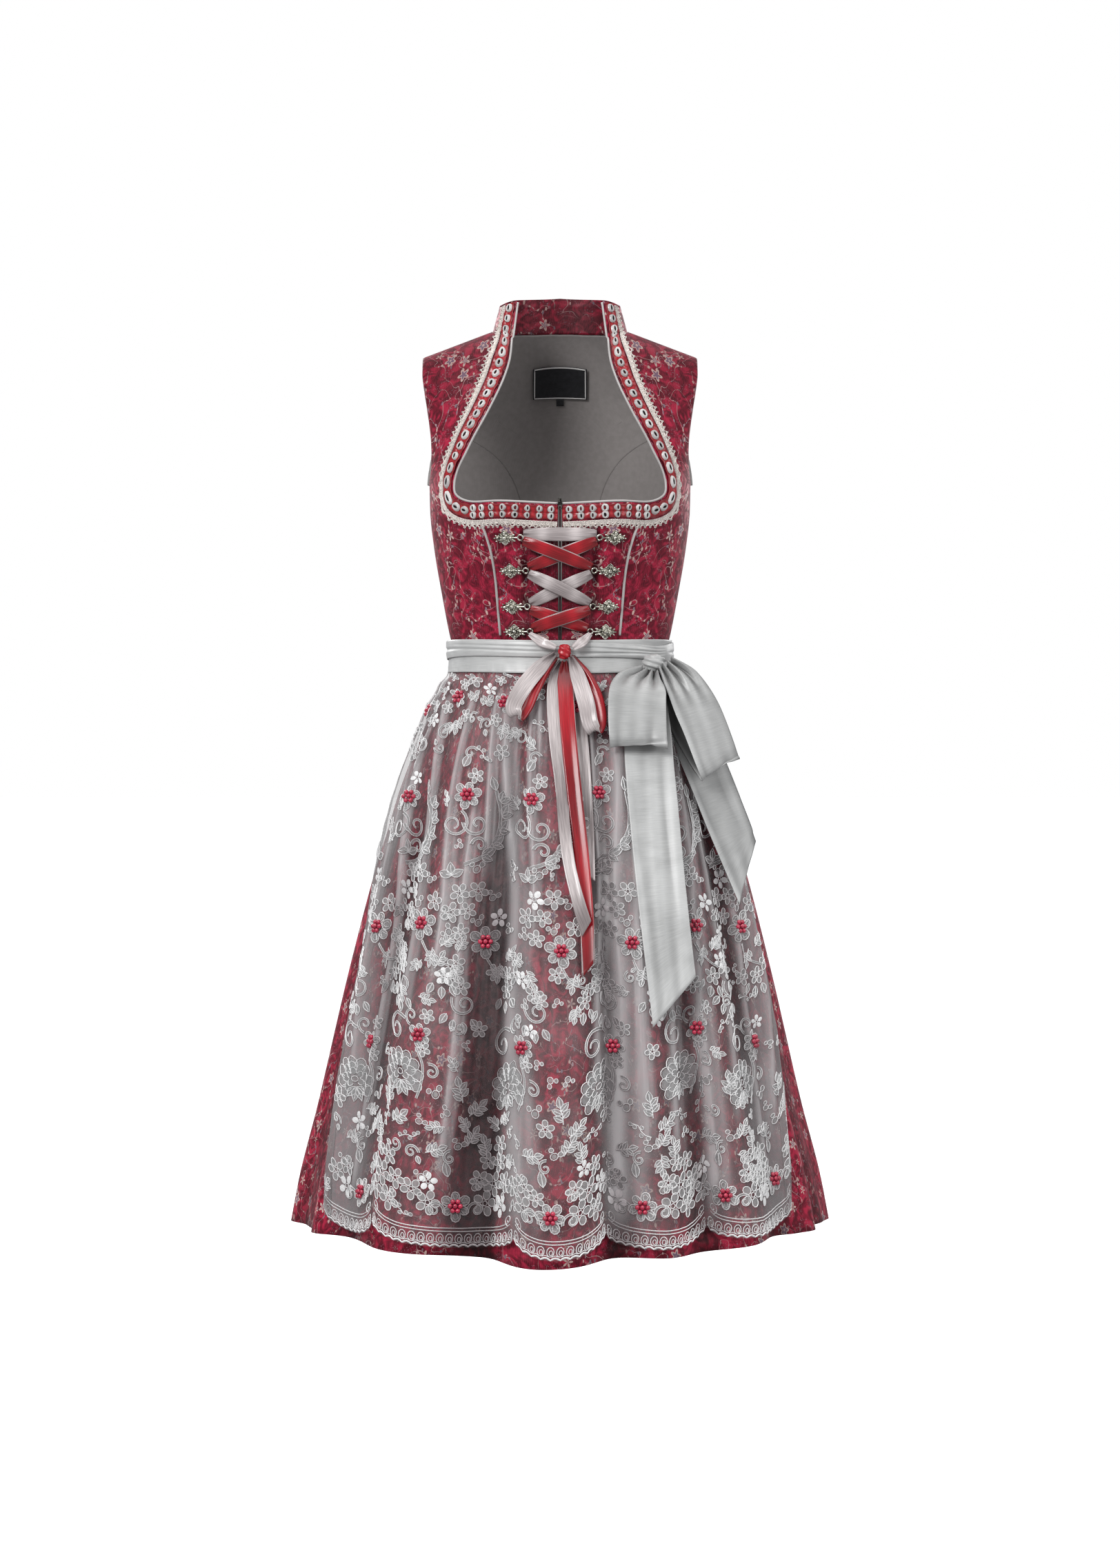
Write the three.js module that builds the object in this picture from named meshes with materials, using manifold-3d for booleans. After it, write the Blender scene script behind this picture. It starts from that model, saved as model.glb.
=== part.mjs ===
// A sleeveless dirndl, filled out as if worn: jacquard bodice with a stand collar, ruched neckline trim and
// front lacing, a gathered skirt, and a sheer apron whose satin tie ends in a bow on the wearer's left hip.
// Millimetres. +Z up, the front faces -Y, +X is the wearer's left. The origin is midway between the shoulders.
import * as THREE from "three";
import { mergeVertices } from "three/addons/utils/BufferGeometryUtils.js";
import Module from "manifold-3d";

const wasm = await Module();
wasm.setup();

// ---------------------------------------------------------------- driving dimensions
const CLOTH = 1.5; // wall of the bodice and skirt cloth
const THIN_CLOTH = 1.0; // wall of the lining, apron and lace
const SEAM_GAP = 0.3; // between pieces that are sewn to each other
const SHOULDER_GAP = 1.0; // across the shoulder seam, where both walls lean towards each other
const SHOULDER_GAP_FROM = -40; // the side seam's gap widens to it above here
const REST_GAP = 0.8; // between layers that lie on each other

const WAIST_Z = -352; // seam of bodice and skirt
const HEM_Z = -1012; // hem of the skirt at the sides, 66 cm below the waist seam
const UNDERARM_Z = -160;
const SHOULDER_Z = 14; // shoulder seam at the neck
const SHOULDER_FALL = 30; // how far the seam falls to the shoulder point
const NECK_HALF = 80; // half width of the neck seam
const SHOULDER_HALF = 159; // half width at the shoulder point
const NECK_DEPTH = 55; // neck seam, from the shoulder line to the nape

const APRON_TOP_Z = -381.5;
const WAIST_SAG = 4; // the apron's band hangs this much lower at the centre front
const APRON_NOTCH_Z = -978; // apron hem, between two scallops
const SCALLOP_DEPTH = 24; // how far a scallop hangs below its notches
const RUCHE_WIDTH = 16;
const RUCHE_PITCH = 14.5; // one frog-mouth pleat of the trim
const LACE_WIDTH = 8;
const PIPING_R = 1.3;
const RIBBON_WIDTH = 14; // lacing ribbon
const RIBBON = 1.0; // its wall

// ---------------------------------------------------------------- numbers and tables
const rad = THREE.MathUtils.degToRad;
const deg = THREE.MathUtils.radToDeg;
const lerp = THREE.MathUtils.lerp;
const clamp = THREE.MathUtils.clamp;
const V = (x, y, z) => new THREE.Vector3(x, y, z);
const steps = (count, make) => Array.from({ length: count }, (_, i) => make(i, count > 1 ? i / (count - 1) : 0));
const smooth = THREE.MathUtils.smoothstep; // smooth(at, from, to)
const bump = (at, centre, spread) => Math.exp(-(((at - centre) / spread) ** 2));
// An uneven but repeatable number from 0 to 1 for fold number n.
const uneven = (n) => Math.abs((Math.sin(n * 12.9898 + 4.137) * 43758.5453) % 1);

// Reads a column of a table that is sorted by its first column, with a smooth monotone curve through its rows.
function track(table, by, column, at) {
  const sign = table[0][by] < table[table.length - 1][by] ? 1 : -1;
  let i = 0;
  while (i < table.length - 2 && sign * table[i + 1][by] < sign * at) i += 1;
  const slope = (k) => {
    const rise = (n) => (table[n + 1][column] - table[n][column]) / (table[n + 1][by] - table[n][by]);
    if (k === 0) return rise(0);
    if (k === table.length - 1) return rise(k - 1);
    const [a, b] = [rise(k - 1), rise(k)];
    return a * b <= 0 ? 0 : (2 * a * b) / (a + b);
  };
  const width = table[i + 1][by] - table[i][by];
  const t = clamp((at - table[i][by]) / width, 0, 1);
  const [p, q] = [table[i][column], table[i + 1][column]];
  const [m, n] = [slope(i) * width, slope(i + 1) * width];
  return p * (1 + 2 * t) * (1 - t) ** 2 + m * t * (1 - t) ** 2 + q * t * t * (3 - 2 * t) + n * t * t * (t - 1);
}

// ---------------------------------------------------------------- closed solids from grids of points
// A wall between two grids of points of the same size. Rows run along the first index, and wrap joins the last
// column to the first.
function wallGeometry(outer, inner, wrap = false) {
  const rows = outer.length;
  const cols = outer[0].length;
  const points = [...outer.flat(), ...inner.flat()];
  const out = (i, j) => i * cols + (j % cols);
  const inn = (i, j) => rows * cols + out(i, j);
  const faces = [];
  const quad = (a, b, c, d, split = true) => faces.push(...(split ? [a, b, c, a, c, d] : [a, b, d, b, c, d]));
  const last = wrap ? cols : cols - 1;
  for (let i = 0; i < rows - 1; i += 1)
    for (let j = 0; j < last; j += 1) {
      const [a, b, c, d] = [out(i, j), out(i, j + 1), out(i + 1, j + 1), out(i + 1, j)];
      const shorter = points[a].distanceTo(points[c]) < points[b].distanceTo(points[d]);
      quad(a, b, c, d, shorter);
      quad(inn(i, j), inn(i + 1, j), inn(i + 1, j + 1), inn(i, j + 1), shorter);
    }
  for (let j = 0; j < last; j += 1) {
    quad(out(0, j + 1), out(0, j), inn(0, j), inn(0, j + 1));
    quad(out(rows - 1, j), out(rows - 1, j + 1), inn(rows - 1, j + 1), inn(rows - 1, j));
  }
  if (!wrap)
    for (let i = 0; i < rows - 1; i += 1) {
      quad(out(i, 0), out(i + 1, 0), inn(i + 1, 0), inn(i, 0));
      quad(out(i + 1, cols - 1), out(i, cols - 1), inn(i, cols - 1), inn(i + 1, cols - 1));
    }
  return outwards(points, faces);
}

// Rings of points joined into a tube, with both ends closed.
function ringsGeometry(rings) {
  const n = rings[0].length;
  const points = rings.flat();
  const faces = [];
  for (let i = 0; i < rings.length - 1; i += 1)
    for (let j = 0; j < n; j += 1) {
      const [a, b] = [i * n + j, i * n + ((j + 1) % n)];
      faces.push(a, b, b + n, a, b + n, a + n);
    }
  const end = (rings.length - 1) * n;
  for (let j = 1; j < n - 1; j += 1) faces.push(0, j + 1, j, end, end + j, end + j + 1);
  return outwards(points, faces);
}

// The geometry of a closed surface, turned so that its faces point out.
function outwards(points, faces) {
  let volume = 0;
  for (let f = 0; f < faces.length; f += 3)
    volume += points[faces[f]].dot(points[faces[f + 1]].clone().cross(points[faces[f + 2]]));
  const turned = volume < 0 ? faces.map((_, k) => faces[k % 3 === 0 ? k : k % 3 === 1 ? k + 1 : k - 1]) : faces;
  const geometry = new THREE.BufferGeometry().setFromPoints(points);
  geometry.setIndex(turned);
  return geometry;
}

// Joins closed geometries into one body.
function joined(...geometries) {
  const solids = geometries.map((g) => {
    const bare = g.clone();
    bare.deleteAttribute("normal");
    bare.deleteAttribute("uv");
    const merged = mergeVertices(bare, 1e-3);
    return new wasm.Manifold(
      new wasm.Mesh({
        numProp: 3,
        vertProperties: Float32Array.from(merged.attributes.position.array),
        triVerts: Uint32Array.from(merged.index.array),
      }),
    );
  });
  const mesh = solids.reduce((a, b) => a.add(b)).getMesh();
  const geometry = new THREE.BufferGeometry();
  geometry.setAttribute("position", new THREE.BufferAttribute(mesh.vertProperties, 3));
  geometry.setIndex(new THREE.BufferAttribute(mesh.triVerts, 1));
  return geometry;
}

// ---------------------------------------------------------------- materials
const cloth = (color, roughness = 0.8) => new THREE.MeshStandardMaterial({ color, roughness, metalness: 0 });
const MATERIAL = {
  jacquard: cloth(0x8c1f35, 0.6),
  lining: cloth(0x62605e, 0.85),
  label: cloth(0x16161a, 0.8),
  red: cloth(0xb01a28, 0.35),
  silver: cloth(0xcbbdbd, 0.35),
  lace: cloth(0xd8cfc8, 0.85),
  piping: cloth(0xb9b4b2, 0.5),
  satin: cloth(0xb4b5b5, 0.4),
  sheer: new THREE.MeshStandardMaterial({ color: 0x9c9899, roughness: 0.7, transparent: true, opacity: 0.6 }),
  metal: new THREE.MeshStandardMaterial({ color: 0x8e8d84, roughness: 0.35, metalness: 0.9 }),
  zip: cloth(0x2a1418, 0.6),
};

const dirndl = new THREE.Group();
dirndl.name = "dirndl";
function add(name, material, geometry) {
  const mesh = new THREE.Mesh(geometry, material);
  mesh.name = name;
  dirndl.add(mesh);
}

// ---------------------------------------------------------------- the torso surface
// Level is a section's height on the centre line. Angles are in degrees: 0 centre front, 90 the wearer's left
// side, 180 centre back. The top sections close over the shoulders. fall lowers a section towards the shoulder
// point, nape raises it at the centre back, and bust is how far the two cups stand out of the plain section.
const TORSO = [
  { level: -352, half: 124.5, front: 83, back: 82, fall: 0, nape: 0, bust: 0 },
  { level: -330, half: 129.5, front: 88, back: 85, fall: 0, nape: 0, bust: 0 },
  { level: -290, half: 137, front: 98, back: 90, fall: 0, nape: 0, bust: 2 },
  { level: -240, half: 145.5, front: 113, back: 98, fall: 0, nape: 0, bust: 9 },
  { level: -195, half: 150.5, front: 121, back: 105, fall: 0, nape: 0, bust: 16 },
  { level: -160, half: 151.5, front: 114, back: 107, fall: 0, nape: 0, bust: 12 },
  { level: -120, half: 156, front: 100, back: 104, fall: 4, nape: 0, bust: 4 },
  { level: -60, half: 165.5, front: 76, back: 92, fall: 16, nape: 6, bust: 0 },
  { level: -25, half: 170.5, front: 62, back: 72, fall: 25, nape: 22, bust: 0 },
  { level: -8, half: 172, front: 52, back: 55, fall: 28, nape: 28, bust: 0 },
  { level: 3, half: 172, front: 40, back: 41, fall: 29, nape: 28, bust: 0 },
  { level: 10, half: 172, front: 25, back: 25, fall: 30, nape: 28, bust: 0 },
  { level: SHOULDER_Z, half: 172, front: 0, back: 0, fall: SHOULDER_FALL, nape: 28, bust: 0 },
];
const CUP_X = 68; // cup centre, from the centre front
const CUP_SPREAD = 34;
// The lacing pulls a crease into the centre front on each side.
const CREASE = { x: 37, spread: 8, depth: 5, top: -226, bottom: -345 };

function torsoPoint(angle, level) {
  const half = track(TORSO, "level", "half", level);
  const side = Math.cos(rad(angle));
  const x = half * Math.sin(rad(angle));
  const fall = track(TORSO, "level", "fall", level) * Math.max(0, Math.abs(x) - NECK_HALF);
  const nape = side < 0 ? track(TORSO, "level", "nape", level) * Math.max(0, 1 - (x / NECK_HALF) ** 2) : 0;
  const z = level - fall / (SHOULDER_HALF - NECK_HALF) + nape;
  const gap = lerp(SEAM_GAP, SHOULDER_GAP, smooth(level, SHOULDER_GAP_FROM, 0)) / 2;
  if (side < 0) return V(x, -side * track(TORSO, "level", "back", level) + gap, z);
  const cup = track(TORSO, "level", "bust", level) * bump(Math.abs(x), CUP_X, CUP_SPREAD);
  const creased = smooth(level, CREASE.bottom, CREASE.bottom + 60) * (1 - smooth(level, CREASE.top - 12, CREASE.top));
  const crease = CREASE.depth * creased * bump(Math.abs(x), CREASE.x, CREASE.spread);
  return V(x, -side * track(TORSO, "level", "front", level) - cup + crease - gap, z);
}

// ---------------------------------------------------------------- the stand collar's surface
// Angles are from the centre back, up is 0 at the neck seam and 1 at the top edge.
const COLLAR = {
  foot: { half: 78.2, depth: 53.1 },
  top: { half: 70, depth: 50 },
  end: 135, // where the front edge stands
  turn: 66, // radius of its curve near the front edges
  lift: -0.9, // below the edge of the bodice, so that no light shows through the seam
};
const NECK_CLEAR = 0.9; // the bodice stops this far outside the neck seam
const COLLAR_TOP = [
  { angle: 0, z: 61 },
  { angle: 45, z: 57 },
  { angle: 80, z: 46.5 },
  { angle: 105, z: 41.5 },
  { angle: 122, z: 43 },
  { angle: 135, z: 44.5 },
];

function collarPoint(angle, up) {
  const half = lerp(COLLAR.foot.half, COLLAR.top.half, up);
  const depth = lerp(COLLAR.foot.depth, COLLAR.top.depth, up);
  const foot = neckSeam(Math.abs(angle), NECK_CLEAR).z + COLLAR.lift;
  const top = track(COLLAR_TOP, "angle", "z", Math.abs(angle));
  return V(half * Math.sin(rad(angle)), depth * Math.cos(rad(angle)), lerp(foot, top, up));
}

// Where the neck seam runs on the torso, at an angle from the centre back. outside moves it away from the neck.
function neckSeam(angle, outside = 0) {
  const x = (NECK_HALF - 1 + outside) * Math.sin(rad(angle));
  const y = (NECK_DEPTH - 1 + outside) * Math.cos(rad(angle));
  const at = torsoWhere((level) => {
    const turn = deg(Math.asin(x / track(TORSO, "level", "half", level)));
    return { angle: y > 0 ? 180 - turn : turn, level };
  }, (point) => Math.abs(y) - Math.abs(point.y));
  return { ...at, z: torsoPoint(at.angle, at.level).z };
}

// Halves the range of levels until test(point) changes sign.
function torsoWhere(place, test) {
  let [low, high] = [WAIST_Z, SHOULDER_Z];
  for (let n = 0; n < 40; n += 1) {
    const at = place((low + high) / 2);
    if (test(torsoPoint(at.angle, at.level)) > 0) high = at.level;
    else low = at.level;
  }
  return place((low + high) / 2);
}

// The place on the torso that is seen at x, z from the front, or from the back.
function torsoAt(x, z, back = false) {
  return torsoWhere((level) => {
    const turn = deg(Math.asin(clamp(x / track(TORSO, "level", "half", level), -1, 1)));
    return { angle: back ? 180 - turn : turn, level };
  }, (point) => point.z - z);
}

// ---------------------------------------------------------------- walking on a surface
const TORSO_SURFACE = { point: torsoPoint, low: WAIST_Z, high: SHOULDER_Z - 0.05, step: 0.4 };
const COLLAR_SURFACE = { point: collarPoint, low: 0, high: 1, step: 0.01 };

function tangents(surface, a, b) {
  const [b0, b1] = [Math.max(surface.low, b - surface.step), Math.min(surface.high, b + surface.step)];
  const along = surface.point(a + 0.3, b).sub(surface.point(a - 0.3, b)).divideScalar(0.6);
  const up = surface.point(a, b1).sub(surface.point(a, b0)).divideScalar(b1 - b0);
  return { along, up };
}

function normalAt(surface, a, b) {
  const { along, up } = tangents(surface, a, clamp(b, surface.low, surface.high));
  const normal = along.cross(up).normalize();
  const point = surface.point(a, b);
  return normal.dot(V(point.x, point.y, point.z > 0 ? 30 : 0)) < 0 ? normal.negate() : normal;
}

const lifted = (surface, a, b, off) => surface.point(a, b).addScaledVector(normalAt(surface, a, b), off);

// Walks a distance over the surface from a, b in the direction of a vector.
function walk(surface, a, b, direction, distance) {
  const hops = 4;
  let at = [a, b];
  for (let n = 0; n < hops; n += 1) {
    const { along, up } = tangents(surface, ...at);
    const [aa, ab, bb] = [along.dot(along), along.dot(up), up.dot(up)];
    const [da, db] = [direction.dot(along), direction.dot(up)];
    const det = aa * bb - ab * ab;
    const hop = distance / hops;
    at = [at[0] + (hop * (da * bb - db * ab)) / det, at[1] + (hop * (db * aa - da * ab)) / det];
    at[1] = clamp(at[1], surface.low, surface.high);
  }
  return at;
}

// ---------------------------------------------------------------- bodice seams and edges
const mirror = (edge) => edge.map(({ angle, level }) => ({ angle: -angle, level }));
const at = (angle, level) => ({ angle, level });

// Front princess seam, from the waist to the neckline.
const PRINCESS = [
  { x: 66.5, z: WAIST_Z + SEAM_GAP },
  { x: 69, z: -325 },
  { x: 71, z: -300 },
  { x: 73.5, z: -272 },
  { x: 78.5, z: -245 },
  { x: 87, z: -219 },
  { x: 99, z: -193 },
];
// Free edge of the neckline, from the princess seam round the lower corner and up to the collar.
const NECKLINE = [
  { x: 112, z: -188.5 },
  { x: 120, z: -181 },
  { x: 121.5, z: -170 },
  { x: 118, z: -154 },
  { x: 108, z: -133 },
  { x: 98, z: -113 },
  { x: 87, z: -93 },
  { x: 75, z: -69 },
  { x: 65, z: -46 },
  { x: 58.5, z: -23 },
];
const COLLAR_SEAM_ANGLES = [135, 120, 105, 91]; // from the centre back
const NECKLINE_FRONT_Z = -197; // at the zip
const ZIP_HALF_DEG = 0.9; // the centre fronts stop this far from the centre line

// Armhole, as an angle for each level; the back one mirrors it about the side.
const ARMHOLE = [
  { level: UNDERARM_Z, angle: 90 },
  { level: -159, angle: 86 },
  { level: -156, angle: 82.5 },
  { level: -150, angle: 79 },
  { level: -138, angle: 75.5 },
  { level: -118, angle: 72 },
  { level: -90, angle: 69.8 },
  { level: -60, angle: 68.6 },
  { level: -25, angle: 67.9 },
  { level: SHOULDER_Z, angle: 67.6 },
];
const armhole = (level) => track(ARMHOLE, "level", "angle", level);

// Back seam, seen from behind, from the waist to the armhole.
const BACK_SEAM = [
  { x: 36, z: WAIST_Z + SEAM_GAP },
  { x: 37, z: -300 },
  { x: 39, z: -245 },
  { x: 44, z: -196 },
  { x: 53, z: -158 },
  { x: 69, z: -130 },
  { x: 90, z: -112 },
  { x: 113, z: -101 },
  { x: 134, z: -94 },
  { x: 150, z: -88 },
];

const princess = PRINCESS.map(({ x, z }) => torsoAt(x, z));
const neckline = NECKLINE.map(({ x, z }) => torsoAt(x, z));
const collarSeam = COLLAR_SEAM_ANGLES.map((a) => neckSeam(a, NECK_CLEAR));
const backSeam = BACK_SEAM.map(({ x, z }) => torsoAt(x, z, true));
const { level: backSeamTop } = backSeam.pop();
backSeam.push(at(180 - armhole(backSeamTop), backSeamTop));

// A panel between two edges with the same number of places. Its sides keep half a seam gap. topEdge, when given,
// turns a level into the angle that the last row follows.
function panelGrids(left, right, columns, { off = 0, thick = CLOTH, topEdge = null }) {
  const grid = (o) =>
    left.map((l, i) =>
      columns.map((s) => {
        const r = right[i];
        const inset = deg(SEAM_GAP / 2 / track(TORSO, "level", "half", l.level)) * Math.sign(r.angle - l.angle || 1);
        const level = lerp(l.level, r.level, s);
        const along = topEdge && i === left.length - 1 ? topEdge(level) : lerp(l.angle, r.angle, s);
        return lifted(TORSO_SURFACE, along + inset * (1 - 2 * s), level, o);
      }),
    );
  return [grid(off), grid(off - thick)];
}

function addBothSides(name, material, left, right, columns, shape = {}) {
  const { topEdge } = shape;
  const turned = topEdge ? { ...shape, topEdge: (level) => -topEdge(level) } : shape;
  add(`${name}_left`, material, wallGeometry(...panelGrids(left, right, columns, shape)));
  add(`${name}_right`, material, wallGeometry(...panelGrids(mirror(left), mirror(right), columns, turned)));
}

const evenly = (n) => steps(n + 1, (i) => i / n);

// Centre fronts: from the zip to the princess seam. The columns crowd at the crease.
const frontLevels = [...princess.slice(0, -1).map(({ level }) => level), NECKLINE_FRONT_Z];
const centreFront = frontLevels.map((level) => at(ZIP_HALF_DEG, level));
addBothSides("centre_front", MATERIAL.jacquard, centreFront, princess, [0, 0.22, 0.4, 0.52, 0.64, 0.82, 1]);

// Side fronts: princess seam, neckline and collar seam on one side; side seam and armhole on the other.
const sideSeamLevels = [WAIST_Z + SEAM_GAP, -325, -297, -268, -238, -208, -186, -172, -164];
const armholeLevels = [...ARMHOLE.map(({ level }) => level).slice(0, 9), -9, 3, 9.5, SHOULDER_Z];
const frontOuter = [...sideSeamLevels.map((l) => at(90, l)), ...armholeLevels.map((l) => at(armhole(l), l))];
const frontInner = [...princess, ...neckline, ...collarSeam];
const outerByRow = steps(frontInner.length, (_, t) => frontOuter[Math.round(t * (frontOuter.length - 1))]);
addBothSides("side_front", MATERIAL.jacquard, frontInner, outerByRow, evenly(5));

// Side backs: from the side seam to the curved back seam, whose top end is on the armhole.
const sideBackLevels = [WAIST_Z + SEAM_GAP, -315, -275, -240, -215, -197, -184, -174, -166, UNDERARM_Z];
const sideBackOuter = sideBackLevels.map((l) => at(90, l));
const LINING = { off: -CLOTH - REST_GAP, thick: THIN_CLOTH };
const topEdge = (level) => 180 - armhole(level);
addBothSides("side_back", MATERIAL.jacquard, sideBackOuter, backSeam, evenly(5), { topEdge });
addBothSides("lining_side_back", MATERIAL.lining, sideBackOuter, backSeam, evenly(5), { ...LINING, topEdge });

// Centre back: one piece with both shoulders, from the waist to the neck and shoulder seams.
const backEdge = [...backSeam, ...[-56, -27, -8, 5, SHOULDER_Z].map((l) => at(180 - armhole(l), l))];
const shoulderTurns = [67.6, 54.5, 41.5].map((turn) => ({ turn, level: SHOULDER_Z }));
const neckTurns = [90, 72, 54, 36, 18, 0].map((a) => {
  const seam = neckSeam(a, NECK_CLEAR);
  return a === 90 ? { turn: 180 - seam.angle, level: SHOULDER_Z } : { turn: 180 - seam.angle, level: seam.level };
});
const backTop = [...shoulderTurns, ...neckTurns];

function centreBackGrids(off, thick) {
  const rightward = backTop.map((t) => ({ ...t, side: 1 }));
  const whole = [...rightward, ...rightward.slice(0, -1).toReversed().map((t) => ({ ...t, side: -1 }))];
  const grid = (o) =>
    backEdge.map((edge) => {
      const share = (180 - edge.angle) / backTop[0].turn;
      const height = (edge.level - WAIST_Z) / (SHOULDER_Z - WAIST_Z);
      return whole.map(({ turn, level, side }) => {
        const inset = 1 - deg(SEAM_GAP / 2 / 150) / 60;
        const angle = 180 - side * turn * share * inset;
        return lifted(TORSO_SURFACE, angle, lerp(WAIST_Z + SEAM_GAP, level, height), o);
      });
    });
  return [grid(off), grid(off - thick)];
}
add("centre_back", MATERIAL.jacquard, wallGeometry(...centreBackGrids(0, CLOTH)));
add("lining_centre_back", MATERIAL.lining, wallGeometry(...centreBackGrids(LINING.off, LINING.thick)));

// Stand collar: one wall round the neck, open at the front.
const collarAngles = steps(21, (i, t) => lerp(-COLLAR.end, COLLAR.end, t));
const collarRows = [0, 0.4, 0.8, 1];
const collarGrid = (off) =>
  collarRows.map((up) => collarAngles.map((a) => lifted(COLLAR_SURFACE, a, up, off)));
add("collar", MATERIAL.jacquard, wallGeometry(collarGrid(0), collarGrid(-CLOTH)));

// ---------------------------------------------------------------- trim round the neckline
const TRIM_START_X = 2.2; // beside the zip
const COLLAR_TRIM = { from: 0.04, to: 0.97 }; // the part of the collar's front edge that it follows
const SEAMWARD = V(0.62, 0.78, 0.06); // the way across the trim where it meets the collar

// The free edge from the zip to the top of the collar: stops on the torso seen from the front, then the collar's
// edge.
function trimStations(spacing) {
  const seam = neckSeam(COLLAR.end, NECK_CLEAR);
  const seamPoint = torsoPoint(seam.angle, seam.level);
  const stops = [
    { x: TRIM_START_X, z: NECKLINE_FRONT_Z },
    { x: 36, z: NECKLINE_FRONT_Z + 1.4 },
    { x: 70, z: NECKLINE_FRONT_Z + 2.8 },
    PRINCESS[PRINCESS.length - 1],
    ...NECKLINE,
    { x: seamPoint.x, z: seamPoint.z - 1 },
  ];
  const seen = new THREE.CatmullRomCurve3(stops.map(({ x, z }) => V(x, z, 0)), false, "centripetal");
  const places = seen.getPoints(400).map((p) => {
    const { angle, level } = torsoAt(p.x, p.y);
    return { surface: TORSO_SURFACE, a: angle, b: level, point: torsoPoint(angle, level) };
  });
  const ends = steps(40, (i, t) => {
    const up = lerp(COLLAR_TRIM.from, COLLAR_TRIM.to, t);
    return { surface: COLLAR_SURFACE, a: COLLAR.end, b: up, point: collarPoint(COLLAR.end, up) };
  });
  return [...evenStations(places, spacing), ...evenStations(ends, spacing)];
}

// Places along a path at even distances, each with the direction of the path.
function evenStations(path, spacing) {
  const run = [0];
  for (let i = 1; i < path.length; i += 1) run.push(run[i - 1] + path[i].point.distanceTo(path[i - 1].point));
  const length = run[run.length - 1];
  return steps(Math.round(length / spacing) + 1, (_, t) => {
    const k = Math.max(1, run.findIndex((r) => r >= t * length - 1e-6));
    return { ...path[t === 0 ? 0 : k], along: path[k].point.clone().sub(path[k - 1].point).normalize() };
  });
}

// A place on the cloth at a distance from the free edge. Near the collar the way across turns along its seam.
function acrossTrim(station, distance) {
  if (station.surface === COLLAR_SURFACE) return { a: station.a - deg(distance / COLLAR.turn), b: station.b };
  const normal = normalAt(station.surface, station.a, station.b);
  const across = station.along.clone().cross(normal).normalize();
  const direction = across.lerp(SEAMWARD, smooth(station.point.z, -42, -4)).normalize();
  const [a, b] = walk(station.surface, station.a, station.b, direction, distance);
  return { a, b };
}

// A strip that lies on the cloth beside the free edge. profile gives, for each station, a list of distances
// from the edge and heights over the cloth.
function trimStrip(stations, profile, thick) {
  const grid = (drop) =>
    stations.map((station, i) =>
      profile(i).map(({ from, height }) => {
        const { a, b } = acrossTrim(station, from);
        return lifted(station.surface, a, b, REST_GAP + (drop ? 0 : thick) + height);
      }),
    );
  return [grid(false), grid(true)];
}

const mirrored = (grids) => grids.map((grid) => grid.map((row) => row.map((p) => V(-p.x, p.y, p.z))));
function addMirrored(name, material, grids) {
  add(`${name}_left`, material, wallGeometry(...grids));
  add(`${name}_right`, material, wallGeometry(...mirrored(grids)));
}

// Frog-mouth ruche: the edges are pinched together once a pleat and the middle puffs between the pinches.
const RUCHE_START = 1.5; // from the free edge
const RUCHE_PUFF = 3.2;
const trimPlaces = trimStations(RUCHE_PITCH / 2);
const ruche = trimStrip(
  trimPlaces,
  (i) => {
    const open = i % 2 === 1;
    const middle = RUCHE_START + RUCHE_WIDTH / 2;
    const half = RUCHE_WIDTH / 2 - (open ? 0 : 1.2);
    return [
      { from: middle - half, height: open ? 0.2 : 1 },
      { from: middle, height: open ? RUCHE_PUFF : 0.3 },
      { from: middle + half, height: open ? 0.2 : 1 },
    ];
  },
  THIN_CLOTH,
);
addMirrored("ruche", MATERIAL.red, ruche);

// Scalloped lace beside the ruche.
const laceStart = RUCHE_START + RUCHE_WIDTH + 1.7;
const lace = trimStrip(
  trimPlaces,
  (i) => [{ from: laceStart, height: 0 }, { from: laceStart + LACE_WIDTH + (i % 2 ? 0.9 : -0.9), height: 0 }],
  THIN_CLOTH,
);
addMirrored("lace_edging", MATERIAL.lace, lace);

// A round cord of cloth along a list of places with an outward and an across direction.
function pipingGeometry(places, radius, sides = 4) {
  const rings = places.map(({ point, out, across }) =>
    steps(sides, (i) => {
      const turn = (i / sides) * Math.PI * 2 + Math.PI / sides;
      return point
        .clone()
        .addScaledVector(out, radius * Math.cos(turn))
        .addScaledVector(across, radius * Math.sin(turn));
    }),
  );
  return ringsGeometry(rings);
}

const neckPiping = trimStations(11).map(({ surface, a, b, along }) => {
  const out = normalAt(surface, a, b);
  const across = along.clone().cross(out).normalize();
  const point = lifted(surface, a, b, -CLOTH / 2).addScaledVector(across, -(PIPING_R + SEAM_GAP + 0.3));
  return { point, out, across };
});
neckPiping[0].point.x += 3; // its end is tucked beside the zip
const mirrorPlaces = (places) =>
  places.map(({ point, out, across }) => ({
    point: V(-point.x, point.y, point.z),
    out: V(-out.x, out.y, out.z),
    across: V(-across.x, across.y, across.z),
  }));
add("neck_piping_left", MATERIAL.piping, pipingGeometry(neckPiping, PIPING_R));
add("neck_piping_right", MATERIAL.piping, pipingGeometry(mirrorPlaces(neckPiping), PIPING_R));

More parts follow.
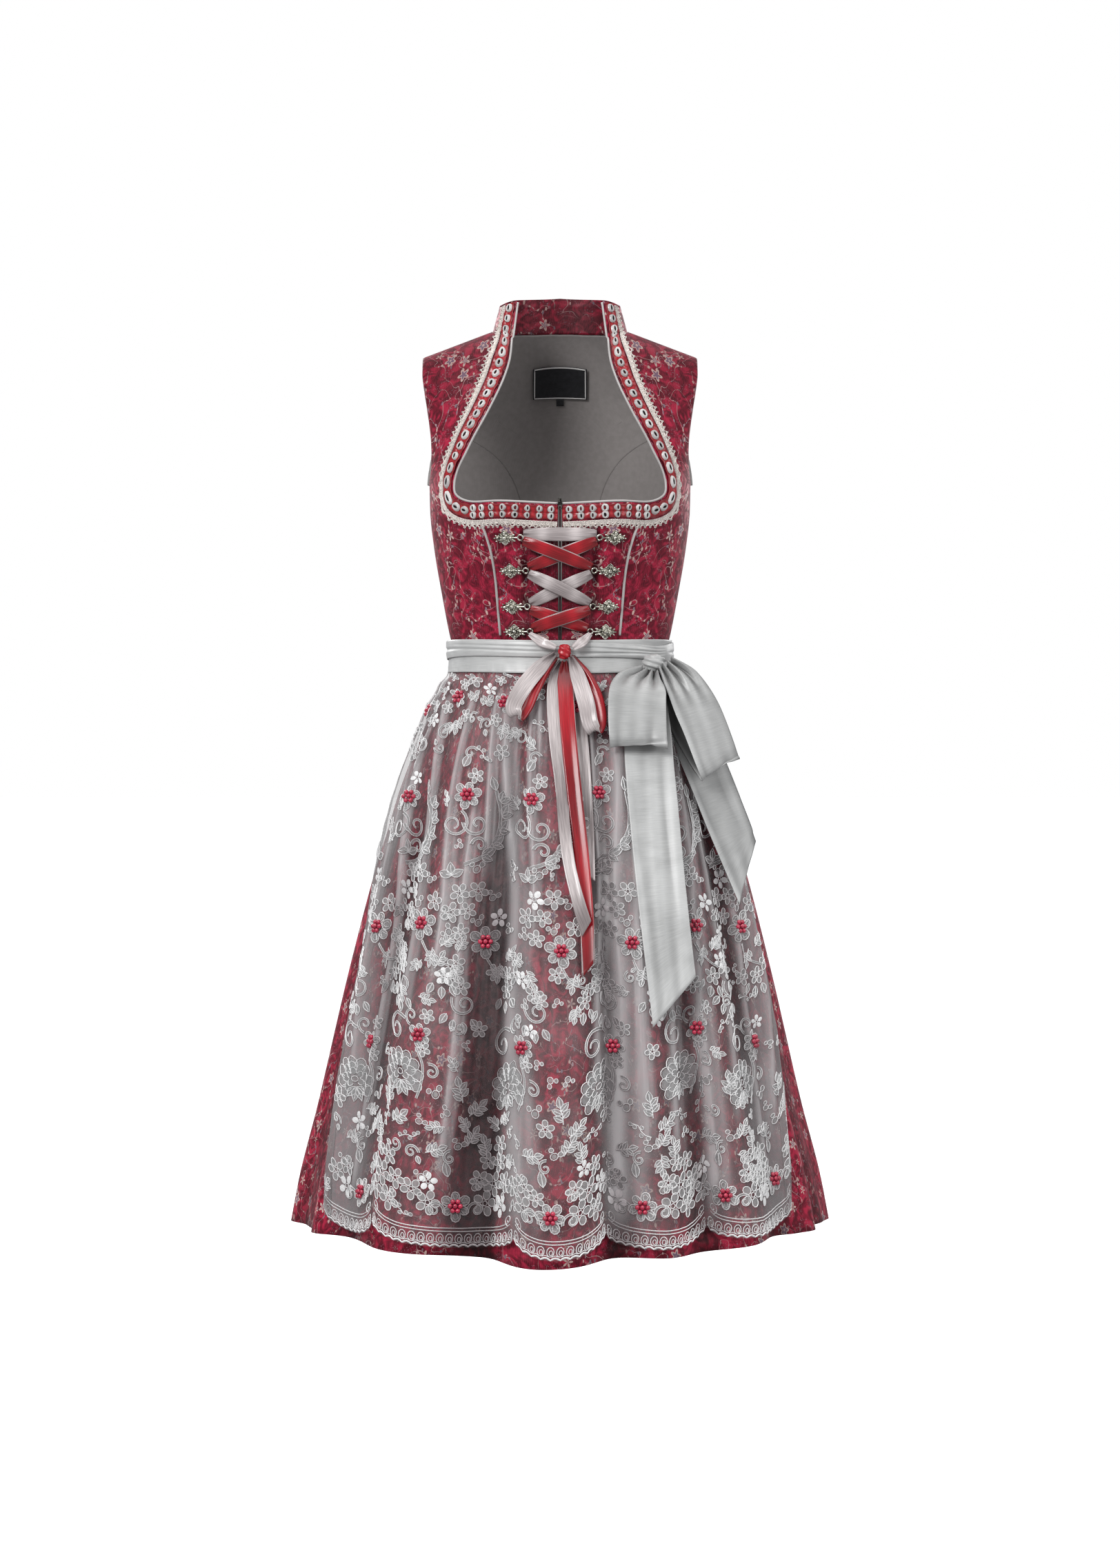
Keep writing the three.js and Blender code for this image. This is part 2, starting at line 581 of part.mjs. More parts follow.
// Piping in the front princess seams, from the waistband to the lace.
const PRINCESS_PIPING = { low: -342, high: -223 };
const princessSeen = new THREE.CatmullRomCurve3(PRINCESS.map(({ x, z }) => V(x, z, 0)), false, "centripetal");
const princessPiping = princessSeen
  .getPoints(60)
  .filter((p) => p.y > PRINCESS_PIPING.low && p.y < PRINCESS_PIPING.high)
  .filter((_, i) => i % 4 === 0)
  .map((p) => {
    const { angle, level } = torsoAt(p.x, p.y);
    const out = normalAt(TORSO_SURFACE, angle, level);
    return { point: lifted(TORSO_SURFACE, angle, level, PIPING_R + REST_GAP), out, across: V(1, 0, 0) };
  });
add("princess_piping_left", MATERIAL.piping, pipingGeometry(princessPiping, PIPING_R));
add("princess_piping_right", MATERIAL.piping, pipingGeometry(mirrorPlaces(princessPiping), PIPING_R));

// ---------------------------------------------------------------- front zip and label
const ZIP_LEVELS = [-351.5, -330, -290, -255, -226, -212, -199];
const zipGrid = (off) =>
  ZIP_LEVELS.map((level) => [-1, 1].map((side) => lifted(TORSO_SURFACE, side * (ZIP_HALF_DEG - 0.25), level, off)));
add("front_zip", MATERIAL.zip, wallGeometry(zipGrid(-0.1), zipGrid(-CLOTH)));

const SLIDER = { wide: 5, deep: 3.5, tall: 8, z: -193.5 };
const sliderBody = new THREE.BoxGeometry(SLIDER.wide, SLIDER.deep, SLIDER.tall);
sliderBody.translate(0, torsoPoint(0, SLIDER.z).y - 0.2, SLIDER.z);
add("zip_slider", MATERIAL.metal, sliderBody);

// The neck label lies on the lining at the centre back, with a small size tab below it.
const LABEL = { wide: 66, top: -33, bottom: -58, tab: 9, tabBottom: -65 };
function labelGrid(halfWide, top, bottom, off) {
  return [bottom, lerp(bottom, top, 0.5), top].map((level) =>
    steps(5, (i, t) => {
      const turn = deg(Math.asin((halfWide * (2 * t - 1)) / track(TORSO, "level", "half", level)));
      return lifted(TORSO_SURFACE, 180 + turn, level, off);
    }),
  );
}
const labelOff = -CLOTH - REST_GAP - THIN_CLOTH - 2 * REST_GAP;
const labelWall = (wide, top, bottom) =>
  wallGeometry(labelGrid(wide / 2, top, bottom, labelOff), labelGrid(wide / 2, top, bottom, labelOff - THIN_CLOTH));
add("neck_label", MATERIAL.label, labelWall(LABEL.wide, LABEL.top, LABEL.bottom));
add("size_tab", MATERIAL.label, labelWall(LABEL.tab, LABEL.bottom - SEAM_GAP, LABEL.tabBottom));

// ---------------------------------------------------------------- lacing hooks
// Cast ornament: a four-lobed plate with an eye towards the zip. Seen from the front: eye and plate centre.
const HOOKS = [
  { z: -233, plate: 61.5, eye: 43.5 },
  { z: -269, plate: 55.5, eye: 37.5 },
  { z: -309, plate: 54, eye: 36 },
  { z: -337, plate: 51, eye: 33.5 },
];
const PLATE = { wide: 27, tall: 19, thick: 1.8, lobes: 4, points: 16, over: 1.4 };
const EYE = { radius: 3.1, wire: 1.0, sides: 3, turns: 8 };

function hookGeometry(reach) {
  const outline = steps(PLATE.points, (i) => {
    const turn = (i / PLATE.points) * Math.PI * 2;
    const lobe = 0.84 + 0.16 * Math.cos(PLATE.lobes * turn);
    return new THREE.Vector2((PLATE.wide / 2) * lobe * Math.cos(turn), (PLATE.tall / 2) * lobe * Math.sin(turn));
  });
  const plate = new THREE.ExtrudeGeometry(new THREE.Shape(outline), { depth: PLATE.thick, bevelEnabled: false });
  const eye = new THREE.TorusGeometry(EYE.radius, EYE.wire, EYE.sides, EYE.turns);
  eye.translate(-reach, 0, PLATE.thick / 2);
  const neck = new THREE.BoxGeometry(reach - EYE.radius - PLATE.wide / 2 + 3, 2.4, PLATE.thick * 0.8);
  neck.translate(-(reach - EYE.radius + PLATE.wide / 2) / 2, 0, PLATE.thick / 2);
  return joined(plate, eye, neck);
}

const hookEyes = HOOKS.map(({ z, plate, eye }, n) => {
  const geometry = hookGeometry(plate - eye);
  const { angle, level } = torsoAt(plate, z);
  const place = lifted(TORSO_SURFACE, angle, level, PLATE.over);
  const out = normalAt(TORSO_SURFACE, angle, level);
  const up = V(0, 0, 1).addScaledVector(out, -out.z).normalize();
  const side = up.clone().cross(out).normalize();
  for (const [name, mirrorX] of [["left", 1], ["right", -1]]) {
    const mesh = new THREE.Mesh(geometry, MATERIAL.metal);
    mesh.name = `hook_${name}_${n + 1}`;
    const basis = new THREE.Matrix4().makeBasis(side, up, out).setPosition(place);
    mesh.applyMatrix4(basis);
    const turned = new THREE.Group();
    turned.scale.x = mirrorX;
    turned.add(mesh);
    dirndl.add(turned);
  }
  const point = place.clone().addScaledVector(side, -(plate - eye)).addScaledVector(out, PLATE.thick / 2);
  return { left: point, right: V(-point.x, point.y, point.z) };
});

// ---------------------------------------------------------------- bands of ribbon and sash
// A band along a smooth route. Each stop holds the middle of the band (x, y, z), its width, turn, the way across
// it in degrees seen from the front, and lean, how far across it leans towards the back. face, when given, is the
// direction that the whole band faces instead. slant cuts the last end.
function bandGrids(stops, { count, thick, slant = 0, columns = [-0.5, 0.5], puff = 0, face = null }) {
  const route = new THREE.CatmullRomCurve3(stops.map(({ x, y, z }) => V(x, y, z)), false, "centripetal");
  const index = stops.map((stop, i) => ({ turn: 0, lean: 0, ...stop, i }));
  const rows = steps(count, (k, t) => {
    const at = t * (stops.length - 1);
    const [width, turn, lean] = ["width", "turn", "lean"].map((column) => track(index, "i", column, at));
    const along = route.getTangent(t);
    const across = face
      ? along.clone().cross(face)
      : V(Math.cos(rad(turn)), Math.sin(rad(lean)), Math.sin(rad(turn)));
    across.addScaledVector(along, -across.dot(along)).normalize();
    const normal = across.clone().cross(along).normalize();
    return { middle: route.getPoint(t), width, along, across, normal, last: k === count - 1 };
  });
  const grid = (side) =>
    rows.map(({ middle, width, along, across, normal, last }) =>
      columns.map((c) =>
        middle
          .clone()
          .addScaledVector(across, c * width)
          .addScaledVector(along, last ? slant * c * width : 0)
          .addScaledVector(normal, puff * (0.25 - c * c) * 4 + (side * thick) / 2),
      ),
    );
  return [grid(1), grid(-1)];
}

// Lacing: strands cross between the hooks, three crossings below a straight bar.
const EYE_SIDE = 3.6; // strands meet an eye this far above or below its middle
const EYE_CLEAR = EYE.radius + EYE.wire + 0.9;
const STRAND_RISE = 1.1; // how far a strand bows forward midway
const STRAND_STEP = 3.9; // and how much more for each layer over the lowest
const STRAND_END = 6.4; // width where it is gathered into an eye
function strandStops(from, to, layer) {
  const drop = Math.sign(from.z - to.z) || 0;
  const inward = Math.sign(to.x - from.x);
  const a = V(from.x + inward * EYE_CLEAR, from.y, from.z - (drop ? EYE_SIDE : -EYE_SIDE));
  const b = V(to.x - inward * EYE_CLEAR, to.y, to.z + EYE_SIDE);
  const turn = deg(Math.atan2(b.z - a.z, b.x - a.x)) + 90;
  return steps(5, (i, t) => {
    const p = a.clone().lerp(b, t);
    const middle = Math.sin(t * Math.PI);
    const y = p.y - 0.4 - (STRAND_RISE + STRAND_STEP * layer) * middle;
    return { x: p.x, y, z: p.z, width: lerp(STRAND_END, RIBBON_WIDTH, middle), turn };
  });
}
const LACING = [
  { name: "lacing_bar", from: [0, "left"], to: [0, "right"], layer: 0, material: "silver" },
  { name: "lacing_1_under", from: [0, "left"], to: [1, "right"], layer: 1, material: "red" },
  { name: "lacing_1_over", from: [0, "right"], to: [1, "left"], layer: 2, material: "red" },
  { name: "lacing_2_under", from: [1, "left"], to: [2, "right"], layer: 1, material: "silver" },
  { name: "lacing_2_over", from: [1, "right"], to: [2, "left"], layer: 2, material: "silver" },
  { name: "lacing_3_under", from: [2, "right"], to: [3, "left"], layer: 1, material: "red" },
  { name: "lacing_3_over", from: [2, "left"], to: [3, "right"], layer: 2, material: "red" },
];
for (const { name, from, to, layer, material } of LACING) {
  const [start, end] = [hookEyes[from[0]][from[1]], hookEyes[to[0]][to[1]]];
  const face = from[0] === to[0] ? V(0, -1, 0) : V(0, end.z - start.z, start.y - end.y).normalize();
  const grids = bandGrids(strandStops(start, end, layer), { count: 7, thick: RIBBON, face });
  add(name, MATERIAL[material], wallGeometry(...grids));
}

// ---------------------------------------------------------------- the skirt surface
// The floors between the folds, at each height. rise is how much of the fold depth has opened out by there.
const SKIRT = [
  { z: -352.3, half: 124.5, front: 83, back: 82, rise: 0 },
  { z: -366, half: 125.5, front: 85, back: 84, rise: 0 },
  { z: -382, half: 127, front: 87, back: 88, rise: 0.02 },
  { z: -400, half: 131, front: 93, back: 96, rise: 0.06 },
  { z: -420, half: 142, front: 101, back: 107, rise: 0.12 },
  { z: -440, half: 150, front: 109, back: 116, rise: 0.18 },
  { z: -480, half: 166, front: 121, back: 131, rise: 0.3 },
  { z: -520, half: 179.5, front: 133, back: 145, rise: 0.42 },
  { z: -560, half: 191.5, front: 145, back: 157, rise: 0.5 },
  { z: -600, half: 203, front: 156, back: 168, rise: 0.58 },
  { z: -720, half: 231.5, front: 184, back: 196, rise: 0.74 },
  { z: -880, half: 266, front: 216, back: 228, rise: 0.9 },
  { z: -960, half: 286, front: 231, back: 241, rise: 0.97 },
  { z: HEM_Z, half: 296, front: 240, back: 249, rise: 1 },
];
// Large folds: where the ridge stands at the hem, how wide and how far out it is, and how flat its top is.
const FOLDS = [
  { angle: -105, width: 7, out: 22, flat: 1 },
  { angle: -84, width: 7.5, out: 15, flat: 1 },
  { angle: -61, width: 7.5, out: 18, flat: 1 },
  { angle: -36, width: 10.5, out: 28, flat: 1 },
  { angle: -2, width: 10.2, out: 40, flat: 2 },
  { angle: 22, width: 6.5, out: 24, flat: 1 },
  { angle: 42, width: 7.5, out: 23, flat: 1 },
  { angle: 64, width: 8, out: 17, flat: 1 },
  { angle: 86, width: 7.5, out: 15, flat: 1 },
  { angle: 107, width: 7, out: 24, flat: 1 },
  { angle: 126, width: 6.5, out: 32, flat: 1 },
  { angle: 146, width: 8, out: 27, flat: 1 },
  { angle: 166, width: 7, out: 34, flat: 1 },
  { angle: 187, width: 8.5, out: 30, flat: 1 },
  { angle: 208, width: 6.5, out: 33, flat: 1 },
  { angle: 227, width: 7, out: 26, flat: 1 },
  { angle: 242, width: 5.5, out: 22, flat: 1 },
];
const GATHER_PITCH = 12; // degrees between two gathers at the waist: 30 of them round the skirt
const GATHER_OUT = 3.6;
const GATHER_RANGE = { start: -383, full: -394, fading: -410, gone: -500 };
const FRONT_DIP = 10; // the hem hangs this much lower at the front
const CENTRE_DIP = 7; // and the wide fold at the centre front this much again

// Turns an angle to within half a round of another.
const near = (angle, other) => other + THREE.MathUtils.euclideanModulo(angle - other + 180, 360) - 180;

function foldOut(angle, z) {
  const rise = track(SKIRT, "z", "rise", z);
  const share = ({ angle: ridge, width, flat }) =>
    Math.exp(-((Math.abs(near(angle, ridge) - ridge) / width) ** (2 * flat)));
  return rise * FOLDS.reduce((sum, fold) => sum + fold.out * share(fold), 0);
}

function gatherOut(angle, z, pitch = GATHER_PITCH, out = GATHER_OUT) {
  const { start, full, fading, gone } = GATHER_RANGE;
  const turn = angle / pitch;
  const reach = gone - 40 * uneven(Math.round(turn));
  const strength = smooth(-z, -start, -full) * (1 - smooth(-z, -fading, -reach));
  return out * strength * (0.5 + 0.5 * Math.cos(turn * 2 * Math.PI));
}

function skirtPoint(angle, z, off = 0, extra = 0) {
  const half = track(SKIRT, "z", "half", z);
  const depth = track(SKIRT, "z", Math.abs(near(angle, 0)) < 90 ? "front" : "back", z);
  const [sin, cos] = [Math.sin(rad(angle)), Math.cos(rad(angle))];
  const out = V(sin / half, -cos / depth, 0).normalize();
  const dip = CENTRE_DIP * bump(near(angle, 0), -3, 9.5) + FRONT_DIP * smooth(cos, 0.6, 0.95);
  const point = V(half * sin, -depth * cos, z - dip * smooth(-z, 700, -HEM_Z));
  return point.addScaledVector(out, foldOut(angle, z) + gatherOut(angle, z) + off + extra);
}

const SKIRT_LEVELS = [-352.3, -378, -390, -404, -430, -480, -560, -680, -840, HEM_Z];
const SKIRT_COLUMNS = 46; // in each half
function skirtGrid(from, to, off) {
  const inset = deg(SEAM_GAP / 2 / TORSO[0].half);
  return SKIRT_LEVELS.map((z) =>
    steps(SKIRT_COLUMNS + 1, (j, t) => skirtPoint(lerp(from + inset, to - inset, t), z, off)),
  );
}
add("skirt_front", MATERIAL.jacquard, wallGeometry(skirtGrid(-90, 90, 0), skirtGrid(-90, 90, -CLOTH)));
add("skirt_back", MATERIAL.jacquard, wallGeometry(skirtGrid(90, 270, 0), skirtGrid(90, 270, -CLOTH)));

// ---------------------------------------------------------------- apron
// Its side edges slant in from the side seams to the hem, and the hem hangs in wide scallops.
// How far it lies over the skirt at the band, over its gathers and over its folds.
const APRON_OVER = { seam: 1.6, below: 5.5, hem: 9 };
const APRON_GATHER = { pitch: 9, out: 3.2 };
const APRON_EDGE = [
  { z: APRON_TOP_Z, angle: 92 },
  { z: -440, angle: 90 },
  { z: -494, angle: 86 },
  { z: -650, angle: 74 },
  { z: -820, angle: 64 },
  { z: -1010, angle: 56 },
];
const APRON_NOTCHES = [-56, -39, -8.5, 9, 31, 56]; // angles of the corners and notches between its scallops

function apronHem(angle) {
  const k = clamp(APRON_NOTCHES.findIndex((notch) => notch > angle) - 1, 0, APRON_NOTCHES.length - 2);
  const t = clamp((angle - APRON_NOTCHES[k]) / (APRON_NOTCHES[k + 1] - APRON_NOTCHES[k]), 0, 1);
  return APRON_NOTCH_Z - SCALLOP_DEPTH * Math.sqrt(Math.max(0, 1 - (2 * t - 1) ** 2)) ** 0.8;
}

function apronPoint(angle, z, off) {
  const gathers = gatherOut(angle, z, APRON_GATHER.pitch, APRON_GATHER.out);
  const top = APRON_TOP_Z - waistSag(angle);
  const gathered = lerp(APRON_OVER.seam, APRON_OVER.below, smooth(-z, -top, 16 - top));
  const over = lerp(gathered, APRON_OVER.hem, smooth(-z, 420, 700));
  return skirtPoint(angle, z, off + over, gathers);
}

const waistSag = (angle) => WAIST_SAG * bump(angle, 0, 48);
const APRON_COLUMNS = 52;
const APRON_ROWS = [0, 0.015, 0.035, 0.08, 0.16, 0.3, 0.5, 0.75, 1]; // from the top to the hem
function apronGrid(off) {
  return APRON_ROWS.map((down) =>
    steps(APRON_COLUMNS + 1, (j, t) => {
      const hem = apronHem((2 * t - 1) * 56);
      const z = lerp(APRON_TOP_Z - waistSag((2 * t - 1) * 90), hem, down);
      return apronPoint((2 * t - 1) * track(APRON_EDGE, "z", "angle", z), z, off);
    }),
  );
}
add("apron_panel", MATERIAL.sheer, wallGeometry(apronGrid(THIN_CLOTH), apronGrid(0)));

// ---------------------------------------------------------------- apron waistband and the tie wound round it
const WAISTBAND = [
  { z: -381, half: 129.1, front: 90.7, back: 90.5 },
  { z: -372, half: 128.4, front: 89, back: 89 },
  { z: -362, half: 128, front: 88.5, back: 88 },
  { z: -352, half: 128, front: 88.5, back: 87.5 },
  { z: -343.5, half: 129, front: 89, back: 87.5 },
];
const WAISTBAND_END = 96; // degrees from the centre front to the ends of the band
// Upper and lower edge of the tie, and how far it puffs out, round the body.
const TIE = [
  { angle: -180, top: -344, bottom: -376, puff: 2.5 },
  { angle: -96, top: -344, bottom: -366, puff: 1.5 },
  { angle: -40, top: -345, bottom: -362.5, puff: 1.2 },
  { angle: 15, top: -346, bottom: -363, puff: 1.5 },
  { angle: 40, top: -349, bottom: -365, puff: 3 },
  { angle: 58, top: -351, bottom: -368, puff: 3.5 },
  { angle: 80, top: -347, bottom: -368, puff: 1.5 },
  { angle: 120, top: -344, bottom: -372, puff: 2 },
  { angle: 180, top: -344, bottom: -376, puff: 2.5 },
];

function bandPoint(angle, z, off) {
  const half = track(WAISTBAND, "z", "half", z);
  const depth = track(WAISTBAND, "z", Math.abs(angle) < 90 ? "front" : "back", z);
  const [sin, cos] = [Math.sin(rad(angle)), Math.cos(rad(angle))];
  const point = V(half * sin, -depth * cos, z - waistSag(angle));
  return point.addScaledVector(V(sin / half, -cos / depth, 0).normalize(), off);
}
const BAND_LEVELS = [-381, -362, -352, -343.5];
const bandGrid = (off) =>
  BAND_LEVELS.map((z) => steps(29, (j, t) => bandPoint((2 * t - 1) * WAISTBAND_END, z, off)));
add("apron_waistband", MATERIAL.satin, wallGeometry(bandGrid(THIN_CLOTH), bandGrid(0)));

const TIE_COLUMNS = 40;
const tieGrid = (off) =>
  [0, 0.33, 0.67, 1].map((up) =>
    steps(TIE_COLUMNS, (j) => {
      const angle = (j / TIE_COLUMNS) * 360 - 180;
      const [top, bottom, puff] = ["top", "bottom", "puff"].map((column) => track(TIE, "angle", column, angle));
      const round = puff * Math.sin(up * Math.PI);
      return bandPoint(angle, lerp(bottom, top, up), off + THIN_CLOTH + REST_GAP + round);
    }),
  );
add("apron_tie", MATERIAL.satin, wallGeometry(tieGrid(THIN_CLOTH), tieGrid(0), true));

// ---------------------------------------------------------------- what hangs in front of the apron
// How far forward something lies that rests on the apron between x - reach and x + reach.
function restingY(x, z, reach, clear) {
  const across = steps(61, (i, t) => apronPoint(lerp(-88, 88, t), z, THIN_CLOTH));
  const reached = across.filter((p) => Math.abs(p.x - x) < reach);
  return Math.min(...reached.map((p) => p.y)) - clear;
}
const onApron = (stops, reach, clear) =>
  stops.map((stop) => ({ y: restingY(stop.x, stop.z, reach, clear), ...stop }));

// A knot: a ball of cloth, flattened towards the body.
function knotGeometry({ x, y, z, wide, deep, tall }) {
  const ball = new THREE.SphereGeometry(1, 9, 6);
  ball.deleteAttribute("uv");
  ball.deleteAttribute("normal");
  const closed = mergeVertices(ball, 1e-3);
  closed.scale(wide / 2, deep / 2, tall / 2);
  closed.translate(x, y, z);
  return closed;
}
const addBand = (name, material, stops, shape) => add(name, material, wallGeometry(...bandGrids(stops, shape)));

// Ribbon bow below the lacing.
const RIBBON_KNOT = { x: 5, y: -101, z: -361, wide: 15, deep: 9, tall: 17 };
add("ribbon_knot", MATERIAL.red, knotGeometry(RIBBON_KNOT));

const wrapStops = (eye, end) => [
  { x: eye.x, y: eye.y - 4.5, z: eye.z - 2.5, width: 6 },
  { x: lerp(eye.x, end.x, 0.5), y: -100, z: lerp(eye.z, end.z, 0.42) - 4, width: 10 },
  { x: end.x, y: -103, z: end.z, width: 6 },
];
for (const { side, x } of [{ side: "left", x: 14.5 }, { side: "right", x: -4.5 }]) {
  const stops = wrapStops(hookEyes[3][side], { x, z: -357 });
  addBand(`ribbon_wrap_${side}`, MATERIAL.silver, stops, { count: 7, thick: RIBBON, face: V(0, -1, 0) });
}

// Loops run out and back, one leg in front of the other. turn is the way across, seen from the front.
const LOOP_ROWS = 19;
addBand(
  "ribbon_loop_right",
  MATERIAL.silver,
  [
    { x: -5, y: -104, z: -363, width: 6, turn: -50 },
    { x: -24, y: -118, z: -381, width: 14, turn: -40 },
    { x: -43, y: -130, z: -405, width: 15, turn: -30 },
    { x: -52, y: -137, z: -426, width: 14, turn: -22 },
    { x: -47, y: -134, z: -434, width: 14, turn: -18 },
    { x: -39, y: -130, z: -426, width: 14, turn: -18 },
    { x: -29, y: -123, z: -404, width: 14, turn: -24 },
    { x: -17, y: -114, z: -384, width: 11, turn: -38 },
    { x: -4.5, y: -102, z: -368, width: 6, turn: -45 },
  ],
  { count: LOOP_ROWS, thick: RIBBON },
);
addBand(
  "ribbon_loop_left",
  MATERIAL.silver,
  [
    { x: 12, y: -104, z: -367, width: 6, turn: 35 },
    { x: 20, y: -117, z: -389, width: 14, turn: 18 },
    { x: 29, y: -131, z: -419, width: 15, turn: 12 },
    { x: 34, y: -139, z: -443, width: 15, turn: 9 },
    { x: 39, y: -136, z: -451, width: 15, turn: 9 },
    { x: 44, y: -132, z: -444, width: 15, turn: 11 },
    { x: 42, y: -123, z: -418, width: 15, turn: 15 },
    { x: 30, y: -111, z: -389, width: 12, turn: 30 },
    { x: 13.5, y: -100, z: -366, width: 6, turn: 45 },
  ],
  { count: LOOP_ROWS, thick: RIBBON },
);
const TAIL_CLEAR = 4;
addBand(
  "ribbon_tail_silver",
  MATERIAL.silver,
  onApron(
    [
      { x: 1.5, y: -99.5, z: -371.5, width: 6 },
      { x: -6, y: -107, z: -384, width: 10 },
      { x: -11, z: -402, width: 13 },
      { x: -14, z: -450, width: 14 },
      { x: -2, z: -520, width: 14, turn: 8 },
      { x: 10, z: -590, width: 14, turn: 8 },
      { x: 21, z: -650, width: 15, turn: 12 },
      { x: 29, z: -678, width: 15, turn: 20 },
    ],
    10,
    TAIL_CLEAR + 6,
  ),
  { count: 14, thick: RIBBON, slant: -0.9 },
);
addBand(
  "ribbon_tail_red",
  MATERIAL.red,
  onApron(
    [
      { x: 5, y: -98, z: -371.5, width: 6 },
      { x: 4.5, y: -103, z: -384, width: 12 },
      { x: 3, z: -402, width: 15 },
      { x: 6, z: -450, width: 15 },
      { x: 14, z: -520, width: 15, turn: 6 },
      { x: 22, z: -590, width: 15, turn: 4 },
      { x: 27, z: -660, width: 15 },
      { x: 29, z: -712, width: 15 },
    ],
    10,
    TAIL_CLEAR + 1.5,
  ),
  { count: 14, thick: RIBBON, slant: -1.2 },
);
addBand(
  "ribbon_tail_back",
  MATERIAL.silver,
  onApron(
    [
      { x: 11, y: -98, z: -371, width: 5 },
      { x: 21, z: -400, width: 13 },
      { x: 27, z: -450, width: 14 },
      { x: 32, z: -520, width: 14 },
      { x: 33, z: -560, width: 14 },
      { x: 33, z: -612, width: 14 },
    ],
    18,
    TAIL_CLEAR - 1,
  ),
  { count: 12, thick: RIBBON, slant: 0.8 },
);

// Bow of the apron ties, on the wearer's left hip.
const SASH_KNOT = { x: 106, y: -79, z: -371, wide: 24, deep: 18, tall: 22 };
add("sash_knot", MATERIAL.satin, knotGeometry(SASH_KNOT));
const THREE_ACROSS = [-0.5, 0, 0.5];
addBand(
  "sash_loop_front",
  MATERIAL.satin,
  [
    { x: 100, y: -87, z: -384, width: 20, turn: -8 },
    { x: 92, y: -110, z: -402, width: 52, turn: -6 },
    { x: 90, y: -130, z: -430, width: 62, turn: -6 },
    { x: 90, y: -146, z: -461, width: 64, turn: -6 },
    { x: 91, y: -143, z: -469, width: 64, turn: -6 },
    { x: 91, y: -135, z: -461, width: 64, turn: -6 },
    { x: 92, y: -119, z: -432, width: 60, turn: -6 },
    { x: 95, y: -101, z: -405, width: 46, turn: -6 },
    { x: 101, y: -82, z: -386, width: 18, turn: -8 },
  ],
  { count: 17, thick: THIN_CLOTH, columns: THREE_ACROSS, puff: 3 },
);
addBand(
  "sash_loop_side",
  MATERIAL.satin,
  [
    { x: 119.5, y: -84, z: -373, width: 18, turn: 58, lean: 20 },
    { x: 140, y: -98, z: -396, width: 42, turn: 44, lean: 25 },
    { x: 163, y: -108, z: -437, width: 54, turn: 35, lean: 30 },
    { x: 184, y: -112, z: -485, width: 54, turn: 32, lean: 30 },
    { x: 187.5, y: -108, z: -496, width: 53, turn: 32, lean: 30 },
    { x: 182, y: -102, z: -486, width: 52, turn: 33, lean: 30 },
    { x: 161, y: -95, z: -440, width: 50, turn: 36, lean: 30 },
    { x: 139, y: -86, z: -401, width: 36, turn: 46, lean: 25 },
    { x: 119, y: -76, z: -378, width: 14, turn: 58, lean: 20 },
  ],
  { count: 17, thick: THIN_CLOTH, columns: THREE_ACROSS, puff: 2 },
);
addBand(
  "sash_tail_front",
  MATERIAL.satin,
  onApron(
    [
      { x: 106, y: -74.5, z: -384, width: 16 },
      { x: 100, y: -101, z: -410, width: 40, lean: 10 },
      { x: 98, z: -470, width: 54 },
      { x: 102, z: -540, width: 55 },
      { x: 110, z: -640, width: 54 },
      { x: 122, z: -748, width: 53 },
    ],
    36,
    4,
  ),
  { count: 12, thick: THIN_CLOTH, columns: THREE_ACROSS, slant: -0.95 },
);
addBand(
  "sash_tail_side",
  MATERIAL.satin,
  [
    { x: 116, y: -71, z: -384, width: 12, turn: 26, lean: 25 },
    { x: 137, y: -77, z: -430, width: 36, turn: 24, lean: 35 },
    { x: 163, y: -85, z: -487, width: 58, turn: 22, lean: 40 },
    { x: 188, y: -90, z: -550, width: 58, turn: 22, lean: 40 },
    { x: 212, y: -94, z: -610, width: 54, turn: 22, lean: 40 },
  ],
  { count: 10, thick: THIN_CLOTH, columns: THREE_ACROSS, slant: -1.1 },
);

export default dirndl;
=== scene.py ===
"""A sleeveless dirndl, filled out as if worn: jacquard bodice and skirt, satin lacing, embroidered apron.

The script is laid out as an add-on. Each operator makes one piece, or one group of like pieces, round the
frame of plain solids, and the panel lists them. Sizes in the tables are millimetres; +X is the wearer's
left, the front faces -Y, and the origin is midway between the shoulders.
"""

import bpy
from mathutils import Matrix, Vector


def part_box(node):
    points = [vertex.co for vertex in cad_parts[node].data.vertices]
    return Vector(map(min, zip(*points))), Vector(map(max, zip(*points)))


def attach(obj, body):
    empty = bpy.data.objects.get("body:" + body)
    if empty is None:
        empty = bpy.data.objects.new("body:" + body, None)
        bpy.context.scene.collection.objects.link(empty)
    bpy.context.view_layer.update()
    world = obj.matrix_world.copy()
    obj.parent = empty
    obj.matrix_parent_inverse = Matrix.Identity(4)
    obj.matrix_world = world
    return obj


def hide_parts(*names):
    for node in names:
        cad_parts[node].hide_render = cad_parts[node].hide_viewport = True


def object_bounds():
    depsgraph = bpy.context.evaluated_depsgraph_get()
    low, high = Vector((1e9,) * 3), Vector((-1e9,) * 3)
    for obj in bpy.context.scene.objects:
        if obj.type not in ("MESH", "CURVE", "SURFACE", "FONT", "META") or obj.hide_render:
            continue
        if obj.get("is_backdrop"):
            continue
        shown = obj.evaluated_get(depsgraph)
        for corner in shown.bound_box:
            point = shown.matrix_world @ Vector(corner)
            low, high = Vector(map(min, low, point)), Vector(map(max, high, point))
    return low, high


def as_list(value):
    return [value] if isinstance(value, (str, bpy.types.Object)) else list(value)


bl_info = {
    "name": "Dirndl",
    "version": (1, 0, 0),
    "blender": (4, 5, 0),
    "location": "View3D > Sidebar > Dirndl",
    "description": "A laced jacquard dirndl with an embroidered organza apron",
    "category": "Object",
}

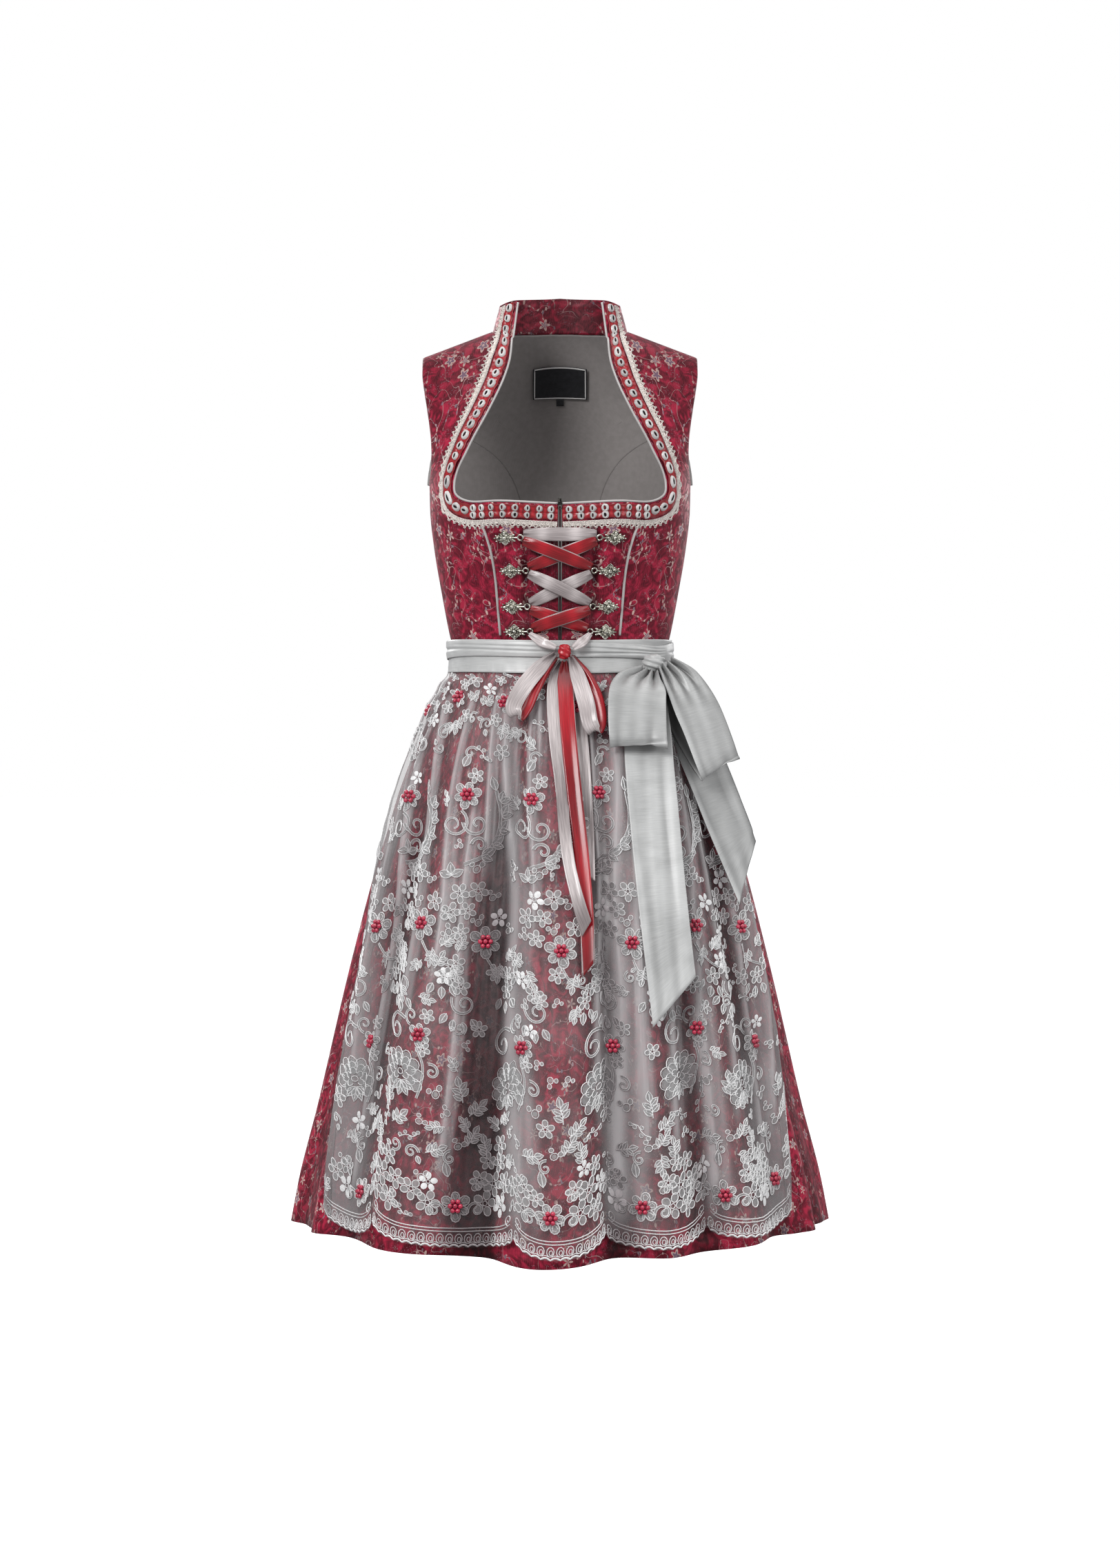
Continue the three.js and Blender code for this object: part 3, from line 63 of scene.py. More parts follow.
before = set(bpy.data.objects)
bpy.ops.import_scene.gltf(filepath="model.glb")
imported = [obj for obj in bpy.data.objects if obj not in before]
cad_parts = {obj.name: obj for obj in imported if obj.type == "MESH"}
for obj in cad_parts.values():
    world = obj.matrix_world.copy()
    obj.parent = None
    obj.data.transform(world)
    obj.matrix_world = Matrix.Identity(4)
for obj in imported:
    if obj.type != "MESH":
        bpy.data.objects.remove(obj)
CAD_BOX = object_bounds()

import math
from bisect import bisect_left
from functools import lru_cache, partial
from itertools import accumulate
from types import SimpleNamespace

import bmesh
import bpy
from mathutils import Matrix, Vector

MM = 0.001
BODY = "root"


# ------------------------------------------------------------------ numbers and tables
def lerp(a, b, t):
    """From a at t = 0 to b at t = 1."""
    return a + (b - a) * t


def clamp(x, low=0.0, high=1.0):
    return min(high, max(low, x))


def smooth(at, start, end):
    """A soft step from 0 at start to 1 at end."""
    t = clamp((at - start) / (end - start))
    return t * t * (3 - 2 * t)


def bump(at, centre, spread):
    """A bell curve of height 1."""
    return math.exp(-(((at - centre) / spread) ** 2))


def evenly(count, start=0.0, end=1.0):
    """count numbers from start to end."""
    return [lerp(start, end, i / (count - 1)) for i in range(count)]


def uneven(n):
    """A repeatable number from 0 to 1 for fold number n."""
    return abs(math.fmod(math.sin(n * 12.9898 + 4.137) * 43758.5453, 1))


def sin(degrees):
    return math.sin(math.radians(degrees))


def cos(degrees):
    return math.cos(math.radians(degrees))


def table(columns, *rows):
    """Rows of numbers with a name for each column."""
    names = columns.split()
    return [dict(zip(names, row)) for row in rows]


def track(rows, by, column):
    """A smooth monotone curve through one column of a table that is sorted by another."""
    xs = [row[by] for row in rows]
    ys = [row[column] for row in rows]
    sign = 1 if xs[-1] > xs[0] else -1
    keys = [sign * x for x in xs]
    rise = [(ys[n + 1] - ys[n]) / (xs[n + 1] - xs[n]) for n in range(len(xs) - 1)]
    middle = [0 if a * b <= 0 else 2 * a * b / (a + b) for a, b in zip(rise, rise[1:])]
    slopes = [rise[0], *middle, rise[-1]]

    @lru_cache(maxsize=100000)
    def value(at):
        i = min(max(bisect_left(keys, sign * at) - 1, 0), len(xs) - 2)
        width = xs[i + 1] - xs[i]
        t = clamp((at - xs[i]) / width)
        low = ys[i] * (1 + 2 * t) * (1 - t) ** 2 + slopes[i] * width * t * (1 - t) ** 2
        high = ys[i + 1] * t * t * (3 - 2 * t) + slopes[i + 1] * width * t * t * (t - 1)
        return low + high

    return value


def tracks(rows, by):
    """One curve for each column of a table."""
    return SimpleNamespace(**{name: track(rows, by, name) for name in rows[0] if name != by})


def through(stops, steps):
    """Rows of a table read off at even steps between its rows, as namespaces."""
    rows = [{**stop, "row": i} for i, stop in enumerate(stops)]
    curves = {name: track(rows, "row", name) for name in stops[0]}
    places = evenly(steps, 0, len(stops) - 1)
    return [SimpleNamespace(**{name: curve(at) for name, curve in curves.items()}) for at in places]


# ------------------------------------------------------------------ driving dimensions
SEAM_GAP = 0.16
SHOULDER_GAP = 0.8
SHOULDER_GAP_FROM = -40
WAIST_Z = -352
HEM_Z = -1012
SHOULDER_Z = 14
NECK_HALF = 80
SHOULDER_HALF = 159
NECK_DEPTH = 55
LINING_UNDER = 2.3  # the lining's face lies this far inside the bodice's face

TORSO = table(
    "level half front back fall nape bust",
    (-352, 124.5, 83, 82, 0, 0, 0),
    (-330, 129.5, 88, 85, 0, 0, 0),
    (-290, 137, 98, 90, 0, 0, 2),
    (-240, 145.5, 113, 98, 0, 0, 9),
    (-195, 150.5, 121, 105, 0, 0, 16),
    (-160, 151.5, 114, 107, 0, 0, 12),
    (-120, 156, 100, 104, 4, 0, 4),
    (-60, 165.5, 76, 92, 16, 6, 0),
    (-25, 170.5, 62, 72, 25, 22, 0),
    (-8, 172, 52, 55, 28, 28, 0),
    (3, 172, 40, 41, 29, 28, 0),
    (10, 172, 25, 25, 30, 28, 0),
    (SHOULDER_Z, 172, 0, 0, 30, 28, 0),
)
torso = tracks(TORSO, "level")
CUP_X, CUP_SPREAD = 68, 34
CREASE = SimpleNamespace(x=37, spread=6.5, depth=6.5, top=-226, bottom=-345)
# Pulls in the cloth of the bodice: where each runs, how wide, how deep, and how it leans.
PULLS = table(
    "x top bottom lean width depth",
    (92, -238, -340, -0.12, 7, 1.1),
    (112, -225, -330, -0.2, 9, 0.9),
    (58, -262, -345, -0.05, 4, 0.8),
    (47, -290, -348, 0.1, 4, 1.0),
    (26, -300, -350, 0.04, 5, 0.7),
    (130, -90, -170, 0.1, 8, 0.9),
)


def torso_point(angle, level):
    """A place on the bodice: 0 degrees is centre front, 90 the wearer's left side."""
    half = torso.half(level)
    side = cos(angle)
    x = half * sin(angle)
    fall = torso.fall(level) * max(0, abs(x) - NECK_HALF) / (SHOULDER_HALF - NECK_HALF)
    gap = lerp(SEAM_GAP, SHOULDER_GAP, smooth(level, SHOULDER_GAP_FROM, 0)) / 2
    if side < 0:
        nape = torso.nape(level) * max(0, 1 - (x / NECK_HALF) ** 2)
        return Vector((x, -side * torso.back(level) + gap, level - fall + nape))
    cup = torso.bust(level) * bump(abs(x), CUP_X, CUP_SPREAD)
    risen = smooth(level, CREASE.bottom, CREASE.bottom + 60)
    ended = smooth(level, CREASE.top - 12, CREASE.top)
    crease = CREASE.depth * risen * (1 - ended) * bump(abs(x), CREASE.x, CREASE.spread)
    for n, pull in enumerate(PULLS):
        reach = smooth(level, pull["bottom"], pull["bottom"] + 30)
        reach *= 1 - smooth(level, pull["top"] - 30, pull["top"])
        shift = pull["lean"] * (level - pull["top"]) + 5 * uneven(n) * (x > 0)
        crease += pull["depth"] * reach * bump(abs(x), pull["x"] + shift, pull["width"])
    return Vector((x, -side * torso.front(level) - cup + crease - gap, level - fall))


def torso_where(place, test):
    """Halves the range of levels until test(point) changes sign."""
    low, high = WAIST_Z, SHOULDER_Z
    for _ in range(32):
        middle = (low + high) / 2
        if test(torso_point(*place(middle))) > 0:
            high = middle
        else:
            low = middle
    return place((low + high) / 2)


def torso_at(x, z, back=False):
    """The angle and level of what is seen at x, z from the front, or from the back."""

    def place(level):
        turn = math.degrees(math.asin(clamp(x / torso.half(level), -1, 1)))
        return (180 - turn if back else turn, level)

    return torso_where(place, lambda point: point.z - z)


def neck_seam(angle, outside=0.0):
    """Where the neck seam runs on the bodice, at an angle from the centre back."""
    x = (NECK_HALF - 1 + outside) * sin(angle)
    y = (NECK_DEPTH - 1 + outside) * cos(angle)

    def place(level):
        turn = math.degrees(math.asin(x / torso.half(level)))
        return (180 - turn if y > 0 else turn, level)

    return torso_where(place, lambda point: abs(y) - abs(point.y))


COLLAR = SimpleNamespace(foot=(78.2, 53.1), top=(70, 50), end=135, turn=66, lift=-0.9)
NECK_CLEAR = 0.9
COLLAR_EDGE = table("angle z", (0, 61), (45, 57), (80, 46.5), (105, 41.5), (122, 43), (135, 44.5))
COLLAR_TOP = track(COLLAR_EDGE, "angle", "z")


@lru_cache(maxsize=1000)
def collar_foot(angle):
    """The height at which the collar starts, at an angle from the centre back."""
    return torso_point(*neck_seam(angle, NECK_CLEAR)).z + COLLAR.lift


def collar_point(angle, up):
    """A place on the stand collar: angle from the centre back, up from 0 at its seam to 1 at its edge."""
    half, depth = (lerp(foot, top, up) for foot, top in zip(COLLAR.foot, COLLAR.top))
    z = lerp(collar_foot(abs(angle)), COLLAR_TOP(abs(angle)), up)
    return Vector((half * sin(angle), depth * cos(angle), z))


# ------------------------------------------------------------------ sheets of points
class Sheet:
    """Rows of points on a piece of cloth, in millimetres. at() reads a place and the way out of the cloth."""

    def __init__(self, rows, wrap=False):
        self.rows = rows
        self.wrap = wrap
        self.count = len(rows), len(rows[0])
        self.outward = 1
        middle = self.count[0] // 2, self.count[1] // 2
        point = rows[middle[0]][middle[1]]
        if self.normal(*middle).dot(Vector((point.x, point.y, 0))) < 0:
            self.outward = -1

    def normal(self, i, j):
        last_row, columns = self.count[0] - 1, self.count[1]
        across = lambda k: k % columns if self.wrap else min(max(k, 0), columns - 1)
        up = self.rows[min(i + 1, last_row)][across(j)] - self.rows[max(i - 1, 0)][across(j)]
        along = self.rows[i][across(j + 1)] - self.rows[i][across(j - 1)]
        return along.cross(up).normalized() * self.outward

    def at(self, i, j, off=0.0):
        """The point at a fractional row and column, moved off the cloth."""
        i = clamp(i, 0, self.count[0] - 1.001)
        j = clamp(j, 0, self.count[1] - 1.001)
        a, b = int(i), int(j)
        s, t = i - a, j - b
        low = self.rows[a][b].lerp(self.rows[a][b + 1], t)
        high = self.rows[a + 1][b].lerp(self.rows[a + 1][b + 1], t)
        out = self.normal(a, b).lerp(self.normal(a + 1, b + 1), (s + t) / 2).normalized()
        return low.lerp(high, s) + out * off, out

    def moved(self, off):
        """The same sheet, moved out by a distance, or by off(i, j)."""
        shift = off if callable(off) else lambda i, j: off
        move = lambda i, row: [p + self.normal(i, j) * shift(i, j) for j, p in enumerate(row)]
        return [move(i, row) for i, row in enumerate(self.rows)]


def run_along(points):
    """The distance along a line of points at each of them."""
    return [*accumulate([(b - a).length for a, b in zip(points, points[1:])], initial=0.0)]


def cut_places(rows, width=None):
    """A place in the flat cloth for each point, in metres: rows run from their middle, or share a width."""
    columns = len(rows[0])
    middle = columns // 2
    down = run_along([row[middle] for row in rows])
    places = []
    for row, y in zip(rows, down):
        run = run_along(row)
        across = [r - run[middle] for r in run]
        if width:
            across = [width * (j / (columns - 1) - 0.5) for j in range(columns)]
        places.append([(x * MM, y * MM) for x in across])
    return places


def mesh_piece(name, points, faces, uvs=None, finish=(), smooth_shading=True):
    """A mesh object from points in millimetres, with one material for each face index group."""
    mesh = bpy.data.meshes.new(name)
    mesh.from_pydata([tuple(p * MM) for p in points], [], faces)
    if uvs:
        layer = mesh.uv_layers.new(name="cut")
        for loop in mesh.loops:
            layer.data[loop.index].uv = uvs[loop.vertex_index]
    mesh.polygons.foreach_set("use_smooth", [smooth_shading] * len(mesh.polygons))
    for material in finish:
        mesh.materials.append(material)
    mesh.update()
    piece = bpy.data.objects.new(name, mesh)
    bpy.context.scene.collection.objects.link(piece)
    return piece


def cloth_piece(name, sheet, thick, finish, width=None):
    """A thin closed shell on a sheet of points. finish is its outer material, and the inner one if given."""
    rows, (count, columns) = sheet.rows, sheet.count
    points = [p for row in rows for p in row]
    places = [uv for row in cut_places(rows, width) for uv in row]
    faces = []
    for i in range(count - 1):
        for j in range(columns if sheet.wrap else columns - 1):
            a, b = i * columns + j, i * columns + (j + 1) % columns
            quad = (a, b, b + columns, a + columns)
            faces.append(quad if sheet.outward > 0 else quad[::-1])
    piece = mesh_piece(name, points, faces, places, finish)
    wall = piece.modifiers.new("wall", "SOLIDIFY")
    wall.thickness = thick * MM
    wall.offset = -1
    wall.use_even_offset = False
    if len(finish) > 1:
        wall.material_offset = 1
    return piece


def face_outwards(piece):
    """Turns the faces of closed meshes outwards."""
    solid = bmesh.new()
    solid.from_mesh(piece.data)
    bmesh.ops.recalc_face_normals(solid, faces=solid.faces)
    solid.to_mesh(piece.data)
    solid.free()
    return piece


def shade_points(piece, values, name="painted_shade"):
    """Gives each point of a piece its own value, from 0 to 1, for its finish to read."""
    layer = piece.data.attributes.new(name, "FLOAT", "POINT")
    layer.data.foreach_set("value", values)


def sheet_area(rows):
    """Area of a sheet in square metres."""
    total = 0.0
    for a, b in zip(rows, rows[1:]):
        for j in range(len(a) - 1):
            total += (a[j + 1] - a[j]).cross(b[j] - a[j]).length / 2
            total += (b[j + 1] - b[j]).cross(b[j + 1] - a[j + 1]).length / 2
    return total * MM * MM


def settle(piece, slot, *nodes):
    """Puts a finished piece on the body, and hides the solids that it stands for."""
    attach(piece, BODY)
    if nodes:
        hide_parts(*nodes)
    return piece


def thickness(name):
    """A thickness from the panel, in millimetres."""
    return getattr(bpy.context.scene.dirndl_sizes, name) / MM


SMALLEST_CUT = 0.0101  # metres, the least that a cut is said to measure across


def declare_cloth(piece, rows, held, rests_on, ease=1.0, flat=None):
    """Works out the cut of a sheet, and keeps none of it. ease is how much more cloth was cut than shows."""
    area = sheet_area(rows) * ease
    if flat is None:
        length = run_along([row[len(row) // 2] for row in rows])[-1] * MM
        width = max(run_along(row)[-1] for row in rows) * MM * ease
        grow = max(1.0, area / (width * length))
        flat = (max(width * grow, SMALLEST_CUT), length)
    area = min(area, flat[0] * flat[1])
    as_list(rests_on)


def sew(name, sheet, thick, finish, slot, nodes, held, rests_on, rows=None, width=None, **cut):
    """Makes a piece of cloth in place of its solids, and works out its cut. rows is what is measured."""
    piece = settle(cloth_piece(name, sheet, thick, finish, width), slot, *nodes)
    declare_cloth(piece, rows or sheet.rows, held, rests_on, **cut)
    return piece


# ------------------------------------------------------------------ finishes
def linear(text):
    """An sRGB hex colour as linear RGBA."""
    values = [int(text[k : k + 2], 16) / 255 for k in (0, 2, 4)]
    return (*[v / 12.92 if v <= 0.04045 else ((v + 0.055) / 1.055) ** 2.4 for v in values], 1.0)


def add(tree, kind, inputs=None, stops=(), **settings):
    """Adds a shader node with its settings, a value or a link for each input, and the stops of its ramp."""
    made = tree.nodes.new("ShaderNode" + kind)
    for name, value in settings.items():
        setattr(made, name, value)
    for key, value in (inputs or {}).items():
        if isinstance(value, bpy.types.Node):
            value = value.outputs[0]
        if isinstance(value, bpy.types.NodeSocket):
            tree.links.new(value, made.inputs[key])
        else:
            made.inputs[key].default_value = value
    for n, (position, colour) in enumerate(stops):
        elements = made.color_ramp.elements
        stop = elements[n] if n < len(elements) else elements.new(position)
        stop.position = position
        if isinstance(colour, str):
            colour = linear(colour)
        stop.color = colour if isinstance(colour, tuple) else (colour, colour, colour, 1)
    return made


def finish_named(name, **values):
    """A new material, how to add a node to it, its shader with values set, and the cloth's flat places."""
    material = bpy.data.materials.new(name)
    material.use_nodes = True
    node = partial(add, material.node_tree)
    shader = material.node_tree.nodes["Principled BSDF"]
    for title, value in values.items():
        shader.inputs[title.replace("_", " ")].default_value = value
    return material, node, shader, node("UVMap", uv_map="cut")


def wire(shader, **sources):
    """Links inputs of the shader to nodes."""
    for title, source in sources.items():
        shader.id_data.links.new(source.outputs[0], shader.inputs[title.replace("_", " ")])


def tone(colour, factor):
    """A darker or lighter tone of a linear colour."""
    return (*[min(1.0, value * factor) for value in colour[:3]], 1.0)


def in_shade(node, colour, tint):
    """The colour with painted shade: tinted as far as the point attribute of painted shade says that the
    cloth lies in shade.
    """
    painted_shade = node("Attribute", attribute_name="painted_shade")
    return node("MixRGB", {0: painted_shade.outputs["Fac"], 1: colour, 2: linear(tint)}, blend_type="MULTIPLY")


def weave_height(node, place, pitch_mm):
    """Threads crossing at a pitch, as a height from 0 to 1."""
    waves = {"Vector": place, "Scale": 1 / (pitch_mm * MM) / math.pi}
    across, down = (node("TexWave", waves, bands_direction=way) for way in "XY")
    return node("Math", {0: across.outputs["Fac"], 1: down.outputs["Fac"]}, operation="MAXIMUM")


def jacquard_finish(name, satin, face, shade=0.0):
    """Woven jacquard: satin ground with tonal leaves, and vines, sprigs and small flowers floating on it.

    face is False for the back of the cloth, where the floats show as a dull mix. shade is painted shade: it
    darkens cloth that lies inside a fold or a collar, as the point attribute of painted shade does for the
    valleys of the skirt.
    """
    values = {"Sheen_Weight": 0.03, "Sheen_Roughness": 0.4, "Specular_IOR_Level": 0.2}
    material, node, shader, place = finish_named(name, Roughness=0.5, **values)
    # Tonal leaves: the ground changes between two satins in soft patches about 15 mm wide.
    leaf = node("TexNoise", {"Vector": place, "Scale": 62.0, "Detail": 2.0, "Distortion": 1.6})
    tones = [(0.38, 0.33), (0.47, 0.66), (0.53, 1.0), (0.62, 1.75)]
    ground = node("ValToRGB", {0: leaf}, [(k, tone(satin, factor)) for k, factor in tones])
    veins = node("TexWave", {"Vector": place, "Scale": 130.0, "Distortion": 9.0, "Detail": 2.0})
    vein_colour = node("ValToRGB", {0: veins.outputs["Fac"]}, [(0.3, "520a1c"), (0.7, "a02c45")])
    ground = node("MixRGB", {0: 0.22, 1: ground, 2: vein_colour})
    # Vines follow the lines where a slow noise crosses its middle value.
    wander = node("TexNoise", {"Vector": place, "Scale": 38.0, "Detail": 1.0, "Distortion": 0.6})
    centred = node("Math", {0: wander, 1: 0.5}, operation="SUBTRACT")
    from_vine = node("Math", {0: centred}, operation="ABSOLUTE")
    # They and their sprigs come in loose clusters with plain ground between them.
    patches = node("TexNoise", {"Vector": place, "Scale": 21.0, "Detail": 0.0})
    cluster = node("ValToRGB", {0: patches}, [(0.37, 0.0), (0.44, 1.0)])
    line = node("ValToRGB", {0: from_vine}, [(0.0035, 1.0), (0.0055, 0.0)])
    vine = node("Math", {0: line, 1: cluster}, operation="MULTIPLY")
    beside = node("ValToRGB", {0: from_vine}, [(0.036, 1.0), (0.048, 0.0)])
    near_vine = node("Math", {0: beside, 1: cluster}, operation="MULTIPLY")
    # Sprig leaves and buds along the vines, about 4 mm long, each with its own colour.
    stretch = node("Mapping", {"Vector": place, "Rotation": (0, 0, 0.6), "Scale": (230.0, 130.0, 1.0)})
    bud = node("TexVoronoi", {"Vector": stretch, "Scale": 1.0, "Randomness": 0.9})
    bud_shape = node("ValToRGB", {0: bud.outputs["Distance"]}, [(0.3, 1.0), (0.36, 0.0)])
    sprig = node("Math", {0: bud_shape, 1: near_vine}, operation="MULTIPLY")
    # Flowers: five petals round the middle of scattered cells 24 mm apart.
    cells = node("Mapping", {"Vector": place, "Scale": (42.0, 42.0, 42.0)})
    flower = node("TexVoronoi", {"Vector": cells, "Scale": 1.0, "Randomness": 0.75})
    offset = node("VectorMath", {0: cells, 1: flower.outputs["Position"]}, operation="SUBTRACT")
    parts = node("SeparateXYZ", {0: offset})
    turn = node("Math", {0: parts.outputs["X"], 1: parts.outputs["Y"]}, operation="ARCTAN2")
    petals = node("Math", {0: turn, 1: 5.0}, operation="MULTIPLY")
    wave = node("Math", {0: petals}, operation="SINE")
    edge = node("Math", {0: wave, 1: 0.08, 2: 0.27}, operation="MULTIPLY_ADD")
    reach = node("Math", {0: flower.outputs["Distance"], 1: edge}, operation="DIVIDE")
    petal_fill = node("ValToRGB", {0: reach}, [(0.82, 1.0), (0.9, 0.0)])
    rims = [(0.0, 1.0), (0.22, 1.0), (0.26, 0.0), (0.66, 0.0), (0.72, 1.0), (1.0, 1.0)]
    petal_rim = node("ValToRGB", {0: reach}, rims)
    chosen = node("ValToRGB", {0: flower.outputs["Color"]}, [(0.4, 0.0), (0.42, 1.0)])
    petal_fill = node("Math", {0: petal_fill, 1: chosen}, operation="MULTIPLY")
    petal_rim = node("Math", {0: petal_rim, 1: chosen}, operation="MULTIPLY")
    inside = node("ValToRGB", {0: reach}, [(0.95, 1.0), (1.02, 0.0)])
    rim = node("Math", {0: petal_rim, 1: inside}, operation="MULTIPLY")
    # Flecks of the floating threads.
    speck = node("TexNoise", {"Vector": place, "Scale": 520.0, "Detail": 2.0, "Roughness": 0.7})
    dense = node("TexNoise", {"Vector": place, "Scale": 60.0, "Detail": 0.0})
    many = node("ValToRGB", {0: dense}, [(0.5, 0.0), (0.6, 1.0)])
    fine = node("ValToRGB", {0: speck}, [(0.6, 0.0), (0.63, 1.0)])
    flecks = node("Math", {0: fine, 1: many}, operation="MULTIPLY")
    tint = node("SeparateColor", {0: bud.outputs["Color"]})
    thread = node("ValToRGB", {0: tint.outputs[0]}, [(0.35, "84707c"), (0.5, "a88c94"), (0.6, "cfaea6")])
    colour = ground
    for where, woven in (
        *[(flecks, linear("9a6d78")), (vine, linear("b99493")), (sprig, thread)],
        *[(petal_fill, linear("84697c")), (rim, linear("d2b4ab"))],
    ):
        colour = node("MixRGB", {0: where, 1: colour, 2: woven})
    if not face:
        colour = node("MixRGB", {0: 0.62, 1: colour, 2: linear("6e2134")})
    # Painted shade: the colour is multiplied towards a grey tint by the point attribute of painted shade, or
    # at least by shade.
    painted_shade = node("Attribute", attribute_name="painted_shade")
    dark = node("Math", {0: painted_shade.outputs["Fac"], 1: shade}, operation="MAXIMUM")
    colour = node("MixRGB", {0: dark, 1: colour, 2: linear("6b5c60")}, blend_type="MULTIPLY")
    raised = node("Math", {0: sprig, 1: rim}, operation="MAXIMUM")
    height = node("Math", {0: raised, 1: weave_height(node, place, 0.7), 2: 0.6}, operation="MULTIPLY_ADD")
    bumps = node("Bump", {"Height": height, "Strength": 0.22, "Distance": 0.0004})
    gloss = node("ValToRGB", {0: leaf}, [(0.4, 0.56), (0.6, 0.42)])
    wire(shader, Base_Color=colour, Normal=bumps, Roughness=gloss)
    return material


def satin_finish(name, thread, edge=None, roughness=0.24, half_mm=6.9):
    """Polyester satin ribbon: long floats give it a bright streak, and a woven edge of its own colour."""
    values = {"Sheen_Weight": 0.05, "Specular_IOR_Level": 0.55, "Anisotropic": 0.5}
    material, node, shader, place = finish_named(name, Roughness=roughness, **values)
    streak = node("Mapping", {"Vector": place, "Scale": (900.0, 40.0, 1.0)})
    threads = node("TexNoise", {"Vector": streak, "Scale": 1.0, "Detail": 2.0})
    colour = node("ValToRGB", {0: threads}, [(0.3, tone(thread, 0.58)), (0.7, tone(thread, 1.0))])
    if edge:
        across = node("SeparateXYZ", {0: place})
        out = node("Math", {0: across.outputs["X"]}, operation="ABSOLUTE")
        share = node("Math", {0: out, 1: 1 / (2 * half_mm * MM)}, operation="MULTIPLY")
        rim = node("ValToRGB", {0: share}, [(0.485, 0.0), (0.505, 1.0)])
        colour = node("MixRGB", {0: rim, 1: colour, 2: linear(edge)})
    bumps = node("Bump", {"Height": threads, "Strength": 0.12, "Distance": 0.0002})
    # Painted shade: the point attribute of painted shade darkens the ribbon, and where it is low the ribbon
    # shows as a painted highlight.
    wire(shader, Base_Color=in_shade(node, colour, "6a5e60"), Normal=bumps)
    return material


def taffeta_finish(thread):
    """Slubbed polyester taffeta: crisp, with uneven thicker threads across it and a cool soft sheen."""
    values = {"Roughness": 0.36, "Sheen_Weight": 0.12, "Specular_IOR_Level": 0.6}
    material, node, shader, place = finish_named("slub_taffeta", **values)
    long_slub = node("Mapping", {"Vector": place, "Scale": (45.0, 1100.0, 1.0)})
    slub = node("TexNoise", {"Vector": long_slub, "Scale": 1.0, "Detail": 3.0, "Roughness": 0.6})
    cloudy = node("TexNoise", {"Vector": place, "Scale": 17.0, "Detail": 2.0, "Distortion": 0.8})
    clouds = [(k, tone(thread, factor)) for k, factor in ((0.34, 0.76), (0.5, 1.0), (0.66, 1.24))]
    slubs = [(k, tone(thread, factor)) for k, factor in ((0.35, 0.78), (0.5, 1.0), (0.7, 1.28))]
    base, lines = node("ValToRGB", {0: cloudy}, clouds), node("ValToRGB", {0: slub}, slubs)
    colour = node("MixRGB", {0: 0.4, 1: base, 2: lines})
    bumps = node("Bump", {"Height": slub, "Strength": 0.25, "Distance": 0.00025})
    # Painted shade: the point attribute of painted shade darkens the taffeta in its folds, at the back of
    # loops and under the knot.
    wire(shader, Base_Color=in_shade(node, colour, "6f6e6e"), Normal=bumps)
    return material


def organza_finish(alpha, name="sheer_organza"):
    """Sheer organza: a fine open plain weave of glassy grey thread that lets the skirt show through."""
    values = {"Sheen_Weight": 0.5, "Sheen_Roughness": 0.3, "Specular_IOR_Level": 0.5}
    material, node, shader, place = finish_named(name, Roughness=0.38, **values)
    cloudy = node("TexNoise", {"Vector": place, "Scale": 9.0, "Detail": 2.0})
    colour = node("ValToRGB", {0: cloudy}, [(0.3, "7f7b7c"), (0.7, "a3a0a0")])
    # Painted shade: the point attribute darkens the organza over the valleys of the skirt, for the shade
    # there.
    colour = in_shade(node, colour, "857c7f")
    # The folds hold more layers of thread, so they are paler and let less through.
    fold = node("Attribute", attribute_name="fold")
    paler = node("Math", {0: fold.outputs["Fac"], 1: 0.75}, operation="MULTIPLY")
    colour = node("MixRGB", {0: paler, 1: colour, 2: linear("cfcbcc")})
    clamped = {"operation": "MULTIPLY_ADD", "use_clamp": True}
    thick = node("Math", {0: cloudy, 1: 0.22, 2: alpha - 0.11}, **clamped)
    cover = node("Math", {0: fold.outputs["Fac"], 1: 0.36, 2: thick}, **clamped)
    bumps = node("Bump", {"Height": weave_height(node, place, 0.8), "Strength": 0.1, "Distance": 0.0002})
    wire(shader, Base_Color=colour, Alpha=cover, Normal=bumps)
    return material


def plain_cloth_finish(name, light, dark, pitch_mm, roughness=0.8):
    """Plain woven cloth: a matt thread in two close shades, with its threads at a pitch."""
    values = {"Roughness": roughness, "Sheen_Weight": 0.2, "Specular_IOR_Level": 0.3}
    material, node, shader, _ = finish_named(name, **values)
    here = node("TexCoord").outputs["Object"]
    mottle = node("TexNoise", {"Vector": here, "Scale": 160.0, "Detail": 3.0})
    colour = node("ValToRGB", {0: mottle}, [(0.35, dark), (0.65, light)])
    bumps = node("Bump", {"Height": weave_height(node, here, pitch_mm), "Strength": 0.2, "Distance": 0.0003})
    wire(shader, Base_Color=colour, Normal=bumps)
    return material


def cord_finish(name, thread, dark=0.66, roughness=0.5, cover=1.0):
    """Rayon embroidery thread: bright, silky and twisted. Open stitches cover less than all."""
    values = {"Sheen_Weight": 0.3, "Specular_IOR_Level": 0.45, "Alpha": cover}
    material, node, shader, _ = finish_named(name, Roughness=roughness, **values)
    here = node("TexCoord").outputs["Object"]
    twists = {"Vector": here, "Scale": 420.0, "Distortion": 1.5, "Detail": 1.0}
    twist = node("TexWave", twists, bands_direction="DIAGONAL")
    mottle = node("TexNoise", {"Vector": here, "Scale": 300.0, "Detail": 1.0})
    both = node("Math", {0: twist.outputs["Fac"], 1: mottle}, operation="MULTIPLY")
    colour = node("ValToRGB", {0: both}, [(0.05, tone(thread, dark)), (0.5, tone(thread, 1.0))])
    bumps = node("Bump", {"Height": twist.outputs["Fac"], "Strength": 0.4, "Distance": 0.0003})
    # Painted shade: the point attribute greys the stitches that lie over the valleys of the skirt.
    wire(shader, Base_Color=in_shade(node, colour, "a29a9c"), Normal=bumps)
    return material


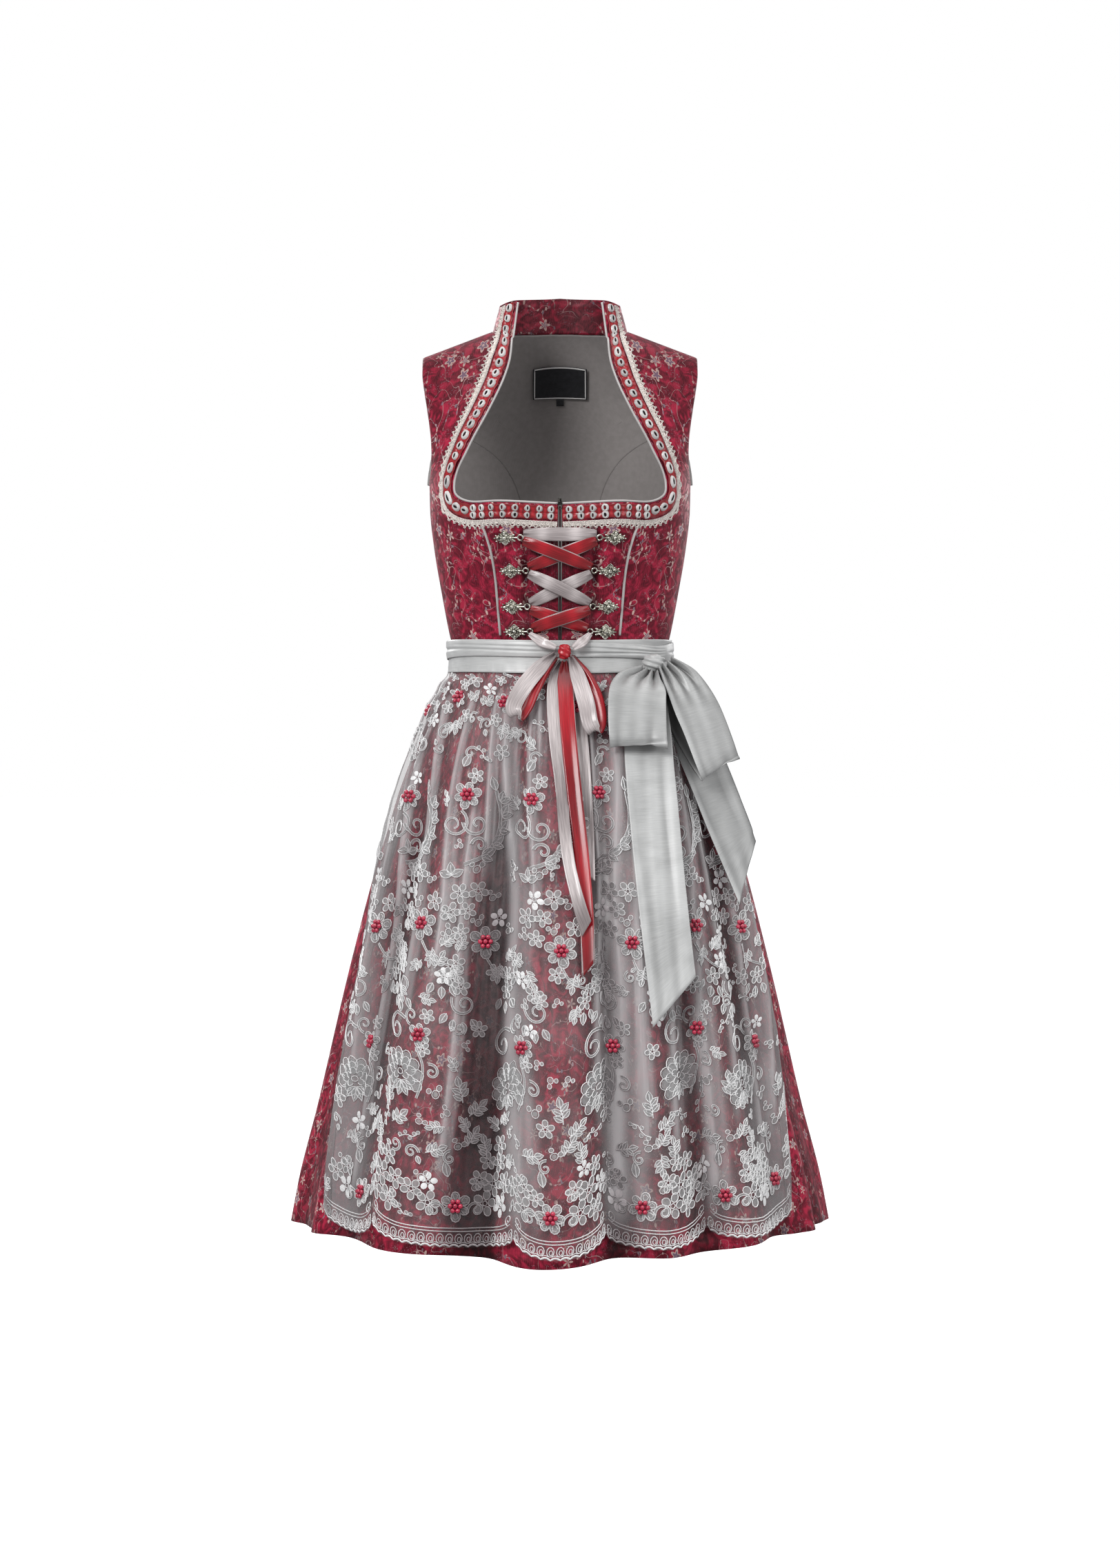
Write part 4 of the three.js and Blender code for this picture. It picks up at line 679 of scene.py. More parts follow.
def cast_finish(name, low, middle, high):
    """Cast tin alloy, antiqued: bright on the high places, dark where the patina was left."""
    material, node, shader, _ = finish_named(name, Metallic=1.0, Roughness=0.34)
    here = node("TexCoord").outputs["Object"]
    grime = node("TexNoise", {"Vector": here, "Scale": 330.0, "Detail": 3.0})
    colour = node("ValToRGB", {0: grime}, [(0.36, low), (0.47, middle), (0.6, high)])
    bumps = node("Bump", {"Height": grime, "Strength": 0.35, "Distance": 0.0004})
    wire(shader, Base_Color=colour, Normal=bumps)
    return material


def bead_finish(name, colour):
    """Moulded pearl bead: glossy, with a clear coat."""
    values = {"Roughness": 0.22, "Coat_Weight": 0.5, "Coat_Roughness": 0.08, "Specular_IOR_Level": 0.6}
    material, node, shader, _ = finish_named(name, **values)
    depth = node("TexNoise", {"Vector": node("TexCoord").outputs["Object"], "Scale": 220.0})
    shades = [(0.3, tone(colour, 1.0)), (0.75, tone(colour, 2.1))]
    wire(shader, Base_Color=node("ValToRGB", {0: depth}, shades))
    return material


@lru_cache(maxsize=None)
def finishes():
    """Every finish of the dress, made once."""
    look = bpy.context.scene.dirndl_look
    return SimpleNamespace(
        jacquard=jacquard_finish("burgundy_jacquard", look.jacquard, True),
        jacquard_back=jacquard_finish("jacquard_back", look.jacquard, False),
        # A copy of the jacquard darkened by painted shade, for the inner face of the collar.
        shaded_facing=jacquard_finish("shaded_collar_facing", look.jacquard, True, 0.62),
        lining=plain_cloth_finish("cotton_lining", "8a8583", "847f7d", 0.9, 0.85),
        label=plain_cloth_finish("woven_label_tape", "1c1c20", "101013", 0.7, 0.6),
        red=satin_finish("red_satin_ribbon", look.red_ribbon, "c2acac"),
        bow_red=satin_finish("red_bow_satin", look.red_ribbon, "c2acac", half_mm=8.7),
        red_plain=satin_finish("red_satin_face", look.red_ribbon, roughness=0.28),
        silver=satin_finish("silver_rose_satin", look.silver_ribbon),
        mouth=satin_finish("silver_mouth_satin", linear("e6e4e2"), roughness=0.25),
        piping=satin_finish("satin_piping", linear("c8c4c2"), roughness=0.4),
        taffeta=taffeta_finish(look.taffeta),
        organza=organza_finish(look.organza_cover),
        hem_organza=organza_finish(min(1.0, look.organza_cover + 0.3), "doubled_organza"),
        cord=cord_finish("silver_embroidery_cord", look.embroidery),
        stitch=cord_finish("silver_satin_stitch", tone(look.embroidery, 0.57), 0.53, 0.55, 0.46),
        crochet=cord_finish("cotton_crochet", linear("fbf3ec"), 0.57, 0.75),
        metal=cast_finish("antique_silver", "4d4a43", "aaa89c", "ecebe0"),
        dark_metal=cast_finish("blackened_tin", "1b1a19", "33312f", "55534f"),
        bead=bead_finish("wine_pearl", look.beads),
        # A near-black cloth in the slits of the frog mouths, a painted shadow for the shade inside them.
        shadow=plain_cloth_finish("mouth_painted_shadow", "241016", "12080b", 0.8, 0.8),
        zip=plain_cloth_finish("zip_tape", "3a1a20", "1e0c10", 0.5, 0.6),
    )


# ------------------------------------------------------------------ bodice and collar
PRINCESS = [
    *[(66.5, WAIST_Z + SEAM_GAP), (69, -325), (71, -300), (73.5, -272)],
    *[(78.5, -245), (87, -219), (99, -193)],
]
NECKLINE = [
    *[(112, -188.5), (120, -181), (121.5, -170), (118, -154), (108, -133)],
    *[(98, -113), (87, -93), (75, -69), (65, -46), (58.5, -23)],
]
COLLAR_SEAM_ANGLES = [135, 120, 105, 91]
NECKLINE_FRONT_Z = -197
ZIP_HALF_DEG = 0.9
UNDERARM_Z = -160
ARMHOLE = table(
    "level angle",
    (UNDERARM_Z, 90),
    (-159, 86),
    (-156, 82.5),
    (-150, 79),
    (-138, 75.5),
    (-118, 72),
    (-90, 69.8),
    (-60, 68.6),
    (-25, 67.9),
    (SHOULDER_Z, 67.6),
)
armhole = track(ARMHOLE, "level", "angle")
BACK_SEAM = [
    *[(36, WAIST_Z + SEAM_GAP), (37, -300), (39, -245), (44, -196), (53, -158)],
    *[(69, -130), (90, -112), (113, -101), (134, -94), (150, -88)],
]
SIDE_SEAM_LEVELS = [WAIST_Z + SEAM_GAP, -325, -297, -268, -238, -208, -186, -172, -164]
SIDE_BACK_LEVELS = [WAIST_Z + SEAM_GAP, -315, -275, -240, -215, -197, -184, -174, -166, UNDERARM_Z]
SEAM_ROLL, SEAM_ROLL_WIDTH = 0.55, 1.5  # how far the cloth turns in at a seam, and over what width


def panel_edges():
    """The edges of the bodice's panels, as (angle, level) on the wearer's left."""
    princess = [torso_at(x, z) for x, z in PRINCESS]
    neckline = [torso_at(x, z) for x, z in NECKLINE]
    collar_seam = [neck_seam(angle, NECK_CLEAR) for angle in COLLAR_SEAM_ANGLES]
    back_seam = [torso_at(x, z, True) for x, z in BACK_SEAM]
    top = back_seam[-1][1]
    back_seam[-1] = (180 - armhole(top), top)
    arm_levels = [row["level"] for row in ARMHOLE[:9]] + [-9, 3, 9.5, SHOULDER_Z]
    return SimpleNamespace(
        princess=princess,
        zip=[(ZIP_HALF_DEG, level) for level in [*[p[1] for p in princess[:-1]], NECKLINE_FRONT_Z]],
        front_inner=[*princess, *neckline, *collar_seam],
        front_outer=[*[(90, z) for z in SIDE_SEAM_LEVELS], *[(armhole(z), z) for z in arm_levels]],
        side_back=[(90, z) for z in SIDE_BACK_LEVELS],
        back_seam=back_seam,
        back_edge=[*back_seam, *[(180 - armhole(z), z) for z in (-56, -27, -8, 5, SHOULDER_Z)]],
    )


def resampled(edge, places):
    """An edge read off at places from 0 to 1, on a smooth curve through its stops."""
    stops = tracks(table("row angle level", *[(n, *stop) for n, stop in enumerate(edge)]), "row")
    return [(stops.angle(t * (len(edge) - 1)), stops.level(t * (len(edge) - 1))) for t in places]


def crowded(count):
    """Places from 0 to 1 that crowd at both ends, where the cloth turns into its seams."""
    return [0, 0.008, 0.02, 0.036, *evenly(count, 0.055, 0.945), 0.964, 0.98, 0.992, 1]


def rolled(sheet):
    """The sheet with its cloth turned in a little along its sides."""
    runs = [run_along(row) for row in sheet.rows]

    def drop(i, j):
        run = runs[i]
        return -SEAM_ROLL * (bump(run[j], 0, SEAM_ROLL_WIDTH) + bump(run[-1] - run[j], 0, SEAM_ROLL_WIDTH))

    return Sheet(sheet.moved(drop))


def panel_sheet(left, right, rows, columns, side, top_edge=False, off=0.0):
    """A panel of the bodice between two edges. side is 1 for the wearer's left and -1 for the right."""
    places = evenly(rows)
    across = crowded(columns)
    left, right = resampled(left, places), resampled(right, places)
    turn = 1 if right[0][0] > left[0][0] else -1
    last_left, last_right = left[-1], right[-1]
    grid = []
    for t, (a, low), (b, high) in zip(places, left, right):
        inset = turn * math.degrees(SEAM_GAP / 2 / torso.half(low))
        row = []
        for s in across:
            angle = lerp(a, b, s)
            if top_edge:
                level = lerp(last_left[1], last_right[1], s)
                bow = 180 - armhole(level) - lerp(last_left[0], last_right[0], s)
                angle += bow * clamp((t - 0.88) / 0.12)
            row.append(torso_point(side * (angle + inset * (1 - 2 * s)), lerp(low, high, s)))
        grid.append(row)
    sheet = Sheet(grid)
    return Sheet(sheet.moved(off)) if off else rolled(sheet)


def centre_back_sheet(edges, off=0.0):
    """The centre back, with both shoulders: from the waist to the neck and shoulder seams."""
    shoulder = [(turn, SHOULDER_Z) for turn in (67.6, 54.5, 41.5)]
    neck = [neck_seam(angle, NECK_CLEAR) for angle in (90, 72, 54, 36, 18, 0)]
    neck = [(180 - angle, SHOULDER_Z if n == 0 else level) for n, (angle, level) in enumerate(neck)]
    top = resampled([*shoulder, *neck], evenly(41))
    there, back = [(*place, 1) for place in top], [(*place, -1) for place in reversed(top[:-1])]
    top = there + back
    grid = []
    for angle, level in resampled(edges.back_edge, evenly(84)):
        share = (180 - angle) / shoulder[0][0]
        height = (level - WAIST_Z) / (SHOULDER_Z - WAIST_Z)
        inset = 1 - math.degrees(SEAM_GAP / 2 / 150) / 60
        place = lambda turn, side: 180 - side * turn * share * inset
        grid.append([torso_point(place(t, s), lerp(WAIST_Z + SEAM_GAP, z, height)) for t, z, s in top])
    sheet = Sheet(grid)
    return Sheet(sheet.moved(off)) if off else rolled(sheet)


def bodice_shade(point):
    """The painted shade under the lacing, in the creases that the hooks pull, and on top of the shoulders."""
    pulled = smooth(point.z, -352, -338) * (1 - smooth(point.z, -228, -218))
    crease = bump(abs(point.x), CREASE.x, 7.5) * (0.65 + 0.35 * math.cos((point.z + 233) / 5.8))
    laced = 0.45 * (1 - smooth(abs(point.x), 26, 40))
    return max(pulled * max(crease, laced), 0.5 * smooth(point.z, -120, -20))


def make_bodice():
    """The panels of the bodice, left and right, the centre back, and the lining of the back."""
    look, edges = finishes(), panel_edges()
    jacquard, lining = (look.jacquard, look.lining), (look.lining,)
    thick, thin = thickness("cloth"), thickness("thin_cloth")
    for side, name in ((1, "left"), (-1, "right")):
        panels = {
            "centre_front": panel_sheet(edges.zip, edges.princess, 72, 26, side),
            "side_front": panel_sheet(edges.front_inner, edges.front_outer, 120, 26, side),
            "side_back": panel_sheet(edges.side_back, edges.back_seam, 72, 22, side, True),
        }
        for part, sheet in panels.items():
            title, node, under = f"{part}_cloth_{name}", f"{part}_{name}", f"lining_side_back_{name}"
            piece = sew(title, sheet, thick, jacquard, "jacquard", [node], "stretched", [under])
            # Painted shade under the lacing, in the creases by the hooks and on the shoulders.
            shade_points(piece, [bodice_shade(point) for row in sheet.rows for point in row])
        inner = panel_sheet(edges.side_back, edges.back_seam, 40, 14, side, True, -LINING_UNDER)
        title, node, over = f"side_back_lining_{name}", f"lining_side_back_{name}", f"side_back_{name}"
        sew(title, inner, thin, lining, "lining", [node], "stretched", [over])
    back, inner = centre_back_sheet(edges), centre_back_sheet(edges, -LINING_UNDER)
    outer_node, inner_node = "centre_back", "lining_centre_back"
    sew("centre_back_cloth", back, thick, jacquard, "jacquard", [outer_node], "stretched", [inner_node])
    sew("centre_back_lining", inner, thin, lining, "lining", [inner_node], "stretched", [outer_node])


COLLAR_STITCH = 0.8  # the row of stitches below the collar's edge


def make_collar():
    """The stand collar, in jacquard on both faces, the inner one darkened by painted shade."""
    look = finishes()
    angles = evenly(97, -COLLAR.end, COLLAR.end)
    levels = [0, 0.06, 0.15, 0.3, 0.45, 0.6, 0.7, 0.76, COLLAR_STITCH, 0.84, 0.9, 0.96, 1]
    sheet = Sheet([[collar_point(angle, up) for angle in angles] for up in levels])
    pressed = Sheet(sheet.moved(lambda i, j: -0.35 * bump(levels[i], COLLAR_STITCH, 0.03)))
    cloth = (look.jacquard, look.shaded_facing)
    sew("collar_cloth", pressed, thickness("cloth"), cloth, "jacquard", ["collar"], "folded", ["centre_back"])


# ------------------------------------------------------------------ curves and places on a surface
def curve_through(points):
    """A smooth curve through points, read at t from 0 to 1: a centripetal Catmull-Rom spline."""
    last = len(points) - 1
    run = [2 * points[0] - points[1], *points, 2 * points[-1] - points[-2]]

    def at(t):
        k = min(int(t * last), last - 1)
        w = t * last - k
        a, b, c, d = run[k : k + 4]
        before, width, after = (max(math.sqrt((q - p).length), 1e-4) for p, q in ((a, b), (b, c), (c, d)))
        start = ((b - a) / before - (c - a) / (before + width) + (c - b) / width) * width
        end = ((c - b) / width - (d - b) / (width + after) + (d - c) / after) * width
        return b + w * start + w**2 * (3 * (c - b) - 2 * start - end) + w**3 * (2 * (b - c) + start + end)

    return at


ON_TORSO = SimpleNamespace(point=torso_point, low=WAIST_Z, high=SHOULDER_Z - 0.05, step=0.4)
ON_COLLAR = SimpleNamespace(point=collar_point, low=0, high=1, step=0.01)


def tangents(surface, a, b):
    """The two directions of a surface at a place: along it and up it."""
    low, high = max(surface.low, b - surface.step), min(surface.high, b + surface.step)
    along = (surface.point(a + 0.3, b) - surface.point(a - 0.3, b)) / 0.6
    return along, (surface.point(a, high) - surface.point(a, low)) / (high - low)


def out_of(surface, a, b):
    """The way out of the cloth."""
    along, up = tangents(surface, a, clamp(b, surface.low, surface.high))
    point = surface.point(a, b)
    normal = along.cross(up).normalized()
    return -normal if normal.dot(Vector((point.x, point.y, 30 if point.z > 0 else 0))) < 0 else normal


def lifted(surface, a, b, off):
    """A place on a surface, moved out of it."""
    return surface.point(a, b) + out_of(surface, a, b) * off


def walk(surface, a, b, direction, distance, hops=4):
    """Walks a distance over the surface in the direction of a vector."""
    for _ in range(hops):
        along, up = tangents(surface, a, b)
        aa, ab, bb = along.dot(along), along.dot(up), up.dot(up)
        da, db = direction.dot(along), direction.dot(up)
        hop = distance / hops / (aa * bb - ab * ab)
        a += hop * (da * bb - db * ab)
        b = clamp(b + hop * (db * aa - da * ab), surface.low, surface.high)
    return a, b


# ------------------------------------------------------------------ trim round the neckline
TRIM_START_X = 2.2
RUCHE_PITCH = 13.6
RUCHE_START, RUCHE_WIDTH = 1.5, 16
RUCHE_MIDDLE = RUCHE_START + RUCHE_WIDTH / 2
LACE_START = RUCHE_START + RUCHE_WIDTH + 1.7
FINER = 5  # rows of the trim in half a pleat
TRIM_ROW = RUCHE_PITCH / 2 / FINER  # distance between the rows
TRIM_STEP = 2
TRIM_COLUMNS = evenly(17, 0, 16 * TRIM_STEP)  # distances from the free edge
SEAMWARD = Vector((0.62, 0.78, 0.06))  # the way across the trim where it meets the collar


def even_stations(path, spacing, finer=1):
    """Places along a path of (surface, a, b, point) at even distances, each with the path's direction."""
    run = run_along([stop[3] for stop in path])
    count = round(run[-1] / spacing) * finer
    stations = []
    for n in range(count + 1):
        k = max(1, bisect_left(run, n / count * run[-1] - 1e-6))
        surface, a, b, point = path[0 if n == 0 else min(k, len(path) - 1)]
        k = min(k, len(path) - 1)
        stations.append((surface, a, b, point, (path[k][3] - path[k - 1][3]).normalized()))
    return stations


@lru_cache(maxsize=None)
def trim_stations(spacing, finer=1):
    """The free edge from the zip to the top of the collar, as two runs of stations."""
    angle, level = neck_seam(COLLAR.end, NECK_CLEAR)
    seam = torso_point(angle, level)
    stops = [(TRIM_START_X, NECKLINE_FRONT_Z), (36, NECKLINE_FRONT_Z + 1.4), (70, NECKLINE_FRONT_Z + 2.8)]
    stops += [PRINCESS[-1], *NECKLINE, (seam.x, seam.z - 1)]
    seen = curve_through([Vector((x, 0, z)) for x, z in stops])
    path = []
    for t in evenly(401):
        p = seen(t)
        a, b = torso_at(p.x, p.z)
        path.append((ON_TORSO, a, b, torso_point(a, b)))
    ends = [(ON_COLLAR, COLLAR.end, up, collar_point(COLLAR.end, up)) for up in evenly(40, 0.04, 0.97)]
    return even_stations(path, spacing, finer), even_stations(ends, spacing, finer)


def across_trim(station, distance):
    """The place at a distance from the free edge, straight across the trim."""
    surface, a, b, point, along = station
    if surface is ON_COLLAR:
        return a - math.degrees(distance / COLLAR.turn), b
    across = along.cross(out_of(surface, a, b)).normalized()
    direction = across.lerp(SEAMWARD, smooth(point.z, -42, -4)).normalized()
    return walk(surface, a, b, direction, distance)


@lru_cache(maxsize=None)
def trim_sheet(side):
    """The cloth beside the free edge: a row for each station, and columns at even distances from the edge.

    With it come, for each row, its place in pleats and its distance along the edge.
    """
    if side < 0:
        sheet, pleats = trim_sheet(1)
        rows = [[Vector((-p.x, p.y, p.z)) for p in row] for row in sheet.rows]
        return Sheet(rows), pleats
    torso_run, collar_run = trim_stations(RUCHE_PITCH / 2, FINER)
    rows, pleats = [], []
    for first, run in ((0, torso_run), ((len(torso_run) - 1) // FINER + 1, collar_run)):
        for n, station in enumerate(run):
            surface = station[0]
            places = [across_trim(station, distance) for distance in TRIM_COLUMNS]
            rows.append([surface.point(*place) for place in places])
            pleats.append((first + n / FINER) / 2)
    return Sheet(rows), pleats


class Stitches:
    """One mesh of raised cords, low domes and narrow bands, sewn on a sheet.

    place(x, y, off) gives a point on the sheet and the way out of it.
    """

    def __init__(self, place):
        self.place = place
        self.points = []
        self.faces = []
        self.kinds = []

    def face(self, corners, kind):
        self.faces.append(corners)
        self.kinds.append(kind)

    def cord(self, path, width=1.1, height=0.8, base=0.0, closed=False, kind=0):
        """A cord with a three-sided section along a list of (x, y)."""
        count = len(path)
        start = len(self.points)
        for n, (x, y) in enumerate(path):
            before = path[n - 1] if n or closed else path[0]
            after = path[(n + 1) % count] if n < count - 1 or closed else path[-1]
            dx, dy = after[0] - before[0], after[1] - before[1]
            length = math.hypot(dx, dy) or 1
            dx, dy = dx / length * width / 2, dy / length * width / 2
            for px, py, off in ((x - dy, y + dx, base), (x + dy, y - dx, base), (x, y, base + height)):
                self.points.append(self.place(px, py, off)[0])
        for n in range(count if closed else count - 1):
            a, b = start + 3 * n, start + 3 * ((n + 1) % count)
            self.face((a, b, b + 2, a + 2), kind)
            self.face((a + 2, b + 2, b + 1, a + 1), kind)
            self.face((a + 1, b + 1, b, a), kind)
        if not closed:
            end = start + 3 * (count - 1)
            self.face((start, start + 2, start + 1), kind)
            self.face((end, end + 1, end + 2), kind)

    def dome(self, outline, height=0.5, base=0.05, kind=1):
        """A low filled shape: a closed outline, with its middle at full height."""
        count = len(outline)
        start = len(self.points)
        middle = sum(x for x, _ in outline) / count, sum(y for _, y in outline) / count
        self.points += [self.place(x, y, base)[0] for x, y in outline]
        self.points.append(self.place(*middle, base + height)[0])
        self.points.append(self.place(*middle, base - 0.15)[0])
        for n in range(count):
            a, b = start + n, start + (n + 1) % count
            self.face((a, b, start + count), kind)
            self.face((b, a, start + count + 1), kind)

    def take(self, other):
        """Adds the stitches of another mesh to this one."""
        start = len(self.points)
        self.points += other.points
        self.faces += [tuple(start + k for k in face) for face in other.faces]
        self.kinds += other.kinds

    def band(self, path, width, height=0.35, base=0.05, kind=1):
        """A flat raised band between two cords' places."""
        self.cord(path, width, height, base, kind=kind)

    def made(self, name, finish):
        piece = mesh_piece(name, self.points, self.faces, None, finish, smooth_shading=False)
        piece.data.polygons.foreach_set("material_index", self.kinds)
        return face_outwards(piece)


def shifted(x, y, turn):
    """Says where local places lie when they are turned and moved to x, y."""
    c, s = cos(turn), sin(turn)
    return lambda a, b: (x + a * c - b * s, y + a * s + b * c)


def ring(x, y, rx, ry=None, turn=0.0, count=12, start=0.0, sweep=360.0):
    """Places round an ellipse, or along a part of it."""
    ry = rx if ry is None else ry
    last = count if sweep >= 360 else count - 1
    angles = [start + sweep * n / last for n in range(count)]
    move = shifted(x, y, turn)
    return [move(rx * cos(angle), ry * sin(angle)) for angle in angles]


RUCHE_THICK, RUCHE_EASE = 0.7, 1.35
MOUTH_RINGS = ((1.0, 0.5), (0.88, 2.4), (0.7, 3.1), (0.52, 2.5), (0.42, 0.6))
MOUTH_SIDES = 18


def add_mouth(made, row, distance, along, across, turn):
    """One frog mouth: a puffed oval of satin, with its slit in a dark painted shadow. along and across are
    its half sizes.
    """
    start = len(made.points)
    for scale, height in MOUTH_RINGS:
        narrow = (1, scale) if along > across else (scale, 1)
        for x, y in ring(0, 0, scale * along * narrow[0], scale * across * narrow[1], turn, MOUTH_SIDES):
            made.points.append(made.place(row + x, distance + y, height)[0])
    made.points.append(made.place(row, distance, 0.3)[0])
    # The innermost wall and the middle of the slit take the third material, the painted shadow.
    for k in range(len(MOUTH_RINGS) - 1):
        for n in range(MOUTH_SIDES):
            a, b = start + k * MOUTH_SIDES + n, start + k * MOUTH_SIDES + (n + 1) % MOUTH_SIDES
            made.face((a, b, b + MOUTH_SIDES, a + MOUTH_SIDES), 2 if k == len(MOUTH_RINGS) - 2 else 1)
    last = start + (len(MOUTH_RINGS) - 1) * MOUTH_SIDES
    for n in range(MOUTH_SIDES):
        made.face((last + n, last + (n + 1) % MOUTH_SIDES, last + MOUTH_SIDES), 2)


def make_ruche():
    """The pinched satin band with its frog mouths, on both sides of the neckline."""
    look = finishes()
    across = evenly(15, RUCHE_START, RUCHE_START + RUCHE_WIDTH)
    for side, name in ((1, "left"), (-1, "right")):
        sheet, pleats = trim_sheet(side)

        def band_height(pleat, distance):
            opened = 0.5 - 0.5 * math.cos(2 * math.pi * pleat)
            out = abs(distance - RUCHE_MIDDLE) / (RUCHE_WIDTH / 2)
            turn = math.atan2(distance - RUCHE_MIDDLE, 9 * (pleat % 1 - 0.5))
            rays = 0.45 * math.cos(5 * turn + 3 * uneven(int(pleat)))
            return 1.2 + lerp(1.5 * out, 0.4 + 0.3 * out, opened) + rays * (1 - 0.4 * opened)

        rows = []
        for i, pleat in enumerate(pleats):
            narrow = 1 - 0.12 * (0.5 + 0.5 * math.cos(2 * math.pi * pleat))
            row = []
            for distance in across:
                at = RUCHE_MIDDLE + (distance - RUCHE_MIDDLE) * narrow
                row.append(sheet.at(i, at / TRIM_STEP, band_height(pleat, at))[0])
            rows.append(row)
        title, satin, nodes = f"ruche_band_{name}", (look.red_plain,), [f"ruche_{name}"]
        sewn = "gathered", [f"centre_front_{name}", f"side_front_{name}"]
        piece = sew(title, Sheet(rows), RUCHE_THICK, satin, "red_satin", nodes, *sewn, ease=RUCHE_EASE)
        # Painted shade: the band is darkened where it dips beside the mouths and at its edges, and left
        # bright on the folds between.
        shades = []
        for pleat in pleats:
            beside = 0.8 * bump(abs(pleat % 1 - 0.5), 0.3, 0.1)
            dips = [beside * bump(at, RUCHE_MIDDLE, 7) for at in across]
            edges = [0.6 * bump(abs(at - RUCHE_MIDDLE), 7, 2) for at in across]
            shades += map(max, dips, edges)
        shade_points(piece, shades)

        # Mouths are placed by distance along the edge, in the sheet's rows.
        made = Stitches(lambda s, d, off: sheet.at(s / TRIM_ROW, d / TRIM_STEP, off + 1.3))
        lip_shades = []
        for i, pleat in enumerate(pleats):
            if abs(pleat % 1 - 0.5) > 1e-6:
                continue
            x, z = sheet.rows[i][0].x, sheet.rows[i][0].z
            size = 0.92 + 0.18 * uneven(i + 40 * side)
            turn = 16 * (uneven(3 * i) - 0.5)
            if abs(x) < 100 and z < -188:
                for up in (-1, 1):
                    add_mouth(made, i * TRIM_ROW, RUCHE_MIDDLE + 3.8 * up, 3.8 * size, 4.0 * size, turn)
            else:
                add_mouth(made, i * TRIM_ROW, RUCHE_MIDDLE - 0.4, 5.5 * size, 4.7 * size, turn)
            # Painted shade: each mouth's lips are darkened by a random amount.
            lip_shades += [0.4 * uneven(5 * i + side)] * (len(made.points) - len(lip_shades))
        piece = made.made(f"frog_mouths_{name}", (look.red_plain, look.mouth, look.shadow))
        piece.data.polygons.foreach_set("use_smooth", [True] * len(piece.data.polygons))
        shade_points(piece, lip_shades)
        settle(piece, "silver_ribbon")


LACE_THICK = 0.5


def make_lace():
    """Crocheted scallops beside the ruche: a header, two rows of loops and picots."""
    look = finishes()
    for side, name in ((1, "left"), (-1, "right")):
        sheet, pleats = trim_sheet(side)
        made = Stitches(lambda s, d, off: sheet.at(s / TRIM_ROW, d / TRIM_STEP, off + 0.7))
        length = (len(pleats) - 1) * TRIM_ROW
        header = [
            (s, LACE_START + 0.9 + 0.5 * math.sin(s * 1.9))
            for s in evenly(int(length / 1.3), 0.5, length - 0.5)
        ]
        made.cord(header, 1.7, 1.3)
        made.cord([(s, d + 1.7) for s, d in header], 1.3, 1.0)
        count = round(length / 6.6)
        for n in range(count):
            middle = (n + 0.5) * length / count
            half = length / count / 2
            deep = 5.2 + 2.2 * uneven(n + 7 * side)
            made.cord(ring(middle, LACE_START + 1.5, half, deep, 0, 9, 0, 180), 1.4, 1.2)
            made.cord(ring(middle, LACE_START + 1.5, half * 0.55, deep * 0.55, 0, 7, 0, 180), 1.2, 0.9)
            for turn in (35, 90, 145):
                reach = deep + 0.9
                x, y = middle + half * cos(turn), LACE_START + 1.5 + reach * sin(turn)
                made.cord(ring(x, y, 1.1, 1.1, 0, 5), 0.9, 1.0, closed=True)
        settle(made.made(f"lace_loops_{name}", (look.crochet,)), "lace", f"lace_edging_{name}")
        places = [d / TRIM_STEP for d in evenly(4, LACE_START, LACE_START + 5.5)]
        ground = Sheet([[sheet.at(i, place, 0.95)[0] for place in places] for i in range(len(pleats))])
        below = [f"centre_front_{name}", f"side_front_{name}"]
        sew(f"lace_ground_{name}", ground, LACE_THICK, (look.crochet,), "lace", [], "laid", below)


PIPING_R = 1.3
PIPING_SIDES = 10


def piping_piece(name, places, finish):
    """A round cord covered with bias-cut satin, along places of (point, out, across)."""
    points = []
    for point, out, across in places:
        for n in range(PIPING_SIDES):
            turn = 360 * n / PIPING_SIDES
            points.append(point + out * PIPING_R * cos(turn) + across * PIPING_R * sin(turn))
    faces = []
    for i in range(len(places) - 1):
        for n in range(PIPING_SIDES):
            a, b = i * PIPING_SIDES + n, i * PIPING_SIDES + (n + 1) % PIPING_SIDES
            faces.append((a, b, b + PIPING_SIDES, a + PIPING_SIDES))
    faces.append(tuple(range(PIPING_SIDES)))
    faces.append(tuple(reversed(range((len(places) - 1) * PIPING_SIDES, len(points)))))
    uvs = [(n % PIPING_SIDES * 0.8 * MM, n // PIPING_SIDES * 2 * MM) for n in range(len(points))]
    return face_outwards(mesh_piece(name, points, faces, uvs, (finish,)))


def mirrored_places(places):
    """Places on the wearer's left, turned over to the right."""
    flip = Vector((-1, 1, 1))
    return [(point * flip, out * flip, across * flip) for point, out, across in places]


def make_piping():
    """The cords inside the neckline and on the princess seams."""
    look = finishes()
    neck = []
    for run in trim_stations(3.0):
        for surface, a, b, _, along in run:
            out = out_of(surface, a, b)
            across = along.cross(out).normalized()
            neck.append((lifted(surface, a, b, -0.5) - across * (PIPING_R + 0.1), out, across))
    seen = curve_through([Vector((x, 0, z)) for x, z in PRINCESS])
    princess = []
    for t in evenly(90):
        p = seen(t)
        if -342 < p.z < -218:
            a, b = torso_at(p.x, p.z)
            princess.append((lifted(ON_TORSO, a, b, 0.75), out_of(ON_TORSO, a, b), Vector((1, 0, 0))))
    for name, places in (("neck_piping", neck), ("princess_piping", princess)):
        for side, shown in (("left", places), ("right", mirrored_places(places))):
            settle(piping_piece(f"{name}_cord_{side}", shown, look.piping), "piping", f"{name}_{side}")


